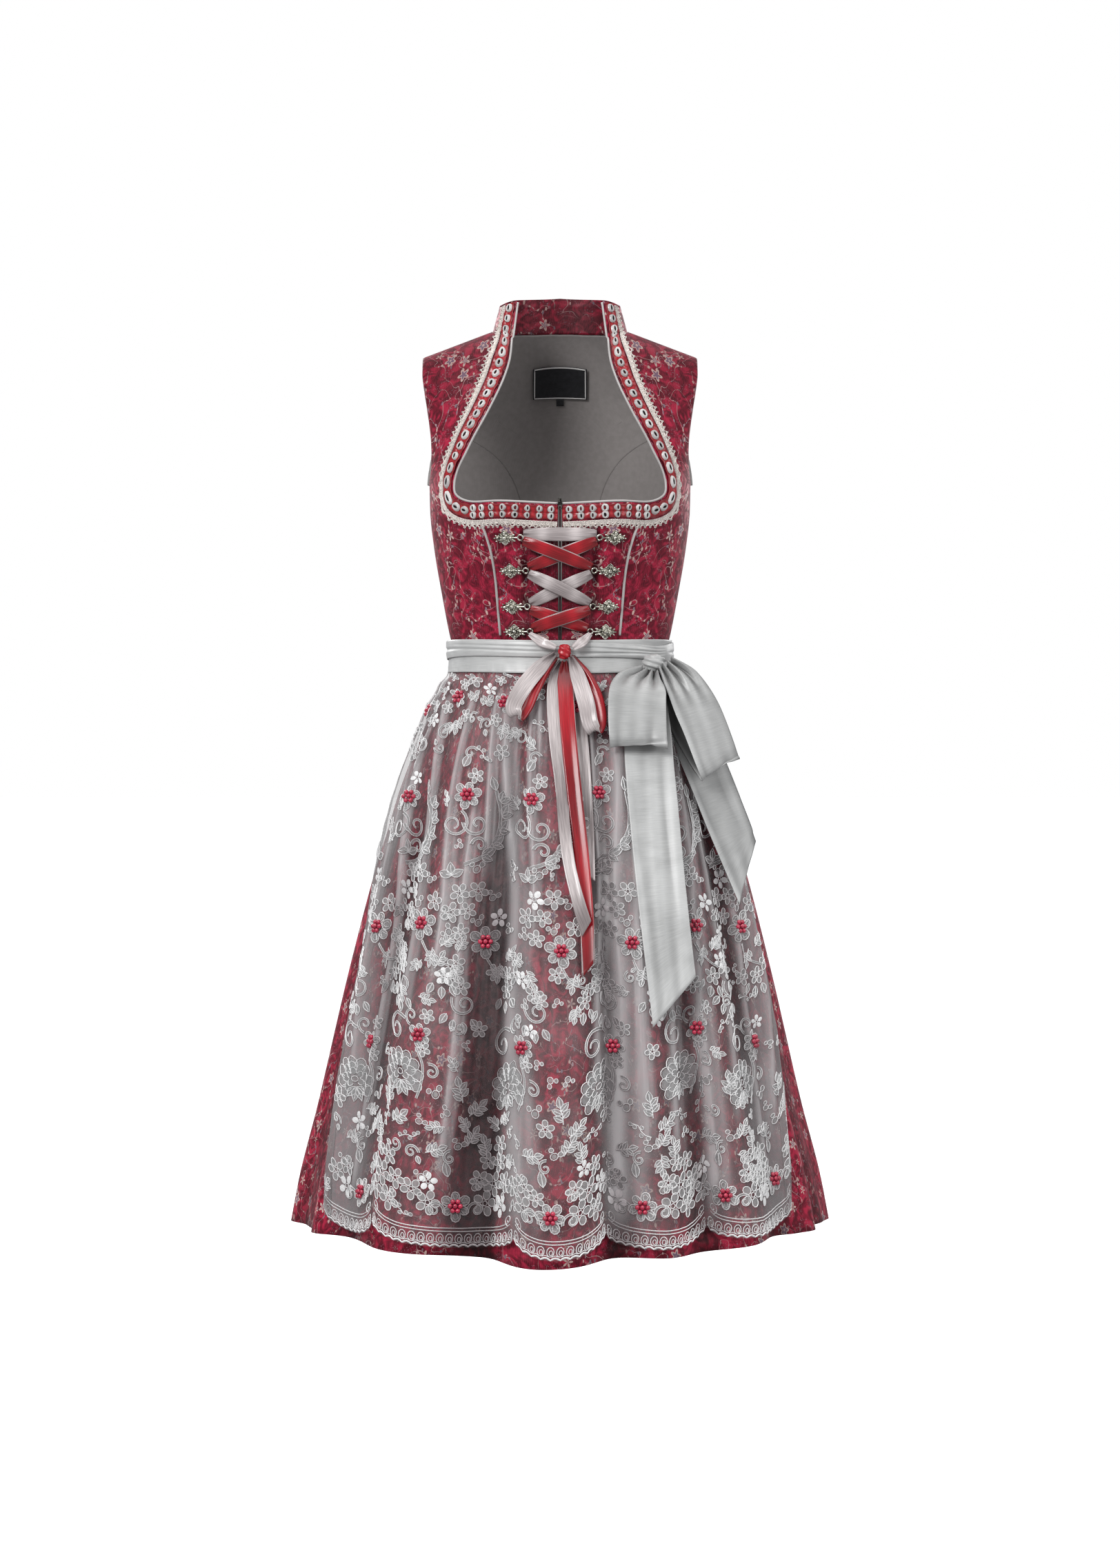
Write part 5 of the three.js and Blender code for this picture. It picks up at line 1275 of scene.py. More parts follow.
# ------------------------------------------------------------------ ribbons and sashes
def band_sheet(
    stops, steps, width_steps=9, puff=0.0, face=None, slant=0.0, ripple=0.0, full=None, waves=2.5, soft=0.0
):
    """A band along a smooth route, as a sheet. Each stop holds x, y, z, width, turn and lean.

    turn is the way across it in degrees seen from the front, and lean how far that leans to the back. face is
    the direction that the whole band faces instead. Where it is narrower than full, the cloth lies in small
    folds, and soft is the depth of the long folds that run on where it is wide.
    """
    stops = [{"turn": 0, "lean": 0, **stop} for stop in stops]
    route = curve_through([Vector((stop["x"], stop["y"], stop["z"])) for stop in stops])
    shape = through([{key: stop[key] for key in ("width", "turn", "lean")} for stop in stops], steps)
    full = full or max(stop["width"] for stop in stops)
    rows = []
    for t, at in zip(evenly(steps), shape):
        ahead, behind = route(min(1, t + 1e-3)), route(max(0, t - 1e-3))
        along = (ahead - behind).normalized()
        across = along.cross(face) if face else Vector((cos(at.turn), sin(at.lean), sin(at.turn)))
        across = (across - along * across.dot(along)).normalized()
        normal = across.cross(along).normalized()
        row = []
        for c in evenly(width_steps, -0.5, 0.5):
            folds = ripple * (1 - at.width / full) * math.cos(2 * math.pi * waves * c + 5 * t)
            crease = abs(math.sin(math.pi * (1.7 * c + 0.4 * math.sin(3.3 * t) + 0.45 * t)))
            folds += soft * (0.6 - crease) * math.sin(math.pi * t) * (0.6 + 0.4 * math.cos(9 * t))
            shift = slant * c * at.width * smooth(t, 0.8, 1) if slant else 0
            out = puff * (1 - 4 * c * c) + folds
            row.append(route(t) + across * c * at.width + along * shift + normal * out)
        rows.append(row)
    return rows


def band_piece(name, rows, finish, outward, thick, slot, node, held="hung", rests_on=("apron_panel",)):
    """A band of cloth on its sheet of points. outward is 1 where its face is the route's own."""
    sheet = Sheet(rows)
    sheet.outward = outward
    shown = Sheet(sheet.moved(thick / 2))
    shown.outward = outward
    return sew(name, shown, thick, finish, slot, [node], held, rests_on, rows)


HOOKS = table("z plate eye", (-233, 61.5, 43.5), (-269, 55.5, 37.5), (-309, 54, 36), (-337, 51, 33.5))
HOOK_OVER = 1.4  # the plate's back lies this far over the bodice
PLATE_THICK = 1.8
EYE_RADIUS, EYE_WIRE = 3.1, 1.0
HOOK_NECK = 8.5  # the neck starts this far from the plate's middle


@lru_cache(maxsize=None)
def hook_places():
    """For each hook on the wearer's left: its frame on the bodice, and the middle of its eye."""
    places = []
    for row in HOOKS:
        a, b = torso_at(row["plate"], row["z"])
        out = out_of(ON_TORSO, a, b)
        up = (Vector((0, 0, 1)) - out * out.z).normalized()
        side = up.cross(out).normalized()
        middle = lifted(ON_TORSO, a, b, HOOK_OVER)
        eye = middle - side * (row["plate"] - row["eye"]) + out * PLATE_THICK / 2
        reach = row["plate"] - row["eye"]
        places.append(SimpleNamespace(middle=middle, side=side, up=up, out=out, reach=reach, eye=eye))
    return places


RIBBON_WIDTH = 15
STRAND_END = 12  # width where it is gathered into an eye
EYE_SIDE = 3.6
EYE_CLEAR = EYE_RADIUS + EYE_WIRE + 0.9
STRAND_RISE, STRAND_STEP = 1.1, 3.9
STRAND_GRID = 44, 13
LACING = (
    ("lacing_bar", (0, 1), (0, -1), 0, "silver"),
    ("lacing_1_under", (0, 1), (1, -1), 1, "red"),
    ("lacing_1_over", (0, -1), (1, 1), 2, "red"),
    ("lacing_2_under", (1, 1), (2, -1), 1, "silver"),
    ("lacing_2_over", (1, -1), (2, 1), 2, "silver"),
    ("lacing_3_under", (2, -1), (3, 1), 1, "red"),
    ("lacing_3_over", (2, 1), (3, -1), 2, "red"),
)


def eye_at(row, side):
    """The middle of a hook's eye: side is 1 for the wearer's left."""
    eye = hook_places()[row].eye
    return Vector((side * eye.x, eye.y, eye.z))


def strand_stops(start, end, layer):
    """Stops of a ribbon from eye to eye. Higher layers rise further off the bodice."""
    drop = (start.z > end.z) - (start.z < end.z)
    inward = 1 if end.x > start.x else -1
    a = Vector((start.x + inward * (EYE_CLEAR - 1.6), start.y, start.z - (EYE_SIDE if drop else -EYE_SIDE)))
    b = Vector((end.x - inward * (EYE_CLEAR - 1.6), end.y, end.z + EYE_SIDE))
    stops = []
    for t in evenly(7):
        middle = math.sin(math.pi * t)
        p = a.lerp(b, t)
        wide = middle**0.55
        stops.append(
            {
                "x": p.x,
                "y": p.y - 0.4 - (STRAND_RISE + STRAND_STEP * layer) * middle,
                "z": p.z,
                "width": lerp(STRAND_END - 1.6, RIBBON_WIDTH + 0.6, wide),
            }
        )
    return stops


def make_lacing():
    """The ribbon laced between the hooks, folded narrow at each eye."""
    look = finishes()
    thick = thickness("ribbon")
    for name, (row, side), (end_row, end_side), layer, colour in LACING:
        start, end = eye_at(row, side), eye_at(end_row, end_side)
        face = Vector((0, end.z - start.z, start.y - end.y)).normalized()
        if row == end_row:
            face = Vector((0, -1, 0))
        stops = strand_stops(start, end, layer)
        rows = band_sheet(stops, *STRAND_GRID, 1.6, face, ripple=3.0, full=RIBBON_WIDTH, waves=1.5)
        finish, slot = (look.red, "red_satin") if colour == "red" else (look.silver, "silver_ribbon")
        title, held = f"{name}_ribbon", ("stretched", ["hook_left_1"])
        piece = band_piece(title, rows, (finish,), 1, thick, slot, name, *held)
        # Painted shade and highlights: each strand is shaded all over except at two painted highlights, more
        # where it gathers into an eye, and a lower strand more where the other crosses it.
        shades = []
        across = evenly(STRAND_GRID[1], -0.5, 0.5)
        for t in evenly(STRAND_GRID[0]):
            gathered = max(bump(t, 0, 0.13), bump(t, 1, 0.13))
            covered = 0.85 * bump(t, 0.5, 0.13) if layer == 1 else 0
            glint = max(bump(t, 0.3, 0.1), 0.8 * bump(t, 0.74, 0.08))
            plain = max(0.5 * (1 - glint), covered)
            creased = [0.9 * gathered * (0.6 + 0.4 * math.cos(9 * c)) for c in across]
            shades += [max(shade, plain) for shade in creased]
        shade_points(piece, shades)


LOOP_COLUMNS = "x y z width turn"
RIBBON_LOOPS = {
    "ribbon_loop_right": table(
        LOOP_COLUMNS,
        (-5, -104, -363, 6, -50),
        (-24, -118, -381, 17, -40),
        (-43, -130, -405, 19, -30),
        (-52, -137, -426, 18, -22),
        (-47, -134, -434, 16, -18),
        (-39, -130, -426, 14, -18),
        (-29, -123, -404, 14, -24),
        (-17, -114, -384, 11, -38),
        (-4.5, -102, -368, 6, -45),
    ),
    "ribbon_loop_left": table(
        LOOP_COLUMNS,
        (12, -104, -367, 6, 35),
        (20, -117, -389, 17, 18),
        (29, -131, -419, 19, 12),
        (34, -139, -443, 18, 9),
        (39, -136, -451, 16, 9),
        (44, -132, -444, 15, 11),
        (42, -123, -418, 15, 15),
        (30, -111, -389, 12, 30),
        (13.5, -100, -366, 6, 45),
    ),
}
LOOP_GRID, TAIL_GRID = (84, 11), (90, 9)
WRAP_END_Z = -357
RIBBON_KNOT = SimpleNamespace(middle=Vector((5, -101, -361)), size=Vector((15, 9, 17)))
SASH_KNOT = SimpleNamespace(middle=Vector((106, -79, -373)), size=Vector((27, 18, 20)))


def knot_piece(name, knot, finish, creases):
    """A tied knot: a flattened ball of cloth with the folds of the wrap running round it on a slant."""
    rings, sides = 30, 44
    points = [knot.middle + Vector((0, 0, -knot.size.z / 2))]
    for i in range(1, rings):
        up = 180 * i / rings
        for j in range(sides):
            turn = 360 * j / sides
            fold = 0.1 * cos(creases * (up + 0.35 * turn)) * sin(up) ** 0.5
            fold += 0.05 * cos(2 * turn + 30) * sin(up)
            waist = 1 - 0.14 * bump(up, 90, 26)
            ball = Vector((sin(up) * cos(turn) * waist, sin(up) * sin(turn), -cos(up))) * (1 + fold)
            points.append(knot.middle + ball * knot.size / 2)
    points.append(knot.middle + Vector((0, 0, knot.size.z / 2)))
    faces = [(0, 1 + (j + 1) % sides, 1 + j) for j in range(sides)]
    for i in range(rings - 2):
        for j in range(sides):
            a, b = 1 + i * sides + j, 1 + i * sides + (j + 1) % sides
            faces.append((a, b, b + sides, a + sides))
    top = len(points) - 1
    faces += [(top, top - sides + j, top - sides + (j + 1) % sides) for j in range(sides)]
    uvs = [(p.x * MM, p.z * MM) for p in points]
    return mesh_piece(name, points, faces, uvs, (finish,))


def resting_y(x, z, reach, clear):
    """How far forward something lies that rests on the apron between x - reach and x + reach."""
    across = [apron_point(angle, z, THIN_CLOTH_SOLID) for angle in evenly(61, -88, 88)]
    return min(p.y for p in across if abs(p.x - x) < reach) - clear


def on_apron(stops, reach, clear):
    """Stops that lie on the apron, each over it by its own amount besides."""
    return [{"y": resting_y(stop["x"], stop["z"], reach, clear + stop["over"]), **stop} for stop in stops]


THIN_CLOTH_SOLID = 1.0  # wall of the apron's solid, which the ribbons rest on
TAIL_CLEAR = 4


def tail_stops(reach, clear, top, *below):
    """Stops of a tail: its first ones hang free, and the ones below rest on the apron or another tail."""
    held = [dict(zip(("x", "y", "z", "width", "turn", "lean"), (*row, 0, 0)[:6])) for row in top]
    lying = [dict(zip(("x", "z", "width", "turn", "over"), (*row, 0, 0)[:5])) for row in below]
    return [{"turn": 0, "lean": 0, **stop} for stop in [*held, *on_apron(lying, reach, clear)]]


def make_bow():
    """The ribbon bow below the lacing: wraps, two loops, three tails and the knot."""
    look = finishes()
    thick = thickness("ribbon")
    both = (look.silver, look.bow_red)
    for side, name, x in ((1, "left", 14.5), (-1, "right", -4.5)):
        eye = eye_at(3, side)
        stops = table(
            "x y z width",
            (eye.x, eye.y - 4.5, eye.z - 2.5, 5),
            (lerp(eye.x, x, 0.25), eye.y - 7, lerp(eye.z, WRAP_END_Z, 0.2) - 4, 9),
            (lerp(eye.x, x, 0.5), -100.5, lerp(eye.z, WRAP_END_Z, 0.42) - 4.5, 11),
            (x, -103, WRAP_END_Z, 6),
        )
        rows = band_sheet(stops, 30, 11, 0.8, Vector((0, -1, 0)), ripple=2.2, full=12, waves=1.5)
        band_piece(f"ribbon_wrap_{name}_band", rows, both, 1, thick, "silver_ribbon", f"ribbon_wrap_{name}")
    for name, stops in RIBBON_LOOPS.items():
        rows = band_sheet(stops, *LOOP_GRID, 0.9, ripple=3.4, full=17, waves=1.5)
        piece = band_piece(f"{name}_band", rows, both, -1, thick, "silver_ribbon", name, "folded")
        # Painted shade on each loop, darkest at the knot at both ends, and left out at three painted
        # highlights.
        lights = []
        for t in evenly(LOOP_GRID[0]):
            glint = max(bump(t, 0.2, 0.07), bump(t, 0.4, 0.05), 0.6 * bump(t, 0.7, 0.06))
            lights.append(max(0.85 * bump(t, 0, 0.1), 0.85 * bump(t, 1, 0.1), 0.4 * (1 - glint)))
        shade_points(piece, [value for value in lights for _ in range(LOOP_GRID[1])])
    tails = {
        "ribbon_tail_silver": (
            tail_stops(
                10,
                TAIL_CLEAR + 0.5,
                [(1.5, -97.5, -371.5, 6), (-5, -103, -384, 10)],
                *[(-8, -402, 13), (-6, -450, 14), (2, -520, 13, 6), (5, -560, 13, 6, 4)],
                *[(11, -602, 13, 10, 8), (21, -642, 14, 14, 8), (29, -668, 15, 24, 8)],
            ),
            (look.silver, look.bow_red),
            "silver_ribbon",
            -0.9,
        ),
        "ribbon_tail_red": (
            tail_stops(
                10,
                TAIL_CLEAR + 4,
                [(5, -100, -371.5, 6), (5, -106, -384, 13)],
                *[(6, -402, 18), (9, -450, 18), (16, -520, 17, 4)],
                *[(24, -590, 16, 3), (29, -650, 15), (31, -712, 15)],
            ),
            (look.bow_red,),
            "red_satin",
            -1.2,
        ),
        "ribbon_tail_back": (
            tail_stops(
                9,
                TAIL_CLEAR - 2,
                [(11, -97, -371, 5)],
                *[(19, -400, 13), (24, -450, 13), (29, -520, 13), (31, -560, 13), (32, -612, 13)],
            ),
            (look.silver, look.bow_red),
            "silver_ribbon",
            0.8,
        ),
    }
    for name, (stops, finish, slot, slant) in tails.items():
        rows = band_sheet(stops, *TAIL_GRID, 1.0, slant=slant, ripple=2.4, full=15, waves=1.5)
        piece = band_piece(f"{name}_band", rows, finish, -1, thick, slot, name)
        # Painted shade in bands along each tail, darkest at the knot, with painted highlights between the
        # bands.
        glints = lambda t: clamp(0.36 + 0.3 * math.cos(15 * t + 2 * slant) + 0.6 * bump(t, 0, 0.1))
        shade_points(piece, [glints(t) for t in evenly(TAIL_GRID[0]) for _ in range(TAIL_GRID[1])])
    settle(knot_piece("ribbon_knot_wrap", RIBBON_KNOT, look.red_plain, 7), "red_satin", "ribbon_knot")


SASH_COLUMNS = "x y z width turn lean"
SASH_LOOP_GRID, SASH_TAIL_GRID = (110, 37), (110, 31)
SASH_LOOPS = {
    "sash_loop_front": table(
        SASH_COLUMNS,
        (101, -88, -382, 22, -8, 0),
        (92, -106, -391, 52, -6, 0),
        (87, -124, -407, 64, -5, 0),
        (86, -137, -432, 65, -4, 0),
        (87, -146, -460, 64, -4, 0),
        (88, -143, -468, 64, -4, 0),
        (88, -135, -460, 62, -4, 0),
        (89, -120, -432, 58, -6, 0),
        (94, -101, -404, 46, -6, 0),
        (101, -82, -385, 18, -8, 0),
    ),
    "sash_loop_side": table(
        SASH_COLUMNS,
        (119.5, -84, -373, 20, 52, 20),
        (137, -99, -393, 44, 40, 25),
        (157, -110, -432, 56, 33, 30),
        (176, -115, -482, 56, 31, 30),
        (180, -111, -493, 55, 31, 30),
        (172, -103, -484, 54, 32, 30),
        (147, -94, -442, 52, 34, 30),
        (131, -84, -404, 38, 44, 25),
        (118, -75, -380, 14, 56, 20),
    ),
}


def valley_shades(rows, reach, deep, least):
    """Painted shade for the points of a band that lie behind the ones on both sides of them, and least, a
    base amount, on the others.
    """
    shades = []
    for row in rows:
        for k, point in enumerate(row):
            around = (row[max(k - reach, 0)].y + row[min(k + reach, len(row) - 1)].y) / 2
            shades.append(clamp(least + (point.y - around) / deep, 0, 0.9))
    return shades


def make_sash():
    """The bow of the apron ties on the wearer's left hip."""
    look = finishes()
    thick = thickness("thin_cloth")
    taffeta = (look.taffeta,)
    for name, stops in SASH_LOOPS.items():
        widest = max(stop["width"] for stop in stops)
        rows = band_sheet(stops, *SASH_LOOP_GRID, 2.0, ripple=7.5, full=widest + 1, waves=3.5, soft=3.0)
        piece = band_piece(f"{name}_cloth", rows, taffeta, -1, thick, "taffeta", name, "folded")
        # Painted shade: the back of a loop and the pinch at the knot lie in painted shade, and so do the
        # valleys of its folds, over a base shade on the whole loop.
        shade = lambda t: max(smooth(t, 0.5, 0.62), 0.5 * bump(t, 0, 0.14), 0.4 * bump(t, 0.47, 0.06))
        behind = [shade(t) for t in evenly(SASH_LOOP_GRID[0])]
        valleys = valley_shades(rows, 5, 4.2, 0.3)
        shade_points(piece, [max(behind[n // SASH_LOOP_GRID[1]], value) for n, value in enumerate(valleys)])
    front = tail_stops(
        36,
        4,
        [(106, -74.5, -384, 16), (100, -101, -410, 40, 0, 10)],
        *[(99, -470, 54), (104, -540, 55), (113, -640, 54), (125, -748, 53)],
    )
    side = table(
        SASH_COLUMNS,
        (116, -71, -384, 12, 26, 25),
        (137, -77, -430, 36, 24, 35),
        (163, -85, -487, 58, 22, 40),
        (188, -90, -550, 58, 22, 40),
        (212, -94, -610, 54, 22, 40),
    )
    for name, stops, slant in (("sash_tail_front", front, -0.95), ("sash_tail_side", side, -1.1)):
        rows = band_sheet(stops, *SASH_TAIL_GRID, 1.5, slant=slant, ripple=4.5, full=59, waves=2.5, soft=1.3)
        piece = band_piece(f"{name}_cloth", rows, taffeta, -1, thick, "taffeta", name)
        # Painted shade at the top of each tail, under the loops and the knot, and in the valleys of its
        # folds; the side tail has more all over than the front one.
        under = [0.75 * (1 - smooth(t, 0.2, 0.46)) for t in evenly(SASH_TAIL_GRID[0])]
        valleys = valley_shades(rows, 4, 4.0, 0.06 if name == "sash_tail_front" else 0.3)
        shade_points(piece, [max(under[n // SASH_TAIL_GRID[1]], value) for n, value in enumerate(valleys)])
    settle(knot_piece("sash_knot_wrap", SASH_KNOT, look.taffeta, 9), "taffeta", "sash_knot")


# ------------------------------------------------------------------ skirt
SKIRT = table(
    "z half front back rise",
    (-352.3, 124.5, 83, 82, 0),
    (-366, 125.5, 85, 84, 0),
    (-382, 127, 87, 88, 0.02),
    (-400, 131, 93, 96, 0.06),
    (-420, 142, 101, 107, 0.12),
    (-440, 150, 109, 116, 0.18),
    (-480, 166, 121, 131, 0.3),
    (-520, 179.5, 133, 145, 0.42),
    (-560, 191.5, 145, 157, 0.5),
    (-600, 203, 156, 168, 0.58),
    (-720, 231.5, 184, 196, 0.74),
    (-880, 266, 216, 228, 0.9),
    (-960, 286, 231, 241, 0.97),
    (HEM_Z, 296, 240, 249, 1),
)
skirt = tracks(SKIRT, "z")
# Large folds: where the ridge stands at the hem, how wide and how far out it is, and how flat its top is.
FOLDS = table(
    "angle width out flat",
    *[(-105, 7, 22, 1), (-84, 7.5, 15, 1), (-61, 7.5, 18, 1), (-36, 10.5, 28, 1), (-2, 10.2, 40, 2)],
    *[(22, 6.5, 24, 1), (42, 7.5, 23, 1), (64, 8, 17, 1), (86, 7.5, 15, 1), (107, 7, 24, 1)],
    *[(126, 6.5, 32, 1), (146, 8, 27, 1), (166, 7, 34, 1), (187, 8.5, 30, 1), (208, 6.5, 33, 1)],
    *[(227, 7, 26, 1), (242, 5.5, 22, 1)],
)
GATHER = SimpleNamespace(pitch=12, out=3.6, start=-383, full=-394, fading=-410, gone=-500)
APRON_GATHER = SimpleNamespace(pitch=9, out=3.2)
FRONT_DIP, CENTRE_DIP = 10, 7
FINE_GATHERS = 66  # round the waist, besides the large ones
FINE_OUT = 1.5


def near(angle, other):
    """An angle turned to within half a round of another."""
    return other + (angle - other + 180) % 360 - 180


@lru_cache(maxsize=20000)
def fold_share(angle):
    """How far the large folds stand out at an angle, in millimetres at the hem."""
    total = 0.0
    for fold in FOLDS:
        away = abs(near(angle, fold["angle"]) - fold["angle"]) / fold["width"]
        if away < 3:
            total += fold["out"] * math.exp(-(away ** (2 * fold["flat"])))
    return total


def painted_shade(angle, z, bare=0.0):
    """How deep the painted shade lies on the cloth between the large folds: most under the apron, less where
    bare.
    """
    deep = 1 - smooth(fold_share(angle), 2.5, 15)
    return deep * smooth(-z, 400, 600) * lerp(1, 0.55, bare)


def gather_out(angle, z, pitch=GATHER.pitch, out=GATHER.out):
    """How far the gathers below the waist stand out."""
    turn = angle / pitch
    reach = GATHER.gone - 40 * uneven(round(turn))
    strength = smooth(-z, -GATHER.start, -GATHER.full) * (1 - smooth(-z, -GATHER.fading, -reach))
    return out * strength * (0.5 + 0.5 * math.cos(turn * 2 * math.pi))


def skirt_point(angle, z, off=0.0, extra=0.0):
    """A place on the skirt: 0 degrees is centre front, 90 the wearer's left side."""
    half = skirt.half(z)
    depth = skirt.front(z) if abs(near(angle, 0)) < 90 else skirt.back(z)
    s, c = sin(angle), cos(angle)
    out = Vector((s / half, -c / depth, 0)).normalized()
    dip = CENTRE_DIP * bump(near(angle, 0), -3, 9.5) + FRONT_DIP * smooth(c, 0.6, 0.95)
    point = Vector((half * s, -depth * c, z - dip * smooth(-z, 700, -HEM_Z)))
    return point + out * (skirt.rise(z) * fold_share(angle) + gather_out(angle, z) + off + extra)


def fine_folds(angle, z):
    """Small gathers that run down from the waist seam, each for its own length, and soft dents lower down."""
    turn = angle / 360 * FINE_GATHERS
    number = math.floor(turn)
    gone = -440 - 190 * uneven(number)
    strength = smooth(-z, 358, 372) * (1 - smooth(-z, -(gone + 60), -gone))
    bend = 0.16 * math.sin(z / 31 + 2.1 * uneven(number))
    ridge = 0.5 + 0.5 * math.cos(2 * math.pi * (turn + bend * strength))
    soft = math.sin(angle / 5.3 + z / 210) * math.sin(angle / 2.9 - z / 330 + 1)
    wander = 0.8 * math.sin(angle / 1.7 + z / 150) * smooth(-z, 600, 1000)
    lower = smooth(-z, 470, 640) * (0.6 * soft + wander)
    return FINE_OUT * strength * ridge**1.5 - 0.4 * strength + lower


SKIRT_ROWS, SKIRT_COLUMNS = 88, 204
SKIRT_WIDTH = 1100  # what each of the two widths of jacquard measures across
HEM_DEPTH = 24  # the row of hem stitches stands this far above the edge


def skirt_levels():
    """Heights that crowd at the waist, where the gathers are."""
    return [lerp(-352.3, HEM_Z, t**1.25) for t in evenly(SKIRT_ROWS)]


def make_skirt():
    """The gathered skirt: two widths of jacquard, joined at the side seams."""
    look = finishes()
    size = bpy.context.scene.dirndl_sizes
    inset = math.degrees(SEAM_GAP / 2 / TORSO[0]["half"])
    apron_side = tracks(APRON_EDGE, "z").angle
    for name, start, end in (("front", -90, 90), ("back", 90, 270)):
        rows, shades = [], []
        for z in skirt_levels():
            row = []
            for angle in evenly(SKIRT_COLUMNS, start + inset, end - inset):
                # Under the apron the small folds stay low, so that it lies over them.
                bare = smooth(abs(near(angle, 0)), apron_side(z) - 6, apron_side(z) + 6)
                deep = lerp(0.45, 1.9 * size.fold_depth, bare)
                row.append(skirt_point(angle, z, fine_folds(angle, z) * deep))
                # Painted shade in the valleys between the large folds.
                shades.append(painted_shade(angle, z, bare))
            rows.append(row)
        sheet = Sheet(rows)
        pressed = Sheet(sheet.moved(lambda i, j: -0.4 * bump(rows[i][0].z, HEM_Z + HEM_DEPTH, 2.5)))
        finish = (look.jacquard, look.jacquard_back)
        piece = cloth_piece(f"skirt_{name}_cloth", pressed, thickness("cloth"), finish, SKIRT_WIDTH)
        shade_points(piece, shades)
        settle(piece, "jacquard", f"skirt_{name}")
        length = run_along([row[0] for row in rows])[-1] * MM
        area = sheet_area(rows)
        hem_width = run_along(rows[-1])[-1] * MM
        flat = (max(SKIRT_WIDTH * MM, hem_width, area / length), length)
        declare_cloth(piece, rows, "gathered", ["centre_back"], flat=flat)


# ------------------------------------------------------------------ apron
APRON_TOP_Z = -381.5
WAIST_SAG = 4
APRON_NOTCH_Z, SCALLOP_DEPTH = -978, 24
APRON_OVER = SimpleNamespace(seam=1.6, below=5.5, hem=9)
APRON_EDGE = table("z angle", (APRON_TOP_Z, 92), (-440, 90), (-494, 86), (-650, 74), (-820, 64), (-1010, 56))
apron_edge = track(APRON_EDGE, "z", "angle")
APRON_NOTCHES = [-56, -39, -8.5, 9, 31, 56]
# Narrow folds of the organza: angle at the band, halfway and at the hem, where it starts and ends, and size.
APRON_CREASES = table(
    "top middle hem start end width out",
    (-62, -41, -45, -400, -800, 1.3, 4.5),
    (-44, -33, -37, -396, -760, 1.2, 4.0),
    (-30, -21.5, -23.5, -392, -640, 1.1, 3.8),
    (-25, -12.5, -8.2, -392, -1005, 2.0, 5.2),
    (-33, -27, -25.5, -520, -960, 0.9, 2.6),
    (-13, -7.0, -4.0, -394, -700, 0.9, 4.0),
    (-9, -6, -5, -392, -520, 1.2, 3.0),
    (14, 10.5, 7.6, -392, -900, 1.0, 4.0),
    (24, 15.5, 12.2, -394, -1005, 2.3, 5.2),
    (28, 21, 17, -400, -930, 0.9, 3.0),
    (40, 29, 25.5, -396, -940, 1.2, 4.0),
    (52, 38, 33, -396, -1000, 1.5, 4.6),
    (60, 46, 41, -400, -900, 1.1, 3.4),
    (71, 57, 48, -400, -980, 1.2, 4.0),
    (-72, -52, -49, -400, -1000, 1.1, 4.0),
    (-83, -61, -53, -410, -900, 1.1, 3.0),
    (84, 66, 53, -410, -920, 1.1, 3.0),
)
APRON_ROWS, APRON_COLUMNS = 100, 228


def apron_hem(angle):
    """The height of the apron's scalloped edge."""
    k = 0
    while k < len(APRON_NOTCHES) - 2 and APRON_NOTCHES[k + 1] <= angle:
        k += 1
    t = clamp((angle - APRON_NOTCHES[k]) / (APRON_NOTCHES[k + 1] - APRON_NOTCHES[k]))
    return APRON_NOTCH_Z - SCALLOP_DEPTH * math.sqrt(max(0, 1 - (2 * t - 1) ** 2)) ** 0.8


def waist_sag(angle):
    """How far the apron's band hangs down at the front."""
    return WAIST_SAG * bump(angle, 0, 48)


def apron_point(angle, z, off):
    """A place on the apron, which lies over the skirt's large folds."""
    gathers = gather_out(angle, z, APRON_GATHER.pitch, APRON_GATHER.out)
    top = APRON_TOP_Z - waist_sag(angle)
    gathered = lerp(APRON_OVER.seam, APRON_OVER.below, smooth(-z, -top, 16 - top))
    over = lerp(gathered, APRON_OVER.hem, smooth(-z, 420, 700))
    return skirt_point(angle, z, off + over, gathers)


def crease_share(angle, z):
    """How far the narrow folds stand out, and how much cloth lies doubled there."""
    out, doubled = 0.0, 0.0
    for n, crease in enumerate(APRON_CREASES):
        down = clamp((APRON_TOP_Z - z) / (APRON_TOP_Z + 1000))
        if down < 0.5:
            middle = lerp(crease["top"], crease["middle"], smooth(down, -0.1, 0.5))
        else:
            middle = lerp(crease["middle"], crease["hem"], 2 * down - 1)
        middle += 0.5 * math.sin(z / 47 + 3 * n)
        away = (angle - middle) / crease["width"]
        if abs(away) < 3.5:
            size = smooth(-z, -crease["start"], -crease["start"] + 30)
            size *= 1 - smooth(-z, -crease["end"] - 70, -crease["end"])
            share = size * math.exp(-(away**2))
            out += crease["out"] * share
            doubled += size * (bump(away, 0, 1.1) + 0.5 * bump(away, 1.9, 0.7))
    return out, clamp(doubled)


@lru_cache(maxsize=None)
def apron_sheet():
    """The organza's surface, and for each point how much of it is doubled in a fold."""
    rows, doubled = [], []
    for down in [t**1.15 for t in evenly(APRON_ROWS)]:
        row, shares = [], []
        for t in evenly(APRON_COLUMNS):
            z = lerp(APRON_TOP_Z - waist_sag((2 * t - 1) * 90), apron_hem((2 * t - 1) * 56), down)
            angle = (2 * t - 1) * apron_edge(z)
            out, share = crease_share(angle, z)
            strong = smooth(down, 0.0, 0.05)
            ripples = 0.7 * math.sin(angle * 1.9 + z / 60) * math.sin(angle * 0.83 - z / 41)
            row.append(apron_point(angle, z, THIN_CLOTH_SOLID + (out + ripples) * strong))
            shares.append(share * strong)
        rows.append(row)
        doubled.append(shares)
    return Sheet(rows), doubled


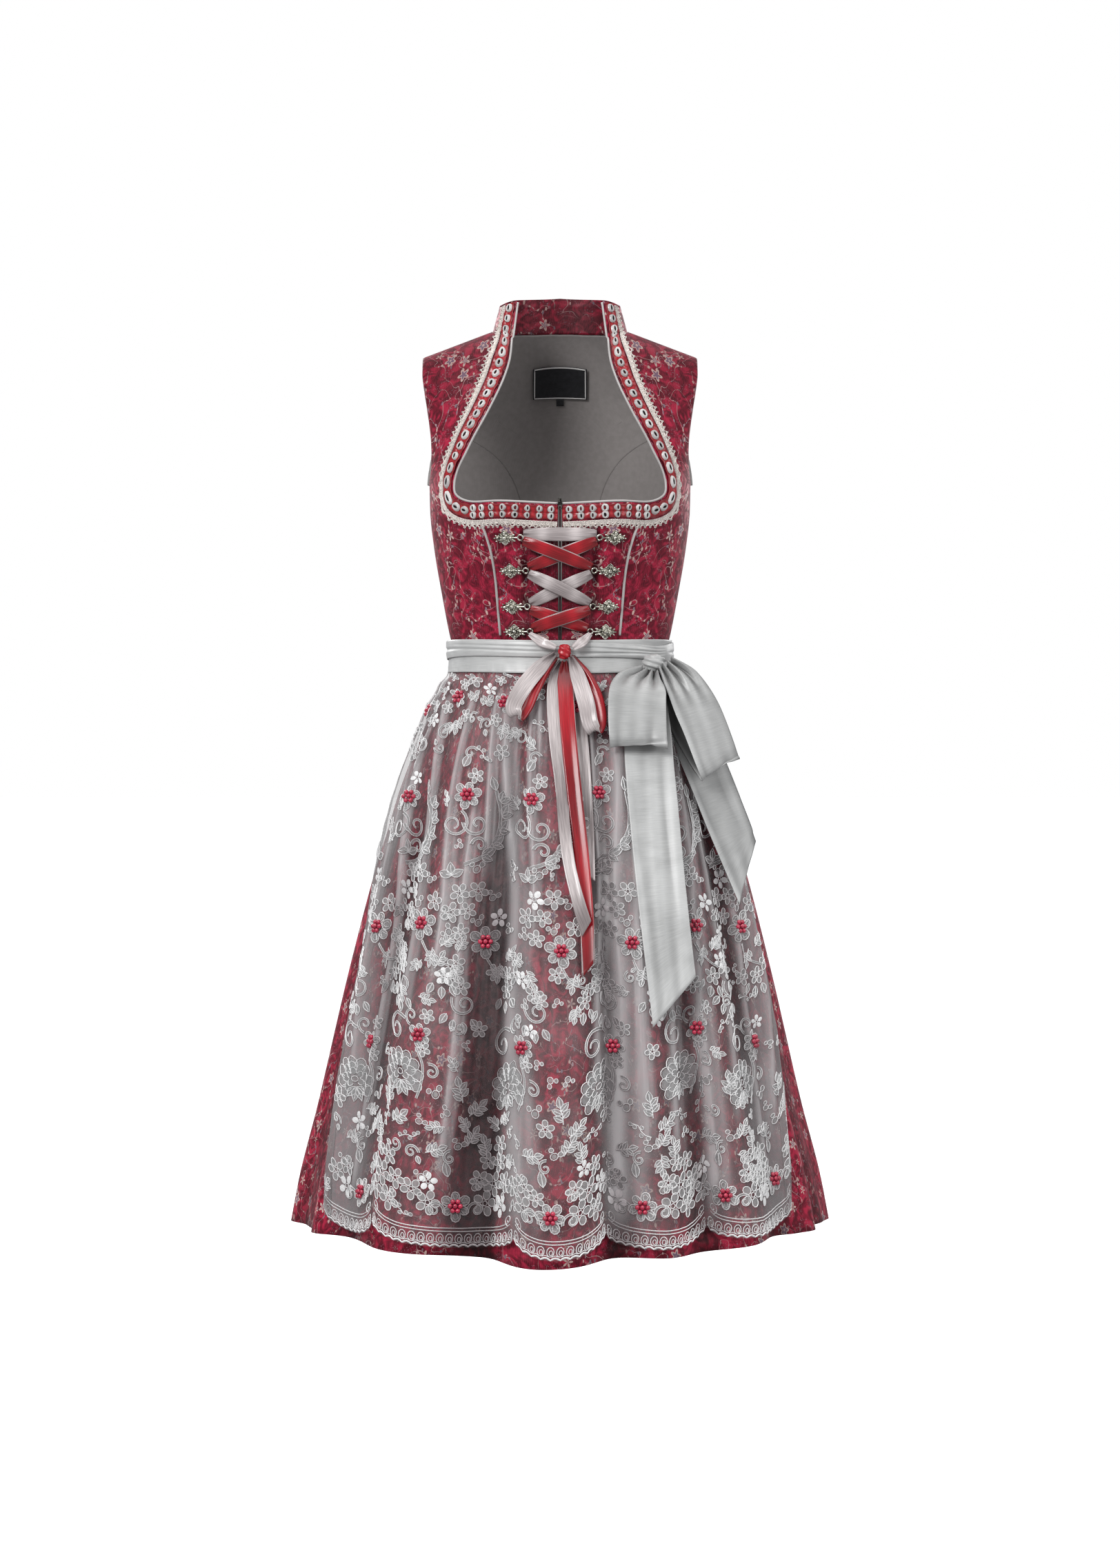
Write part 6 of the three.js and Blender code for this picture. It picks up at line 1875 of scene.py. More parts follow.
def shade_at(point):
    """The painted shade of the skirt's valley that a point of the apron lies over, which fades where its
    sides stand off.
    """
    angle = math.degrees(math.atan2(point.x / skirt.half(point.z), -point.y / skirt.front(point.z)))
    beside = smooth(abs(angle) / apron_edge(point.z), 0.66, 0.88)
    return painted_shade(round(angle, 1), point.z) * (1 - 0.75 * beside)


SIDE_HEM_THICK = 0.4


def make_apron():
    """The sheer apron, gathered into its band, with narrow doubled hems down its sides."""
    look = finishes()
    sheet, doubled = apron_sheet()
    cloth = (look.organza,)
    name, nodes, below = "apron_organza", ["apron_panel"], ["skirt_front"]
    piece = sew(name, sheet, thickness("organza"), cloth, "organza", nodes, "gathered", below)
    # Painted shade over the skirt's valleys.
    shade_points(piece, [shade_at(p) for row in sheet.rows for p in row])
    slopes = []
    for i, row in enumerate(sheet.rows):
        for j, p in enumerate(row):
            # Cloth seen edge on, down the side of a fold, looks denser too.
            flat = abs(sheet.normal(i, j).dot(Vector((p.x, p.y * 1.3, 0)).normalized()))
            edge = 0.6 * smooth(abs(j / (APRON_COLUMNS - 1) - 0.5), 0.34, 0.45)
            slopes.append(clamp(max(doubled[i][j], edge) + 0.9 * smooth(1 - flat, 0.25, 0.8)))
    shade_points(piece, slopes, "fold")
    for name, first in (("right", 0), ("left", APRON_COLUMNS - 5)):
        rows = [[sheet.at(i, j, 0.5)[0] for j in range(first, first + 5)] for i in range(APRON_ROWS)]
        title, doubled_cloth = f"apron_side_hem_{name}", (look.hem_organza,)
        sew(title, Sheet(rows), SIDE_HEM_THICK, doubled_cloth, "organza", [], "folded", ["apron_panel"])


# ------------------------------------------------------------------ waistband and tie
WAISTBAND = table(
    "z half front back",
    (-381, 129.1, 90.7, 90.5),
    (-372, 128.4, 89, 89),
    (-362, 128, 88.5, 88),
    (-352, 128, 88.5, 87.5),
    (-343.5, 129, 89, 87.5),
)
waistband = tracks(WAISTBAND, "z")
WAISTBAND_END = 96
TIE = table(
    "angle top bottom puff",
    (-180, -344, -376, 2.5),
    (-96, -344, -366, 1.5),
    (-40, -345, -362.5, 1.2),
    (15, -346, -363, 1.5),
    (40, -349, -365, 3),
    (58, -351, -368, 3.5),
    (80, -347, -368, 1.5),
    (120, -344, -372, 2),
    (180, -344, -376, 2.5),
)
# Folds pressed into the tie: where each starts and ends round the body, its height in the band, its depth.
TIE_FOLDS = table(
    "start end low high depth width",
    (-175, -60, 0.35, 0.5, 1.6, 0.07),
    (-120, 20, 0.62, 0.3, 1.5, 0.06),
    (-70, 66, 0.75, 0.55, 1.2, 0.05),
    (0, 66, 0.18, 0.45, 2.0, 0.07),
    (20, 66, 0.5, 0.62, 2.0, 0.06),
    (34, 66, 0.9, 0.75, 1.6, 0.06),
    (70, 176, 0.5, 0.4, 1.5, 0.08),
    (90, 176, 0.75, 0.7, 1.2, 0.07),
)


TIE_COLUMNS = 220


def band_point(angle, z, off):
    """A place on the apron's band, at a distance out from it."""
    half = waistband.half(z)
    depth = waistband.front(z) if abs(angle) < 90 else waistband.back(z)
    s, c = sin(angle), cos(angle)
    point = Vector((half * s, -depth * c, z - waist_sag(angle)))
    return point + Vector((s / half, -c / depth, 0)).normalized() * off


def tie_fold(angle, up):
    """How deep the folds of the tie are, up from 0 at its lower edge to 1 at its upper one."""
    depth = 0.0
    for fold in TIE_FOLDS:
        t = (angle - fold["start"]) / (fold["end"] - fold["start"])
        if 0 < t < 1:
            at = lerp(fold["low"], fold["high"], t)
            depth += fold["depth"] * math.sin(math.pi * t) ** 0.5 * bump(up, at, fold["width"])
    return depth


def make_waistband():
    """The apron's band and the tie wound round it."""
    look = finishes()
    thin = thickness("thin_cloth")
    tie = tracks(TIE, "angle")
    rows = []
    for z in evenly(20, WAISTBAND[0]["z"], WAISTBAND[-1]["z"]):
        row = []
        for angle in evenly(200, -WAISTBAND_END, WAISTBAND_END):
            pucker = 0.35 * math.sin(angle * 1.7 + 2 * math.sin(angle)) * smooth(-z, 366, 380)
            row.append(band_point(angle, z, 1.0 + pucker - 0.5 * bump(z, -378, 1.2)))
        rows.append(row)
    taffeta = (look.taffeta,)
    band = Sheet(rows)
    sew("waistband_cloth", band, thin, taffeta, "taffeta", ["apron_waistband"], "folded", ["skirt_front"])
    rows = []
    for up in evenly(24):
        row = []
        for n in range(TIE_COLUMNS):
            angle = n / TIE_COLUMNS * 360 - 180
            low, high = tie.bottom(angle), tie.top(angle)
            puffed = tie.puff(angle) * math.sin(up * math.pi) ** 0.7
            off = 2.8 + puffed - tie_fold(angle, up)
            row.append(band_point(angle, lerp(low, high, up), off))
        rows.append(row)
    ring_of, closed = Sheet(rows, wrap=True), [[*row, row[0]] for row in rows]
    sew("tie_cloth", ring_of, thin, taffeta, "taffeta", ["apron_tie"], "folded", ["apron_waistband"], closed)


# ------------------------------------------------------------------ embroidery
STITCH_LIFT = 0.7  # the stitches stand on the outer face of the organza


class FlatCloth:
    """The apron as flat cloth: u is millimetres along a row from its middle, v millimetres from the top."""

    def __init__(self, sheet):
        self.sheet = sheet
        runs = [run_along(row) for row in sheet.rows]
        self.runs = [[at - run[len(run) // 2] for at in run] for run in runs]
        self.down = run_along([row[len(row) // 2] for row in sheet.rows])

    def row_at(self, v):
        """The fractional row at a distance down."""
        i = min(max(bisect_left(self.down, v), 1), len(self.down) - 1)
        return i - 1 + clamp((v - self.down[i - 1]) / (self.down[i] - self.down[i - 1]))

    def place(self, u, v, off):
        """The point at a flat place, moved off the cloth, and the way out of it."""
        i = self.row_at(v)
        a = min(int(i), len(self.runs) - 2)
        columns = []
        for run in self.runs[a : a + 2]:
            j = min(max(bisect_left(run, u), 1), len(run) - 1)
            columns.append(j - 1 + clamp((u - run[j - 1]) / (run[j] - run[j - 1])))
        return self.sheet.at(i, lerp(*columns, i - a), off + STITCH_LIFT)

    def flat_place(self, angle, z):
        """The flat place of what lies at an angle and a height."""
        middle = [row[len(row) // 2].z for row in self.sheet.rows]
        i = min(range(len(middle)), key=lambda k: abs(middle[k] - z))
        t = clamp((angle / apron_edge(z) + 1) / 2)
        return self.runs[i][round(t * (len(self.runs[i]) - 1))], self.down[i]

    def room(self, u, v, margin):
        """Whether a place lies on the cloth, a margin in from its edges."""
        run = self.runs[round(self.row_at(v))]
        column = min(max(bisect_left(run, u), 0), len(run) - 1)
        deep = self.sheet.rows[-1][column].z + margin < self.place(u, v, 0)[0].z if v > 500 else True
        return run[0] + margin < u < run[-1] - margin and margin < v and deep


class Motifs:
    """Draws motifs on the flat cloth. Local x is to the right and y is up."""

    def __init__(self, made, cloth):
        self.made = made
        self.cloth = cloth
        self.taken = []
        self.florets = 0

    def spot(self, u, v, turn=0.0, size=1.0, flip=1, reach=8):
        """Says how local places round u, v lie on the cloth, and keeps their room free of small motifs."""
        self.taken.append((u, v, reach * size))
        c, s = cos(turn) * size, sin(turn) * size
        return lambda x, y: (u + flip * x * c - y * s, v - flip * x * s - y * c)

    def draw(self, put, path, **shape):
        """A cord through local places."""
        self.made.cord([put(x, y) for x, y in path], **shape)

    def fill(self, put, outline, height=0.35):
        """Satin stitch in a local outline."""
        self.made.dome([put(x, y) for x, y in outline], height)

    def petal(self, put, angle, start, length, width):
        """A round petal of some length from start, at an angle: open stitches in a double corded outline."""
        middle = start + length / 2
        x, y = middle * cos(angle), middle * sin(angle)
        self.fill(put, ring(x, y, length * 0.46, width * 0.46, angle, 7), 0.25)
        self.draw(put, ring(x, y, length / 2, width / 2, angle, 10), closed=True, width=1.2)
        if length > 11:
            self.draw(put, ring(x, y, length * 0.28, width * 0.28, angle, 6), closed=True, width=0.8)

    def floret(self, put):
        """Five round petals, 25 mm across, open or in solid satin stitch by turns, round an open middle."""
        self.florets += 1
        for n in range(5):
            turn = 90 + 72 * n
            if self.florets % 6:
                self.petal(put, turn, 3.4, 9.2, 7.6)
            else:
                around = ring(7.6 * cos(turn), 7.6 * sin(turn), 4.7, 3.7, turn, 9)
                self.made.dome([put(x, y) for x, y in around], 0.5, kind=0)
        self.draw(put, ring(0, 0, 2.4, count=8), closed=True)

    def bead_flower(self, put):
        """Six large petals, 42 mm across, that leave room for beads in the middle."""
        for n in range(6):
            turn = 60 * n + 8
            size = 1 - 0.14 * (n % 2)
            self.petal(put, turn, 6.2, 14.2 * size, 12.4 * size)
            for lean in (-16, 16):
                path = [(r * cos(turn + lean * r / 18), r * sin(turn + lean * r / 18)) for r in (8, 12, 16.5)]
                self.draw(put, path, width=0.8)
        self.draw(put, ring(0, 0, 6.6, count=14), closed=True, width=1.3)

    def leaf(self, put, x=0.0, y=0.0, turn=0.0, length=17, width=8):
        """A pointed leaf with its midrib, from its stalk at x, y."""
        move = shifted(x, y, turn)
        half = [(length * t, width / 2 * math.sin(math.pi * t**0.85)) for t in evenly(7)]
        outline = [move(a, b) for a, b in half] + [move(a, -b) for a, b in reversed(half[1:-1])]
        self.fill(put, outline, 0.3)
        self.draw(put, outline, closed=True)
        self.draw(put, [move(length * t, 0) for t in (0, 0.35, 0.8)], width=1.2)

    def scroll(self, put, x=0.0, y=0.0, turn=0.0, size=15, curls=1.35, flip=1):
        """A C-scroll that ends in a curl: two cords with fine stitches between them."""
        move, paths = shifted(x, y, turn), []
        for offset in (-1.3, 0.0, 1.3):
            path = []
            for t in evenly(26):
                angle = 360 * curls * t
                radius = size * (1 - 0.8 * t**0.8) + offset * (1 - 0.55 * t)
                shift = size * 0.16 * (1 - t)
                path.append((shift + radius * cos(angle), flip * radius * sin(angle)))
            paths.append([move(a, b) for a, b in path])
        self.made.band([put(a, b) for a, b in paths[1]], 2.3, 0.3)
        self.draw(put, paths[0], width=0.95)
        self.draw(put, paths[2], width=0.95)

    def stem(self, put, path, width=2.0):
        """A thick stem through a few places: two cords over a filled band."""
        curve = curve_through([Vector((x, y, 0)) for x, y in path])
        points = [curve(t) for t in evenly(6 * len(path))]
        self.made.band([put(p.x, p.y) for p in points], width, 0.45)
        for side in (-0.5, 0.5):
            edge = []
            for k, p in enumerate(points):
                ahead = points[min(k + 1, len(points) - 1)] - points[max(k - 1, 0)]
                across = Vector((-ahead.y, ahead.x, 0)).normalized()
                edge.append(put(*(p + across * side * width)[:2]))
            self.made.cord(edge, 0.9)

    def plume(self, put, lean=1):
        """An acanthus plume, 50 mm by 75: a curved stem with leaves on its outer side and curls inside."""
        spine = ((-16, -36), (2, -26), (13, -8), (14, 14), (8, 34))
        self.stem(put, [(x * lean, y) for x, y in spine], 3.0)
        for n, (x, y) in enumerate([(0, -27), (9, -16), (14.5, -3), (15.5, 11), (13, 24)]):
            self.leaf(put, x * lean, y, (34 + 10 * n if lean > 0 else 146 - 10 * n), 15 - n, 8)
            self.leaf(put, x * lean, y, (-20 + 10 * n if lean > 0 else 200 - 10 * n), 10.5, 6.5)
        self.scroll(put, -6 * lean, 2, 90 + 90 * lean, 12, 1.2, lean)
        self.scroll(put, -2 * lean, -17, 90 + 90 * lean, 8, 1.1, -lean)
        self.leaf(put, 8 * lean, 34, 90 + 20 * lean, 14, 7)

    def peony(self, put):
        """A full flower seen from the side: three tiers of scallops over a cup."""
        for radius, petals, lift in ((15, 9, 0), (10.5, 7, 1.5), (6, 5, 2.5)):
            for n in range(petals):
                turn = -35 + 250 * n / (petals - 1)
                x, y = radius * cos(turn), radius * sin(turn) + lift
                size = 0.34 * radius + 1.2
                self.fill(put, ring(x, y, size * 0.85, size * 0.7, turn, 8))
                self.draw(put, ring(x, y, size, size * 0.8, turn, 9, -125, 250))
        self.draw(put, ring(0, 2, 3, 2.4, 0, 8), closed=True)
        for turn in (215, 250, 290, 325):
            self.leaf(put, 0, -5, turn, 13, 6.5)

    def sprig(self, put, count=5):
        """A short twig with a leaf on each side and one at its end."""
        self.draw(put, [(0, -12), (1.2, -4), (0.6, 5)], width=1.3)
        self.leaf(put, 0.6, 4, 88, 12, 7)
        for n in range(count - 1):
            side = 1 if n % 2 else -1
            self.leaf(put, 0.8, -9 + 3.4 * n, 90 - side * 52, 11, 6)

    def curl(self, put):
        """A small scroll with a leaf."""
        self.scroll(put, 0, 0, 0, 9, 1.3)
        self.leaf(put, 8, -4, -70, 10, 6)

    def ring_pair(self, put):
        """Three filled rings side by side."""
        for x, y, r in ((0, 0, 4.4), (7.2, 2.4, 3.2), (-3.2, 6.6, 2.8)):
            self.draw(put, ring(x, y, r, r * 0.85, 30, 9), closed=True)
            self.fill(put, ring(x, y, r * 0.7, r * 0.6, 30, 7), 0.25)

    def bud_chain(self, put):
        """A curved stalk with five buds."""
        self.draw(put, [(-14, -6), (-7, -1), (0, 1), (8, 0), (14, 5)], width=1.2)
        for x, y in ((-13, -2), (-5, 4), (3, -3), (9, 5), (15, 8)):
            self.fill(put, ring(x, y, 2.6, 2.1, 20, 7), 0.4)
            self.draw(put, ring(x, y, 3, 2.5, 20, 8), closed=True, width=0.9)


# Where the beaded flowers are: the angle and the height of each, by rows down the apron.
MIDDLE_BEADS = ((-58.5, -672), (-39, -668), (-20.5, -685), (0.5, -690), (19, -687), (38, -676), (58.5, -672))
BEAD_ROWS = (
    ("waist", ((-77, -432), (-51.5, -415), (-23.5, -420), (6, -424), (31, -418), (58, -424), (80, -436))),
    ("upper", ((-60, -530), (-32, -522), (-9.5, -530), (13, -526), (38, -534), (62, -528))),
    ("middle", MIDDLE_BEADS),
    ("lower", ((-52, -806), (-34.5, -792), (-8.5, -800), (13, -805), (35, -790), (54, -800))),
    ("hem", ((-45, -972), (-22, -972), (-2, -973), (17, -973), (36, -972), (52, -970))),
)


def waist_group(motifs, u, v, n):
    """A small beaded flower among florets and sprigs."""
    flip = 1 if n % 2 else -1
    motifs.bead_flower(motifs.spot(u, v, 10 * n, 0.62, reach=18))
    for x, y, turn in ((-17, 14, 20), (16, 17, 50), (-19, -13, 0), (13, -22, 35), (0, 30, 10)):
        motifs.floret(motifs.spot(u + flip * x, v - y, turn + 9 * n, 0.66))
    for x, y, turn in ((26, 2, 40), (-28, 4, 130), (2, -34, 260), (-12, -38, 215)):
        motifs.sprig(motifs.spot(u + flip * x, v - y, turn - 90, 0.8))
    motifs.curl(motifs.spot(u + flip * 26, v + 26, 40, 0.9, flip))
    motifs.scroll(motifs.spot(u - flip * 20, v + 44, 20, 0.9, flip), 0, 0, 0, 13, 1.3)


def upper_group(motifs, u, v, n):
    """A beaded flower with a plume and a scroll below it."""
    motifs.bead_flower(motifs.spot(u, v, 7 * n, 0.85, reach=20))
    put = motifs.spot(u - 2, v - 40, 0, 1.0, reach=12)
    motifs.leaf(put, -2, -6, 62, 17, 10)
    motifs.scroll(put, 5, 10, 20, 8, 1.1)
    motifs.floret(motifs.spot(u + 11, v - 23, 14, 0.75))
    motifs.plume(motifs.spot(u + 20, v + 38, -6, 1.3, reach=24), 1)
    motifs.scroll(motifs.spot(u - 17, v + 36, 0, 1.1, reach=16), 0, 0, 60, 16, 1.4, -1)
    motifs.ring_pair(motifs.spot(u + 10, v + 88, 20, 1.1, reach=9))
    motifs.sprig(motifs.spot(u - 28, v + 6, 30, 0.8))


def middle_group(motifs, u, v, n):
    """A beaded flower among florets, over two fans of leaves."""
    motifs.bead_flower(motifs.spot(u, v, 11 * n, 0.95, reach=20))
    put = motifs.spot(u - 40, v - 76, 0, 1.0, reach=16)
    for turn in (25, 95, 165):
        motifs.leaf(put, 0, 0, turn, 16, 9)
    for x, y, size in (
        *((-30, 56, 0.95), (-8, 58, 0.95), (-40, 34, 0.95)),
        *((-20, 36, 0.8), (16, 26, 0.9), (-28, 12, 0.8)),
    ):
        motifs.floret(motifs.spot(u + x, v - y, 13 * x, size))
    for x, y, turn in ((8, 50, 0), (-8, 22, 40), (30, 10, -20), (-42, 12, 80)):
        motifs.ring_pair(motifs.spot(u + x, v - y, turn, 0.95))
    motifs.stem(motifs.spot(u, v, 0, 1.0), [(1, -19), (8, -31), (20, -40), (36, -46)])
    for x, y, turn in ((-54, -20, 60), (-34, -34, 300), (14, -36, 260), (34, -18, 40)):
        motifs.sprig(motifs.spot(u + x, v - y, turn - 90, 0.85))
    for x, y in ((-46, -38), (-30, -50), (28, -58), (44, -44)):
        motifs.floret(motifs.spot(u + x, v - y, 5 * x, 0.85))
    put = motifs.spot(u - 32, v + 74, 0, 1.0, reach=18)
    motifs.scroll(put, 6, 4, 150, 15, 1.35, 1)
    for n, (x, y) in enumerate([(-16, -6), (-8, -13), (2, -16), (12, -13)]):
        motifs.leaf(put, x, y, 235 + 22 * n, 14, 8)
    put = motifs.spot(u + 26, v + 66, 0, 1.0, reach=15)
    for n, (x, y) in enumerate([(-10, 0), (0, -4), (10, -2)]):
        motifs.leaf(put, x, y, 240 + 26 * n, 14, 8)


def lower_group(motifs, u, v, n):
    """A beaded flower with scrolls, and a peony below it."""
    motifs.bead_flower(motifs.spot(u, v, 17 * n, 0.7, reach=19))
    motifs.scroll(motifs.spot(u - 36, v - 2, 0, 1.25, reach=16), 0, 0, 40, 15, 1.4, 1)
    motifs.scroll(motifs.spot(u - 10, v - 22, 0, 1.0, reach=12), 0, 0, 260, 10, 1.2, -1)
    motifs.peony(motifs.spot(u - 26, v + 48, 8, 1.4, reach=20))
    motifs.stem(motifs.spot(u, v, 0, 1.0), [(-4, -14), (3, -34), (0, -56), (-6, -72)], 2.0)
    motifs.scroll(motifs.spot(u + 13, v + 42, 0, 1.0, reach=10), 0, 0, 110, 9, 1.25, -1)
    motifs.ring_pair(motifs.spot(u + 16, v + 66, 40, 1.1))
    motifs.sprig(motifs.spot(u + 44, v + 62, 12, 1.1, reach=12))
    motifs.sprig(motifs.spot(u + 62, v + 82, -48, 1.0, reach=12))
    for x, y in ((4, -16), (10, 22)):
        motifs.floret(motifs.spot(u + x, v - y, 30 * n, 0.7))


def hem_group(motifs, u, v, n):
    """A beaded flower among florets, just above the edge."""
    motifs.bead_flower(motifs.spot(u, v, 23 * n, 0.85, reach=19))
    put = motifs.spot(u - 10, v - 46, 0, 1.0, reach=14)
    motifs.scroll(put, 4, 6, 80, 8, 1.2, 1)
    motifs.leaf(put, 2, -14, 100, 18, 9)
    for x, y, size in (
        *[(33, 2, 1.15), (57, -1, 1.1), (45, 23, 1.15), (66, 24, 0.95), (27, 28, 0.9)],
        *[(-31, 3, 1.1), (-49, 16, 1.0), (-30, 26, 0.9), (56, 46, 0.9), (38, 48, 0.8)],
    ):
        motifs.floret(motifs.spot(u + x, v - y, 17 * x, size))
    for x, y, turn in ((4, 66, 0), (60, 2, 60), (-38, 30, 20), (22, 20, 0)):
        motifs.ring_pair(motifs.spot(u + x, v - y, turn, 1.0))
    for x, y, turn in ((20, 76, 60), (34, 64, 100), (-22, 62, 20)):
        motifs.sprig(motifs.spot(u + x, v - y, turn - 90, 0.95))
    for side in (-1, 1):
        motifs.scroll(motifs.spot(u + 24 * side, v + 4, 0, 1.0, side, reach=10), 0, 0, 200, 10, 1.3, -1)


GROUPS = {
    "waist": waist_group,
    "upper": upper_group,
    "middle": middle_group,
    "lower": lower_group,
    "hem": hem_group,
}


class HemCloth:
    """The apron near its hem: s is millimetres along the edge and up is millimetres above it."""

    def __init__(self, sheet):
        self.sheet = sheet
        self.run = run_along(sheet.rows[-1])

    def along(self, angle):
        """The distance along the edge at an angle."""
        return self.run[round((angle / APRON_NOTCHES[-1] + 1) / 2 * (len(self.run) - 1))]

    def place(self, s, up, off):
        """The point at a place by the edge, moved off the cloth, and the way out of it."""
        j = min(max(bisect_left(self.run, s), 1), len(self.run) - 1)
        last = len(self.sheet.rows) - 1
        row_step = (self.sheet.rows[last - 3][j] - self.sheet.rows[last][j]).length / 3
        column = j - 1 + clamp((s - self.run[j - 1]) / (self.run[j] - self.run[j - 1]))
        return self.sheet.at(last - up / row_step, column, off)


SCALLET = 10.5  # pitch of the small scallops along the edge


def hem_border(made, edge):
    """The corded edge: small scallops on each large one, a row of loops above, and two long curled arcs."""
    for left, right in zip(APRON_NOTCHES, APRON_NOTCHES[1:]):
        start, end = edge.along(left) + 1.5, edge.along(right) - 1.5
        count = max(3, round((end - start) / SCALLET))
        pitch = (end - start) / count
        steps = range(6 * count + 1)
        rim = [(start + pitch * n / 6, 0.7 + 2.4 * abs(math.cos(math.pi * n / 6))) for n in steps]
        made.cord(rim, 2.1, 1.1)
        made.cord([(x, y + 2.6) for x, y in rim[::2]], 0.9, 0.7)
        for n in range(count):
            middle = start + pitch * (n + 0.5)
            made.cord(ring(middle, 9.4, 5.2, 4.0, 78, 10), 1.0, 0.6, closed=True)
            made.cord(ring(middle + 0.5, 8.6, 2.7, 1.9, 78, 7), 0.9, 0.5, closed=True)
        for up in (17.2, 20.6):
            arc = []
            for t in evenly(max(16, 2 * count), 0.03, 0.97):
                arc.append((lerp(start, end, t), up + 5 * (2 * t - 1) ** 6))
            made.cord(arc, 1.15, 0.8)
        for side, x in ((1, start + 8), (-1, end - 8)):
            curl = []
            for n in range(16):
                radius = 6.2 - 0.33 * n
                curl.append((x + side * radius * cos(30 * n - 90), 26 + radius * sin(30 * n - 90)))
            made.cord(curl, 1.0, 0.8)


SPRINKLE_STEP = 17
KNEE_DOWN = 362  # where the upper embroidery ends and the lower starts, down the cloth


def sprinkle(motifs, low, high, seed):
    """Fills the room between the large motifs with small ones, densest at the waist and the hem."""
    cloth = motifs.cloth
    kinds = (motifs.floret, motifs.ring_pair, motifs.sprig, motifs.bud_chain, motifs.curl)
    count = 0
    v = low
    while v < high:
        run = cloth.runs[round(cloth.row_at(v))]
        u = run[0]
        while u < run[-1]:
            count += 1
            a, b, c = (uneven(seed + 3 * count + k) for k in range(3))
            x, y = u + SPRINKLE_STEP * a, v + SPRINKLE_STEP * b
            ends = 0.84 * smooth(y, 440, 520) + 0.7 * (1 - smooth(y, 60, 130))
            dense = 0.16 + ends + 0.35 * bump(y, 320, 40)
            reach = 8.5 + 3 * c
            clear = all((x - p) ** 2 + (y - q) ** 2 > (r * 0.86 + reach) ** 2 for p, q, r in motifs.taken)
            if clear and c < dense and cloth.room(x, y, 8):
                kinds[int(5 * a)](motifs.spot(x, y, 360 * b, 0.74 + 0.26 * c, reach=10))
            u += SPRINKLE_STEP
        v += SPRINKLE_STEP


def make_embroidery():
    """Corded flowers, leaves and scrolls on the apron, in two pieces: above and below the knee."""
    look = finishes()
    cloth = FlatCloth(apron_sheet()[0])
    beads = []
    for name, rows, low, high, seed in (
        ("upper", BEAD_ROWS[:3], 8, KNEE_DOWN, 0),
        ("lower", BEAD_ROWS[3:], KNEE_DOWN, 622, 500),
    ):
        motifs = Motifs(Stitches(cloth.place), cloth)
        for row, flowers in rows:
            for n, (angle, z) in enumerate(flowers):
                u, v = cloth.flat_place(angle, z)
                GROUPS[row](motifs, u, v, n)
                beads.append(cloth.place(u, v, 0.6))
        if name == "lower":
            edge = HemCloth(cloth.sheet)
            border = Stitches(edge.place)
            hem_border(border, edge)
            motifs.made.take(border)
        sprinkle(motifs, low, high, seed)
        piece = motifs.made.made(f"embroidery_{name}", (look.cord, look.stitch))
        # Painted shade on the stitches that lie over the skirt's valleys.
        shade_points(piece, [shade_at(point) for point in motifs.made.points])
        settle(piece, "lace")
    make_beads(beads)


def deselect():
    """Leaves nothing selected, as the mesh operators need."""
    bpy.ops.object.select_all(action="DESELECT")


def primitive(kind, **shape):
    """A new mesh primitive, the only thing selected."""
    deselect()
    getattr(bpy.ops.mesh, f"primitive_{kind}_add")(**shape)
    return bpy.context.object


def make_beads(places):
    """Seven pearl beads in the middle of each flower, one modelled and the rest copied."""
    look = finishes()
    radius = bpy.context.scene.dirndl_sizes.bead / 2
    bead = primitive("ico_sphere", subdivisions=2, radius=radius)
    bpy.ops.object.mode_set(mode="EDIT")
    bpy.ops.mesh.select_all(action="SELECT")
    bpy.ops.transform.resize(value=(1, 1, 0.86))
    bpy.ops.object.mode_set(mode="OBJECT")
    shape = [v.co.copy() for v in bead.data.vertices]
    facets = [tuple(p.vertices) for p in bead.data.polygons]
    bpy.data.objects.remove(bead)
    points, faces = [], []
    for point, out in places:
        across = Vector((0, 0, 1)).cross(out).normalized()
        up = out.cross(across)
        ring_radius = 2.02 * radius / MM
        around = [across * ring_radius * cos(60 * n) + up * ring_radius * sin(60 * n) for n in range(6)]
        for n, spot in enumerate([Vector((0, 0, 0)), *around]):
            start = len(points)
            middle = point + spot + out * (radius / MM * (0.75 if n else 1.1))
            for co in shape:
                points.append(middle + (across * co.x + up * co.y + out * co.z) / MM)
            faces += [tuple(start + k for k in facet) for facet in facets]
    settle(mesh_piece("apron_beads", points, faces, None, (look.bead,)), "red_satin")


# ------------------------------------------------------------------ hooks, zip and labels
def joined_parts(parts, name):
    """Joins the active scene's new parts into one mesh object."""
    deselect()
    for part in parts:
        part.select_set(True)
    bpy.context.view_layer.objects.active = parts[0]
    bpy.ops.object.join()
    whole = bpy.context.object
    whole.name = name
    bpy.ops.object.transform_apply(location=True, rotation=True, scale=True)
    return whole


def cast_leaf(place, scale, turn, tip=0):
    """A leaf of the casting: a ball of 1 mm radius, drawn out by a scale and turned."""
    leaf = primitive("uv_sphere", segments=12, ring_count=8, radius=MM, location=place)
    leaf.scale = scale
    leaf.rotation_euler = (0, math.radians(tip), math.radians(turn))
    return leaf


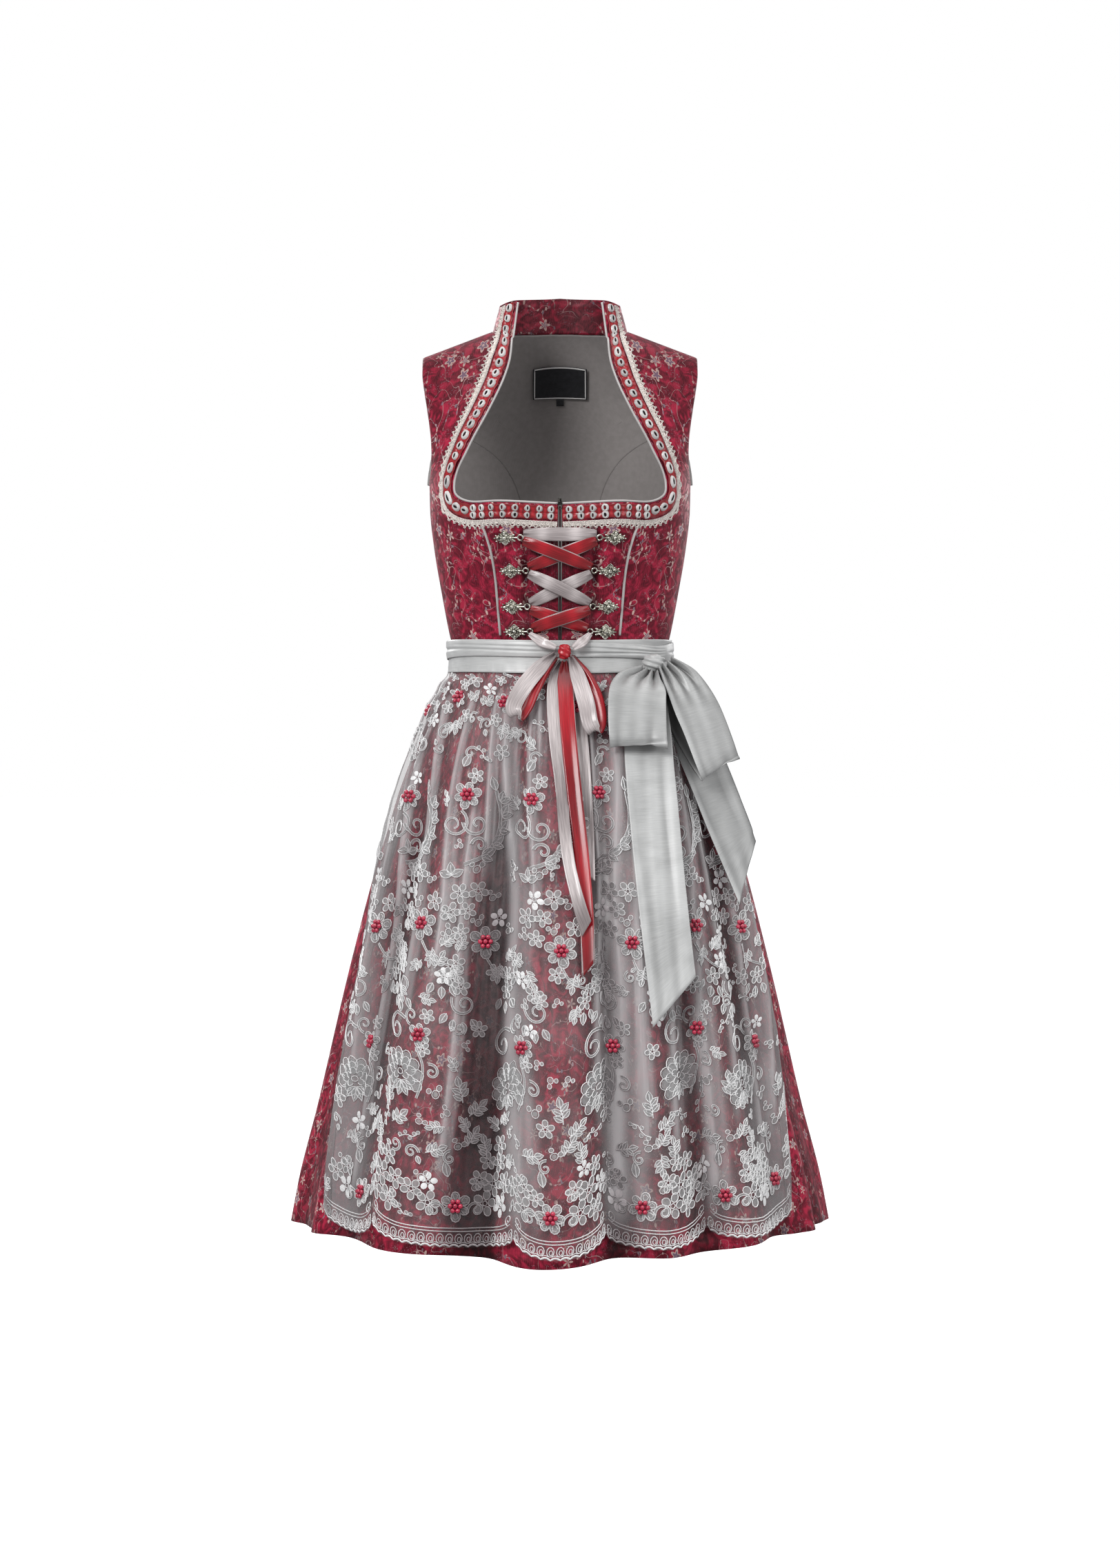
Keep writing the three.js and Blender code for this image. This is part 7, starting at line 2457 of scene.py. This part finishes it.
def hook_model(reach):
    """A cast hook in its own frame, in metres: x away from the zip, y up, z out of the bodice.

    A domed boss stands on a four-lobed plate of leaves, with a short neck to the eye for the ribbon.
    """
    plate = primitive("cylinder", vertices=32, radius=0.0078, depth=0.0013, location=(0, 0, 0.0007))
    bpy.ops.object.mode_set(mode="EDIT")
    bpy.ops.mesh.select_all(action="DESELECT")
    bpy.ops.object.mode_set(mode="OBJECT")
    for polygon in plate.data.polygons:
        polygon.select = polygon.normal.z > 0.9
    bpy.ops.object.mode_set(mode="EDIT")
    bpy.ops.mesh.select_mode(type="FACE")
    bpy.ops.mesh.inset(thickness=0.0016, depth=-0.0004)
    bpy.ops.mesh.inset(thickness=0.0016, depth=0.0009)
    bpy.ops.object.mode_set(mode="OBJECT")
    for vertex in plate.data.vertices:
        turn = math.atan2(vertex.co.y, vertex.co.x)
        lobe = 0.8 + 0.2 * math.cos(4 * turn) + 0.05 * math.cos(12 * turn)
        vertex.co.x *= lobe * 1.45
        vertex.co.y *= lobe * 1.1
    parts = [plate]
    for turn, away, length, width in (
        *[(0, 7.6, 4.6, 2.6), (180, 7.0, 4.2, 2.6), (90, 5.4, 3.8, 2.5), (270, 5.4, 3.8, 2.5)],
        *[(42, 6.6, 3.2, 1.9), (138, 6.2, 3.2, 1.9), (222, 6.2, 3.2, 1.9), (318, 6.6, 3.2, 1.9)],
        *[(20, 10.2, 2.2, 1.4), (340, 10.2, 2.2, 1.4), (0, 11.6, 1.8, 1.5)],
    ):
        place = (away * MM * cos(turn), away * MM * sin(turn) * 0.95, 0.0021)
        parts.append(cast_leaf(place, (length * 0.62, width * 0.62, 1.25), turn, -9))
    for turn in range(18, 360, 36):
        place = (4.4 * MM * cos(turn), 3.9 * MM * sin(turn), 0.0028)
        parts.append(primitive("ico_sphere", subdivisions=2, radius=0.95 * MM, location=place))
    boss = primitive("uv_sphere", segments=20, ring_count=10, radius=2.7 * MM, location=(0, 0, 0.0027))
    boss.scale = (1, 0.95, 0.72)
    wire_rings = {"major_segments": 30, "minor_segments": 10}
    radii = {"major_radius": EYE_RADIUS * MM, "minor_radius": EYE_WIRE * MM}
    eye = primitive("torus", location=(-reach * MM, 0, PLATE_THICK / 2 * MM), **wire_rings, **radii)
    long = (reach - EYE_RADIUS - HOOK_NECK) * MM
    place = (-(reach - EYE_RADIUS + HOOK_NECK) / 2 * MM, 0, PLATE_THICK / 2 * MM)
    neck = primitive("cylinder", vertices=12, radius=MM, depth=long, location=place)
    neck.rotation_euler = (0, math.radians(90), 0)
    parts += [boss, eye, neck]
    for turn in (158, 202):
        parts.append(cast_leaf((-10.2 * MM, 8 * MM * sin(turn), 0.0016), (2.6, 1.3, 1.1), turn))
    hook = joined_parts(parts, "hook_pattern")
    soft = hook.modifiers.new("worn_edges", "BEVEL")
    soft.width = 0.00025
    soft.segments = 1
    soft.limit_method = "ANGLE"
    deselect()
    hook.select_set(True)
    bpy.context.view_layer.objects.active = hook
    bpy.ops.object.modifier_apply(modifier="worn_edges")
    bpy.ops.object.shade_smooth_by_angle(angle=math.radians(42))
    return hook


def make_hooks():
    """Eight cast hooks: one is modelled, for the first hook's reach, and copied to every place on both sides.
    """
    look = finishes()
    pattern = hook_model(HOOKS[0]["plate"] - HOOKS[0]["eye"])
    pattern.data.materials.clear()
    pattern.data.materials.append(look.metal)
    for n, place in enumerate(hook_places()):
        frame_of = Matrix((place.side, place.up, place.out)).transposed().to_4x4()
        frame_of.translation = place.middle * MM
        for side, name in ((1, "left"), (-1, "right")):
            hook = bpy.data.objects.new(f"cast_hook_{name}_{n + 1}", pattern.data.copy())
            bpy.context.scene.collection.objects.link(hook)
            hook.data.transform(frame_of)
            if side < 0:
                hook.data.transform(Matrix.Scale(-1, 4, Vector((1, 0, 0))))
                hook.data.flip_normals()
            settle(hook, "antique_silver", f"hook_{name}_{n + 1}")
    bpy.data.objects.remove(pattern)


ZIP_THICK = 0.8


def make_zip():
    """The closed front zip: its teeth between the tapes, and the slider under the neckline."""
    look = finishes()
    levels = evenly(150, -351.5, -199)
    tooth = lambda n, z: [lifted(ON_TORSO, turn, z, -0.5 + 0.45 * (n % 2)) for turn in evenly(5, -0.34, 0.34)]
    rows = [tooth(n, z) for n, z in enumerate(levels)]
    settle(cloth_piece("zip_teeth", Sheet(rows), ZIP_THICK, (look.zip,)), "zip", "front_zip")
    low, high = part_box("zip_slider")
    middle = [(a + b) / 2 for a, b in zip(low, high)]
    slider = primitive("cube", size=1, location=middle)
    slider.name = "zip_slider_body"
    slider.scale = (0.0046, 0.0032, 0.0076)
    bpy.ops.object.transform_apply(location=True, rotation=True, scale=True)
    bpy.ops.object.mode_set(mode="EDIT")
    bpy.ops.mesh.select_all(action="SELECT")
    bpy.ops.mesh.bevel(offset=0.0009, segments=3, affect="EDGES")
    bpy.ops.object.mode_set(mode="OBJECT")
    hung = {
        "location": (middle[0], low[1] - 0.0006, middle[2] - 0.0045),
        "rotation": (math.radians(84), 0, 0),
    }
    wire_rings = {"major_segments": 28, "minor_segments": 8}
    pull = primitive("torus", major_radius=0.0028, minor_radius=0.0007, **wire_rings, **hung)
    pull.scale = (0.8, 1.5, 1)
    whole = joined_parts([slider, pull], "zip_slider_cast")
    whole.data.materials.clear()
    whole.data.materials.append(look.dark_metal)
    bpy.ops.object.shade_smooth_by_angle(angle=math.radians(40))
    settle(whole, "antique_silver", "zip_slider")


LABEL_THICK = 0.5
LABEL = SimpleNamespace(wide=66, top=-32, bottom=-57.4, tab=9, tab_top=-57.7, tab_bottom=-64.5, under=-5.9)


def make_labels():
    """The bare woven label at the centre back, its folded edge, and the size tab below it."""
    look = finishes()
    for name, node, wide, top, bottom, steps in (
        ("label_tape", "neck_label", LABEL.wide, LABEL.top, LABEL.bottom, 24),
        ("size_tape", "size_tab", LABEL.tab, LABEL.tab_top, LABEL.tab_bottom, 6),
    ):
        rows = []
        for level in evenly(steps, bottom, top):
            row = []
            for t in evenly(2 * steps, -0.5, 0.5):
                turn = math.degrees(math.asin(wide * t / torso.half(level)))
                row.append(lifted(ON_TORSO, 180 + turn, level, LABEL.under + 0.4 * math.cos(7 * t) - 0.6))
            rows.append(row)
        sheet = Sheet(rows)
        cut = {"flat": (SMALLEST_CUT, SMALLEST_CUT)} if node == "size_tab" else {}
        below = ["lining_centre_back"]
        sew(name, sheet, LABEL_THICK, (look.label,), "label", [node], "laid", below, **cut)
        if node == "neck_label":
            last_row, last_column = steps - 1, 2 * steps - 1
            edge = Stitches(lambda x, y, off: sheet.at(y, x, -0.6 - off))
            left, right, low, high = 1.4, last_column - 1.4, 0.8, last_row - 0.8
            corners = [(left, low), (right, low), (right, high), (left, high)]
            outline = []
            for (x, y), (p, q) in zip(corners, corners[1:] + corners[:1]):
                outline += [(lerp(x, p, t), lerp(y, q, t)) for t in evenly(13)[:-1]]
            edge.cord(outline, 0.9, 0.35, closed=True)
            settle(edge.made("label_edge_stitch", (look.mouth,)), "label")


# ------------------------------------------------------------------ stage, in metres
CAMERA_DISTANCE = 3.5
CAMERA_Z = -0.51
FLOOR_Z = -1.42
FRAME_HEIGHT = 1.8192  # what the camera sees at the origin's distance
SENSOR_HEIGHT = 36  # millimetres
FLOOR_RADIUS = 400
LAMPS = (
    ("key", (-1.5, -2.7, 1.0), (0, 0, -0.5), 1.3, 64),
    ("fill", (2.3, -2.3, 0.4), (0, 0, -0.6), 2.0, 28),
    ("back_left", (-1.8, 2.4, 1.0), (0, 0, -0.5), 1.6, 36),
    ("back_right", (2.0, 2.4, 0.6), (0, 0, -0.5), 1.6, 22),
)


def light(name, place, target, size, power):
    """A soft round lamp that faces its target."""
    lamp = bpy.data.lights.new(name, "AREA")
    lamp.shape = "DISK"
    lamp.size = size
    lamp.energy = power
    holder = bpy.data.objects.new(name, lamp)
    bpy.context.scene.collection.objects.link(holder)
    holder.location = place
    holder.rotation_euler = (Vector(target) - Vector(place)).to_track_quat("-Z", "Y").to_euler()


def make_stage():
    """A plain pale floor, a pale world, soft lights and the camera."""
    scene = bpy.context.scene
    scene.view_settings.view_transform = "Standard"
    camera = bpy.data.cameras.new("camera")
    camera.sensor_fit = "VERTICAL"
    camera.sensor_height = SENSOR_HEIGHT
    camera.lens = SENSOR_HEIGHT * CAMERA_DISTANCE / FRAME_HEIGHT
    camera.clip_end = 200
    holder = bpy.data.objects.new("camera", camera)
    scene.collection.objects.link(holder)
    holder.location = (0, -CAMERA_DISTANCE, CAMERA_Z)
    holder.rotation_euler = (math.radians(90), 0, 0)
    scene.camera = holder

    world = bpy.data.worlds.new("studio")
    scene.world = world
    world.use_nodes = True
    tree = world.node_tree
    path = add(tree, "LightPath")
    sky = add(tree, "Mix", {0: path.outputs["Is Camera Ray"]}, data_type="RGBA")
    sky.inputs["A"].default_value = (0.4, 0.4, 0.41, 1)
    sky.inputs["B"].default_value = (1, 1, 1, 1)
    tree.links.new(sky.outputs[2], tree.nodes["Background"].inputs["Color"])

    middle = Vector((0, 0, FLOOR_Z / MM))
    points = [Vector((cos(turn), sin(turn), 0)) * FLOOR_RADIUS / MM + middle for turn in range(0, 360, 6)]
    floor = mesh_piece("floor", points, [tuple(range(len(points)))], None, (floor_finish(),), False)
    floor.visible_diffuse = False
    floor.visible_glossy = False
    floor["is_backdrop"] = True
    lamp = bpy.data.lights.new("ceiling", "SUN")
    lamp.angle = math.radians(70)
    lamp.energy = 1.7
    ceiling = bpy.data.objects.new("ceiling", lamp)
    scene.collection.objects.link(ceiling)
    for name, place, target, size, power in LAMPS:
        light(name, place, target, size, power)


def floor_finish():
    """Painted board: matt and almost white, with a faint mottle so that it isn't one flat colour."""
    glow = {"Emission_Color": (1, 1, 1, 1), "Emission_Strength": 0.3}
    material, node, shader, _ = finish_named("painted_floor", Roughness=0.9, Specular_IOR_Level=0.1, **glow)
    mottle = node("TexNoise", {"Vector": node("TexCoord").outputs["Object"], "Scale": 2.0, "Detail": 1.0})
    wire(shader, Base_Color=node("ValToRGB", {0: mottle}, [(0.3, "f7f7f7"), (0.7, "f9f9f9")]))
    return material


# ------------------------------------------------------------------ the add-on
def length_property(name, description, metres, low, high):
    """A length on the panel, in metres."""
    return bpy.props.FloatProperty(
        name=name, description=description, default=metres, min=low, max=high, unit="LENGTH", precision=5
    )


def colour_property(name, description, text):
    """A colour on the panel, given as sRGB hex."""
    return bpy.props.FloatVectorProperty(
        name=name, description=description, default=linear(text)[:3], min=0, max=1, size=3, subtype="COLOR"
    )


class DirndlSizes(bpy.types.PropertyGroup):
    """Sizes of the cloth and trims."""

    cloth: length_property("Cloth", "Thickness of the jacquard", 0.001, 0.0005, 0.0014)
    thin_cloth: length_property("Thin cloth", "Thickness of the sash, tie and lining", 0.0006, 0.0002, 0.001)
    organza: length_property("Organza", "Thickness of the apron", 0.0004, 0.0002, 0.001)
    ribbon: length_property("Ribbon", "Thickness of the satin ribbon", 0.0006, 0.0002, 0.001)
    bead: length_property("Bead", "Diameter of a pearl bead on the apron", 0.0056, 0.002, 0.006)
    fold_depth: bpy.props.FloatProperty(
        name="Gathers", description="Depth of the small gathers in the skirt", default=1.0, min=0.0, max=1.4
    )


class DirndlLook(bpy.types.PropertyGroup):
    """Colours and cover of the cloth."""

    jacquard: colour_property("Jacquard", "Middle tone of the jacquard's satin ground", "8f1c34")
    red_ribbon: colour_property("Red ribbon", "Colour of the red ribbon and of the trim's band", "c01a29")
    silver_ribbon: colour_property("Silver ribbon", "Colour of the silver ribbon", "ddd3d2")
    taffeta: colour_property("Taffeta", "Middle tone of the apron's band and bow", "b9bab9")
    embroidery: colour_property("Embroidery", "Colour of the apron's embroidery thread", "fbfbfb")
    beads: colour_property("Beads", "Colour of the pearl beads", "8f1733")
    organza_cover: bpy.props.FloatProperty(
        name="Organza cover",
        description="How much of what is behind it one layer of the apron hides",
        default=0.13,
        min=0.05,
        max=1.0,
        subtype="FACTOR",
    )


class DIRNDL_OT_bodice(bpy.types.Operator):
    """Make the panels of the bodice and their lining"""

    bl_idname = "dirndl.bodice"
    bl_label = "Bodice"

    def execute(self, context):
        make_bodice()
        return {"FINISHED"}


class DIRNDL_OT_collar(bpy.types.Operator):
    """Make the stand collar"""

    bl_idname = "dirndl.collar"
    bl_label = "Collar"

    def execute(self, context):
        make_collar()
        return {"FINISHED"}


class DIRNDL_OT_trim(bpy.types.Operator):
    """Make the pinched satin trim, its lace and the piping"""

    bl_idname = "dirndl.trim"
    bl_label = "Neckline trim"

    def execute(self, context):
        make_ruche()
        make_lace()
        make_piping()
        return {"FINISHED"}


class DIRNDL_OT_zip(bpy.types.Operator):
    """Make the front zip and its slider"""

    bl_idname = "dirndl.zip"
    bl_label = "Zip"

    def execute(self, context):
        make_zip()
        return {"FINISHED"}


class DIRNDL_OT_labels(bpy.types.Operator):
    """Make the bare neck label and size tab"""

    bl_idname = "dirndl.labels"
    bl_label = "Labels"

    def execute(self, context):
        make_labels()
        return {"FINISHED"}


class DIRNDL_OT_hooks(bpy.types.Operator):
    """Make the cast lacing hooks"""

    bl_idname = "dirndl.hooks"
    bl_label = "Hooks"

    def execute(self, context):
        make_hooks()
        return {"FINISHED"}


class DIRNDL_OT_ribbons(bpy.types.Operator):
    """Make the lacing and the ribbon bow"""

    bl_idname = "dirndl.ribbons"
    bl_label = "Lacing and bow"

    def execute(self, context):
        make_lacing()
        make_bow()
        return {"FINISHED"}


class DIRNDL_OT_skirt(bpy.types.Operator):
    """Make the gathered skirt"""

    bl_idname = "dirndl.skirt"
    bl_label = "Skirt"

    def execute(self, context):
        make_skirt()
        return {"FINISHED"}


class DIRNDL_OT_apron(bpy.types.Operator):
    """Make the sheer apron, its band and its tie"""

    bl_idname = "dirndl.apron"
    bl_label = "Apron"

    def execute(self, context):
        make_apron()
        make_waistband()
        return {"FINISHED"}


class DIRNDL_OT_embroidery(bpy.types.Operator):
    """Embroider the apron and sew on its beads"""

    bl_idname = "dirndl.embroidery"
    bl_label = "Embroidery"

    def execute(self, context):
        make_embroidery()
        return {"FINISHED"}


class DIRNDL_OT_sash(bpy.types.Operator):
    """Make the bow of the apron ties"""

    bl_idname = "dirndl.sash"
    bl_label = "Sash bow"

    def execute(self, context):
        make_sash()
        return {"FINISHED"}


class DIRNDL_OT_stage(bpy.types.Operator):
    """Make the floor, the lights and the camera"""

    bl_idname = "dirndl.stage"
    bl_label = "Stage"

    def execute(self, context):
        make_stage()
        return {"FINISHED"}


OPERATORS = (
    DIRNDL_OT_stage,
    DIRNDL_OT_bodice,
    DIRNDL_OT_collar,
    DIRNDL_OT_trim,
    DIRNDL_OT_zip,
    DIRNDL_OT_labels,
    DIRNDL_OT_hooks,
    DIRNDL_OT_ribbons,
    DIRNDL_OT_skirt,
    DIRNDL_OT_apron,
    DIRNDL_OT_embroidery,
    DIRNDL_OT_sash,
)


class DIRNDL_PT_panel(bpy.types.Panel):
    """Lists the sizes, the looks and the pieces."""

    bl_label = "Dirndl"
    bl_space_type = "VIEW_3D"
    bl_region_type = "UI"
    bl_category = "Dirndl"

    def draw(self, context):
        for group in (context.scene.dirndl_sizes, context.scene.dirndl_look):
            for name in group.__annotations__:
                self.layout.prop(group, name)
        for operator in OPERATORS:
            self.layout.operator(operator.bl_idname)


CLASSES = (DirndlSizes, DirndlLook, *OPERATORS, DIRNDL_PT_panel)


def register():
    """Adds the classes, and the two groups of properties on the scene."""
    for item in CLASSES:
        bpy.utils.register_class(item)
    bpy.types.Scene.dirndl_sizes = bpy.props.PointerProperty(type=DirndlSizes)
    bpy.types.Scene.dirndl_look = bpy.props.PointerProperty(type=DirndlLook)


def unregister():
    """Takes them away again."""
    del bpy.types.Scene.dirndl_look
    del bpy.types.Scene.dirndl_sizes
    for item in reversed(CLASSES):
        bpy.utils.unregister_class(item)


def main():
    """Makes every piece through its operator, and works out how large the solids and the pieces are."""
    register()
    for operator in OPERATORS:
        group, name = operator.bl_idname.split(".")
        getattr(getattr(bpy.ops, group), name)()
    plain = lambda box: [[round(float(c), 6) for c in corner] for corner in box]
    {"cad": plain(CAD_BOX), "visual": plain(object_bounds())}


if __name__ == "__main__":
    main()
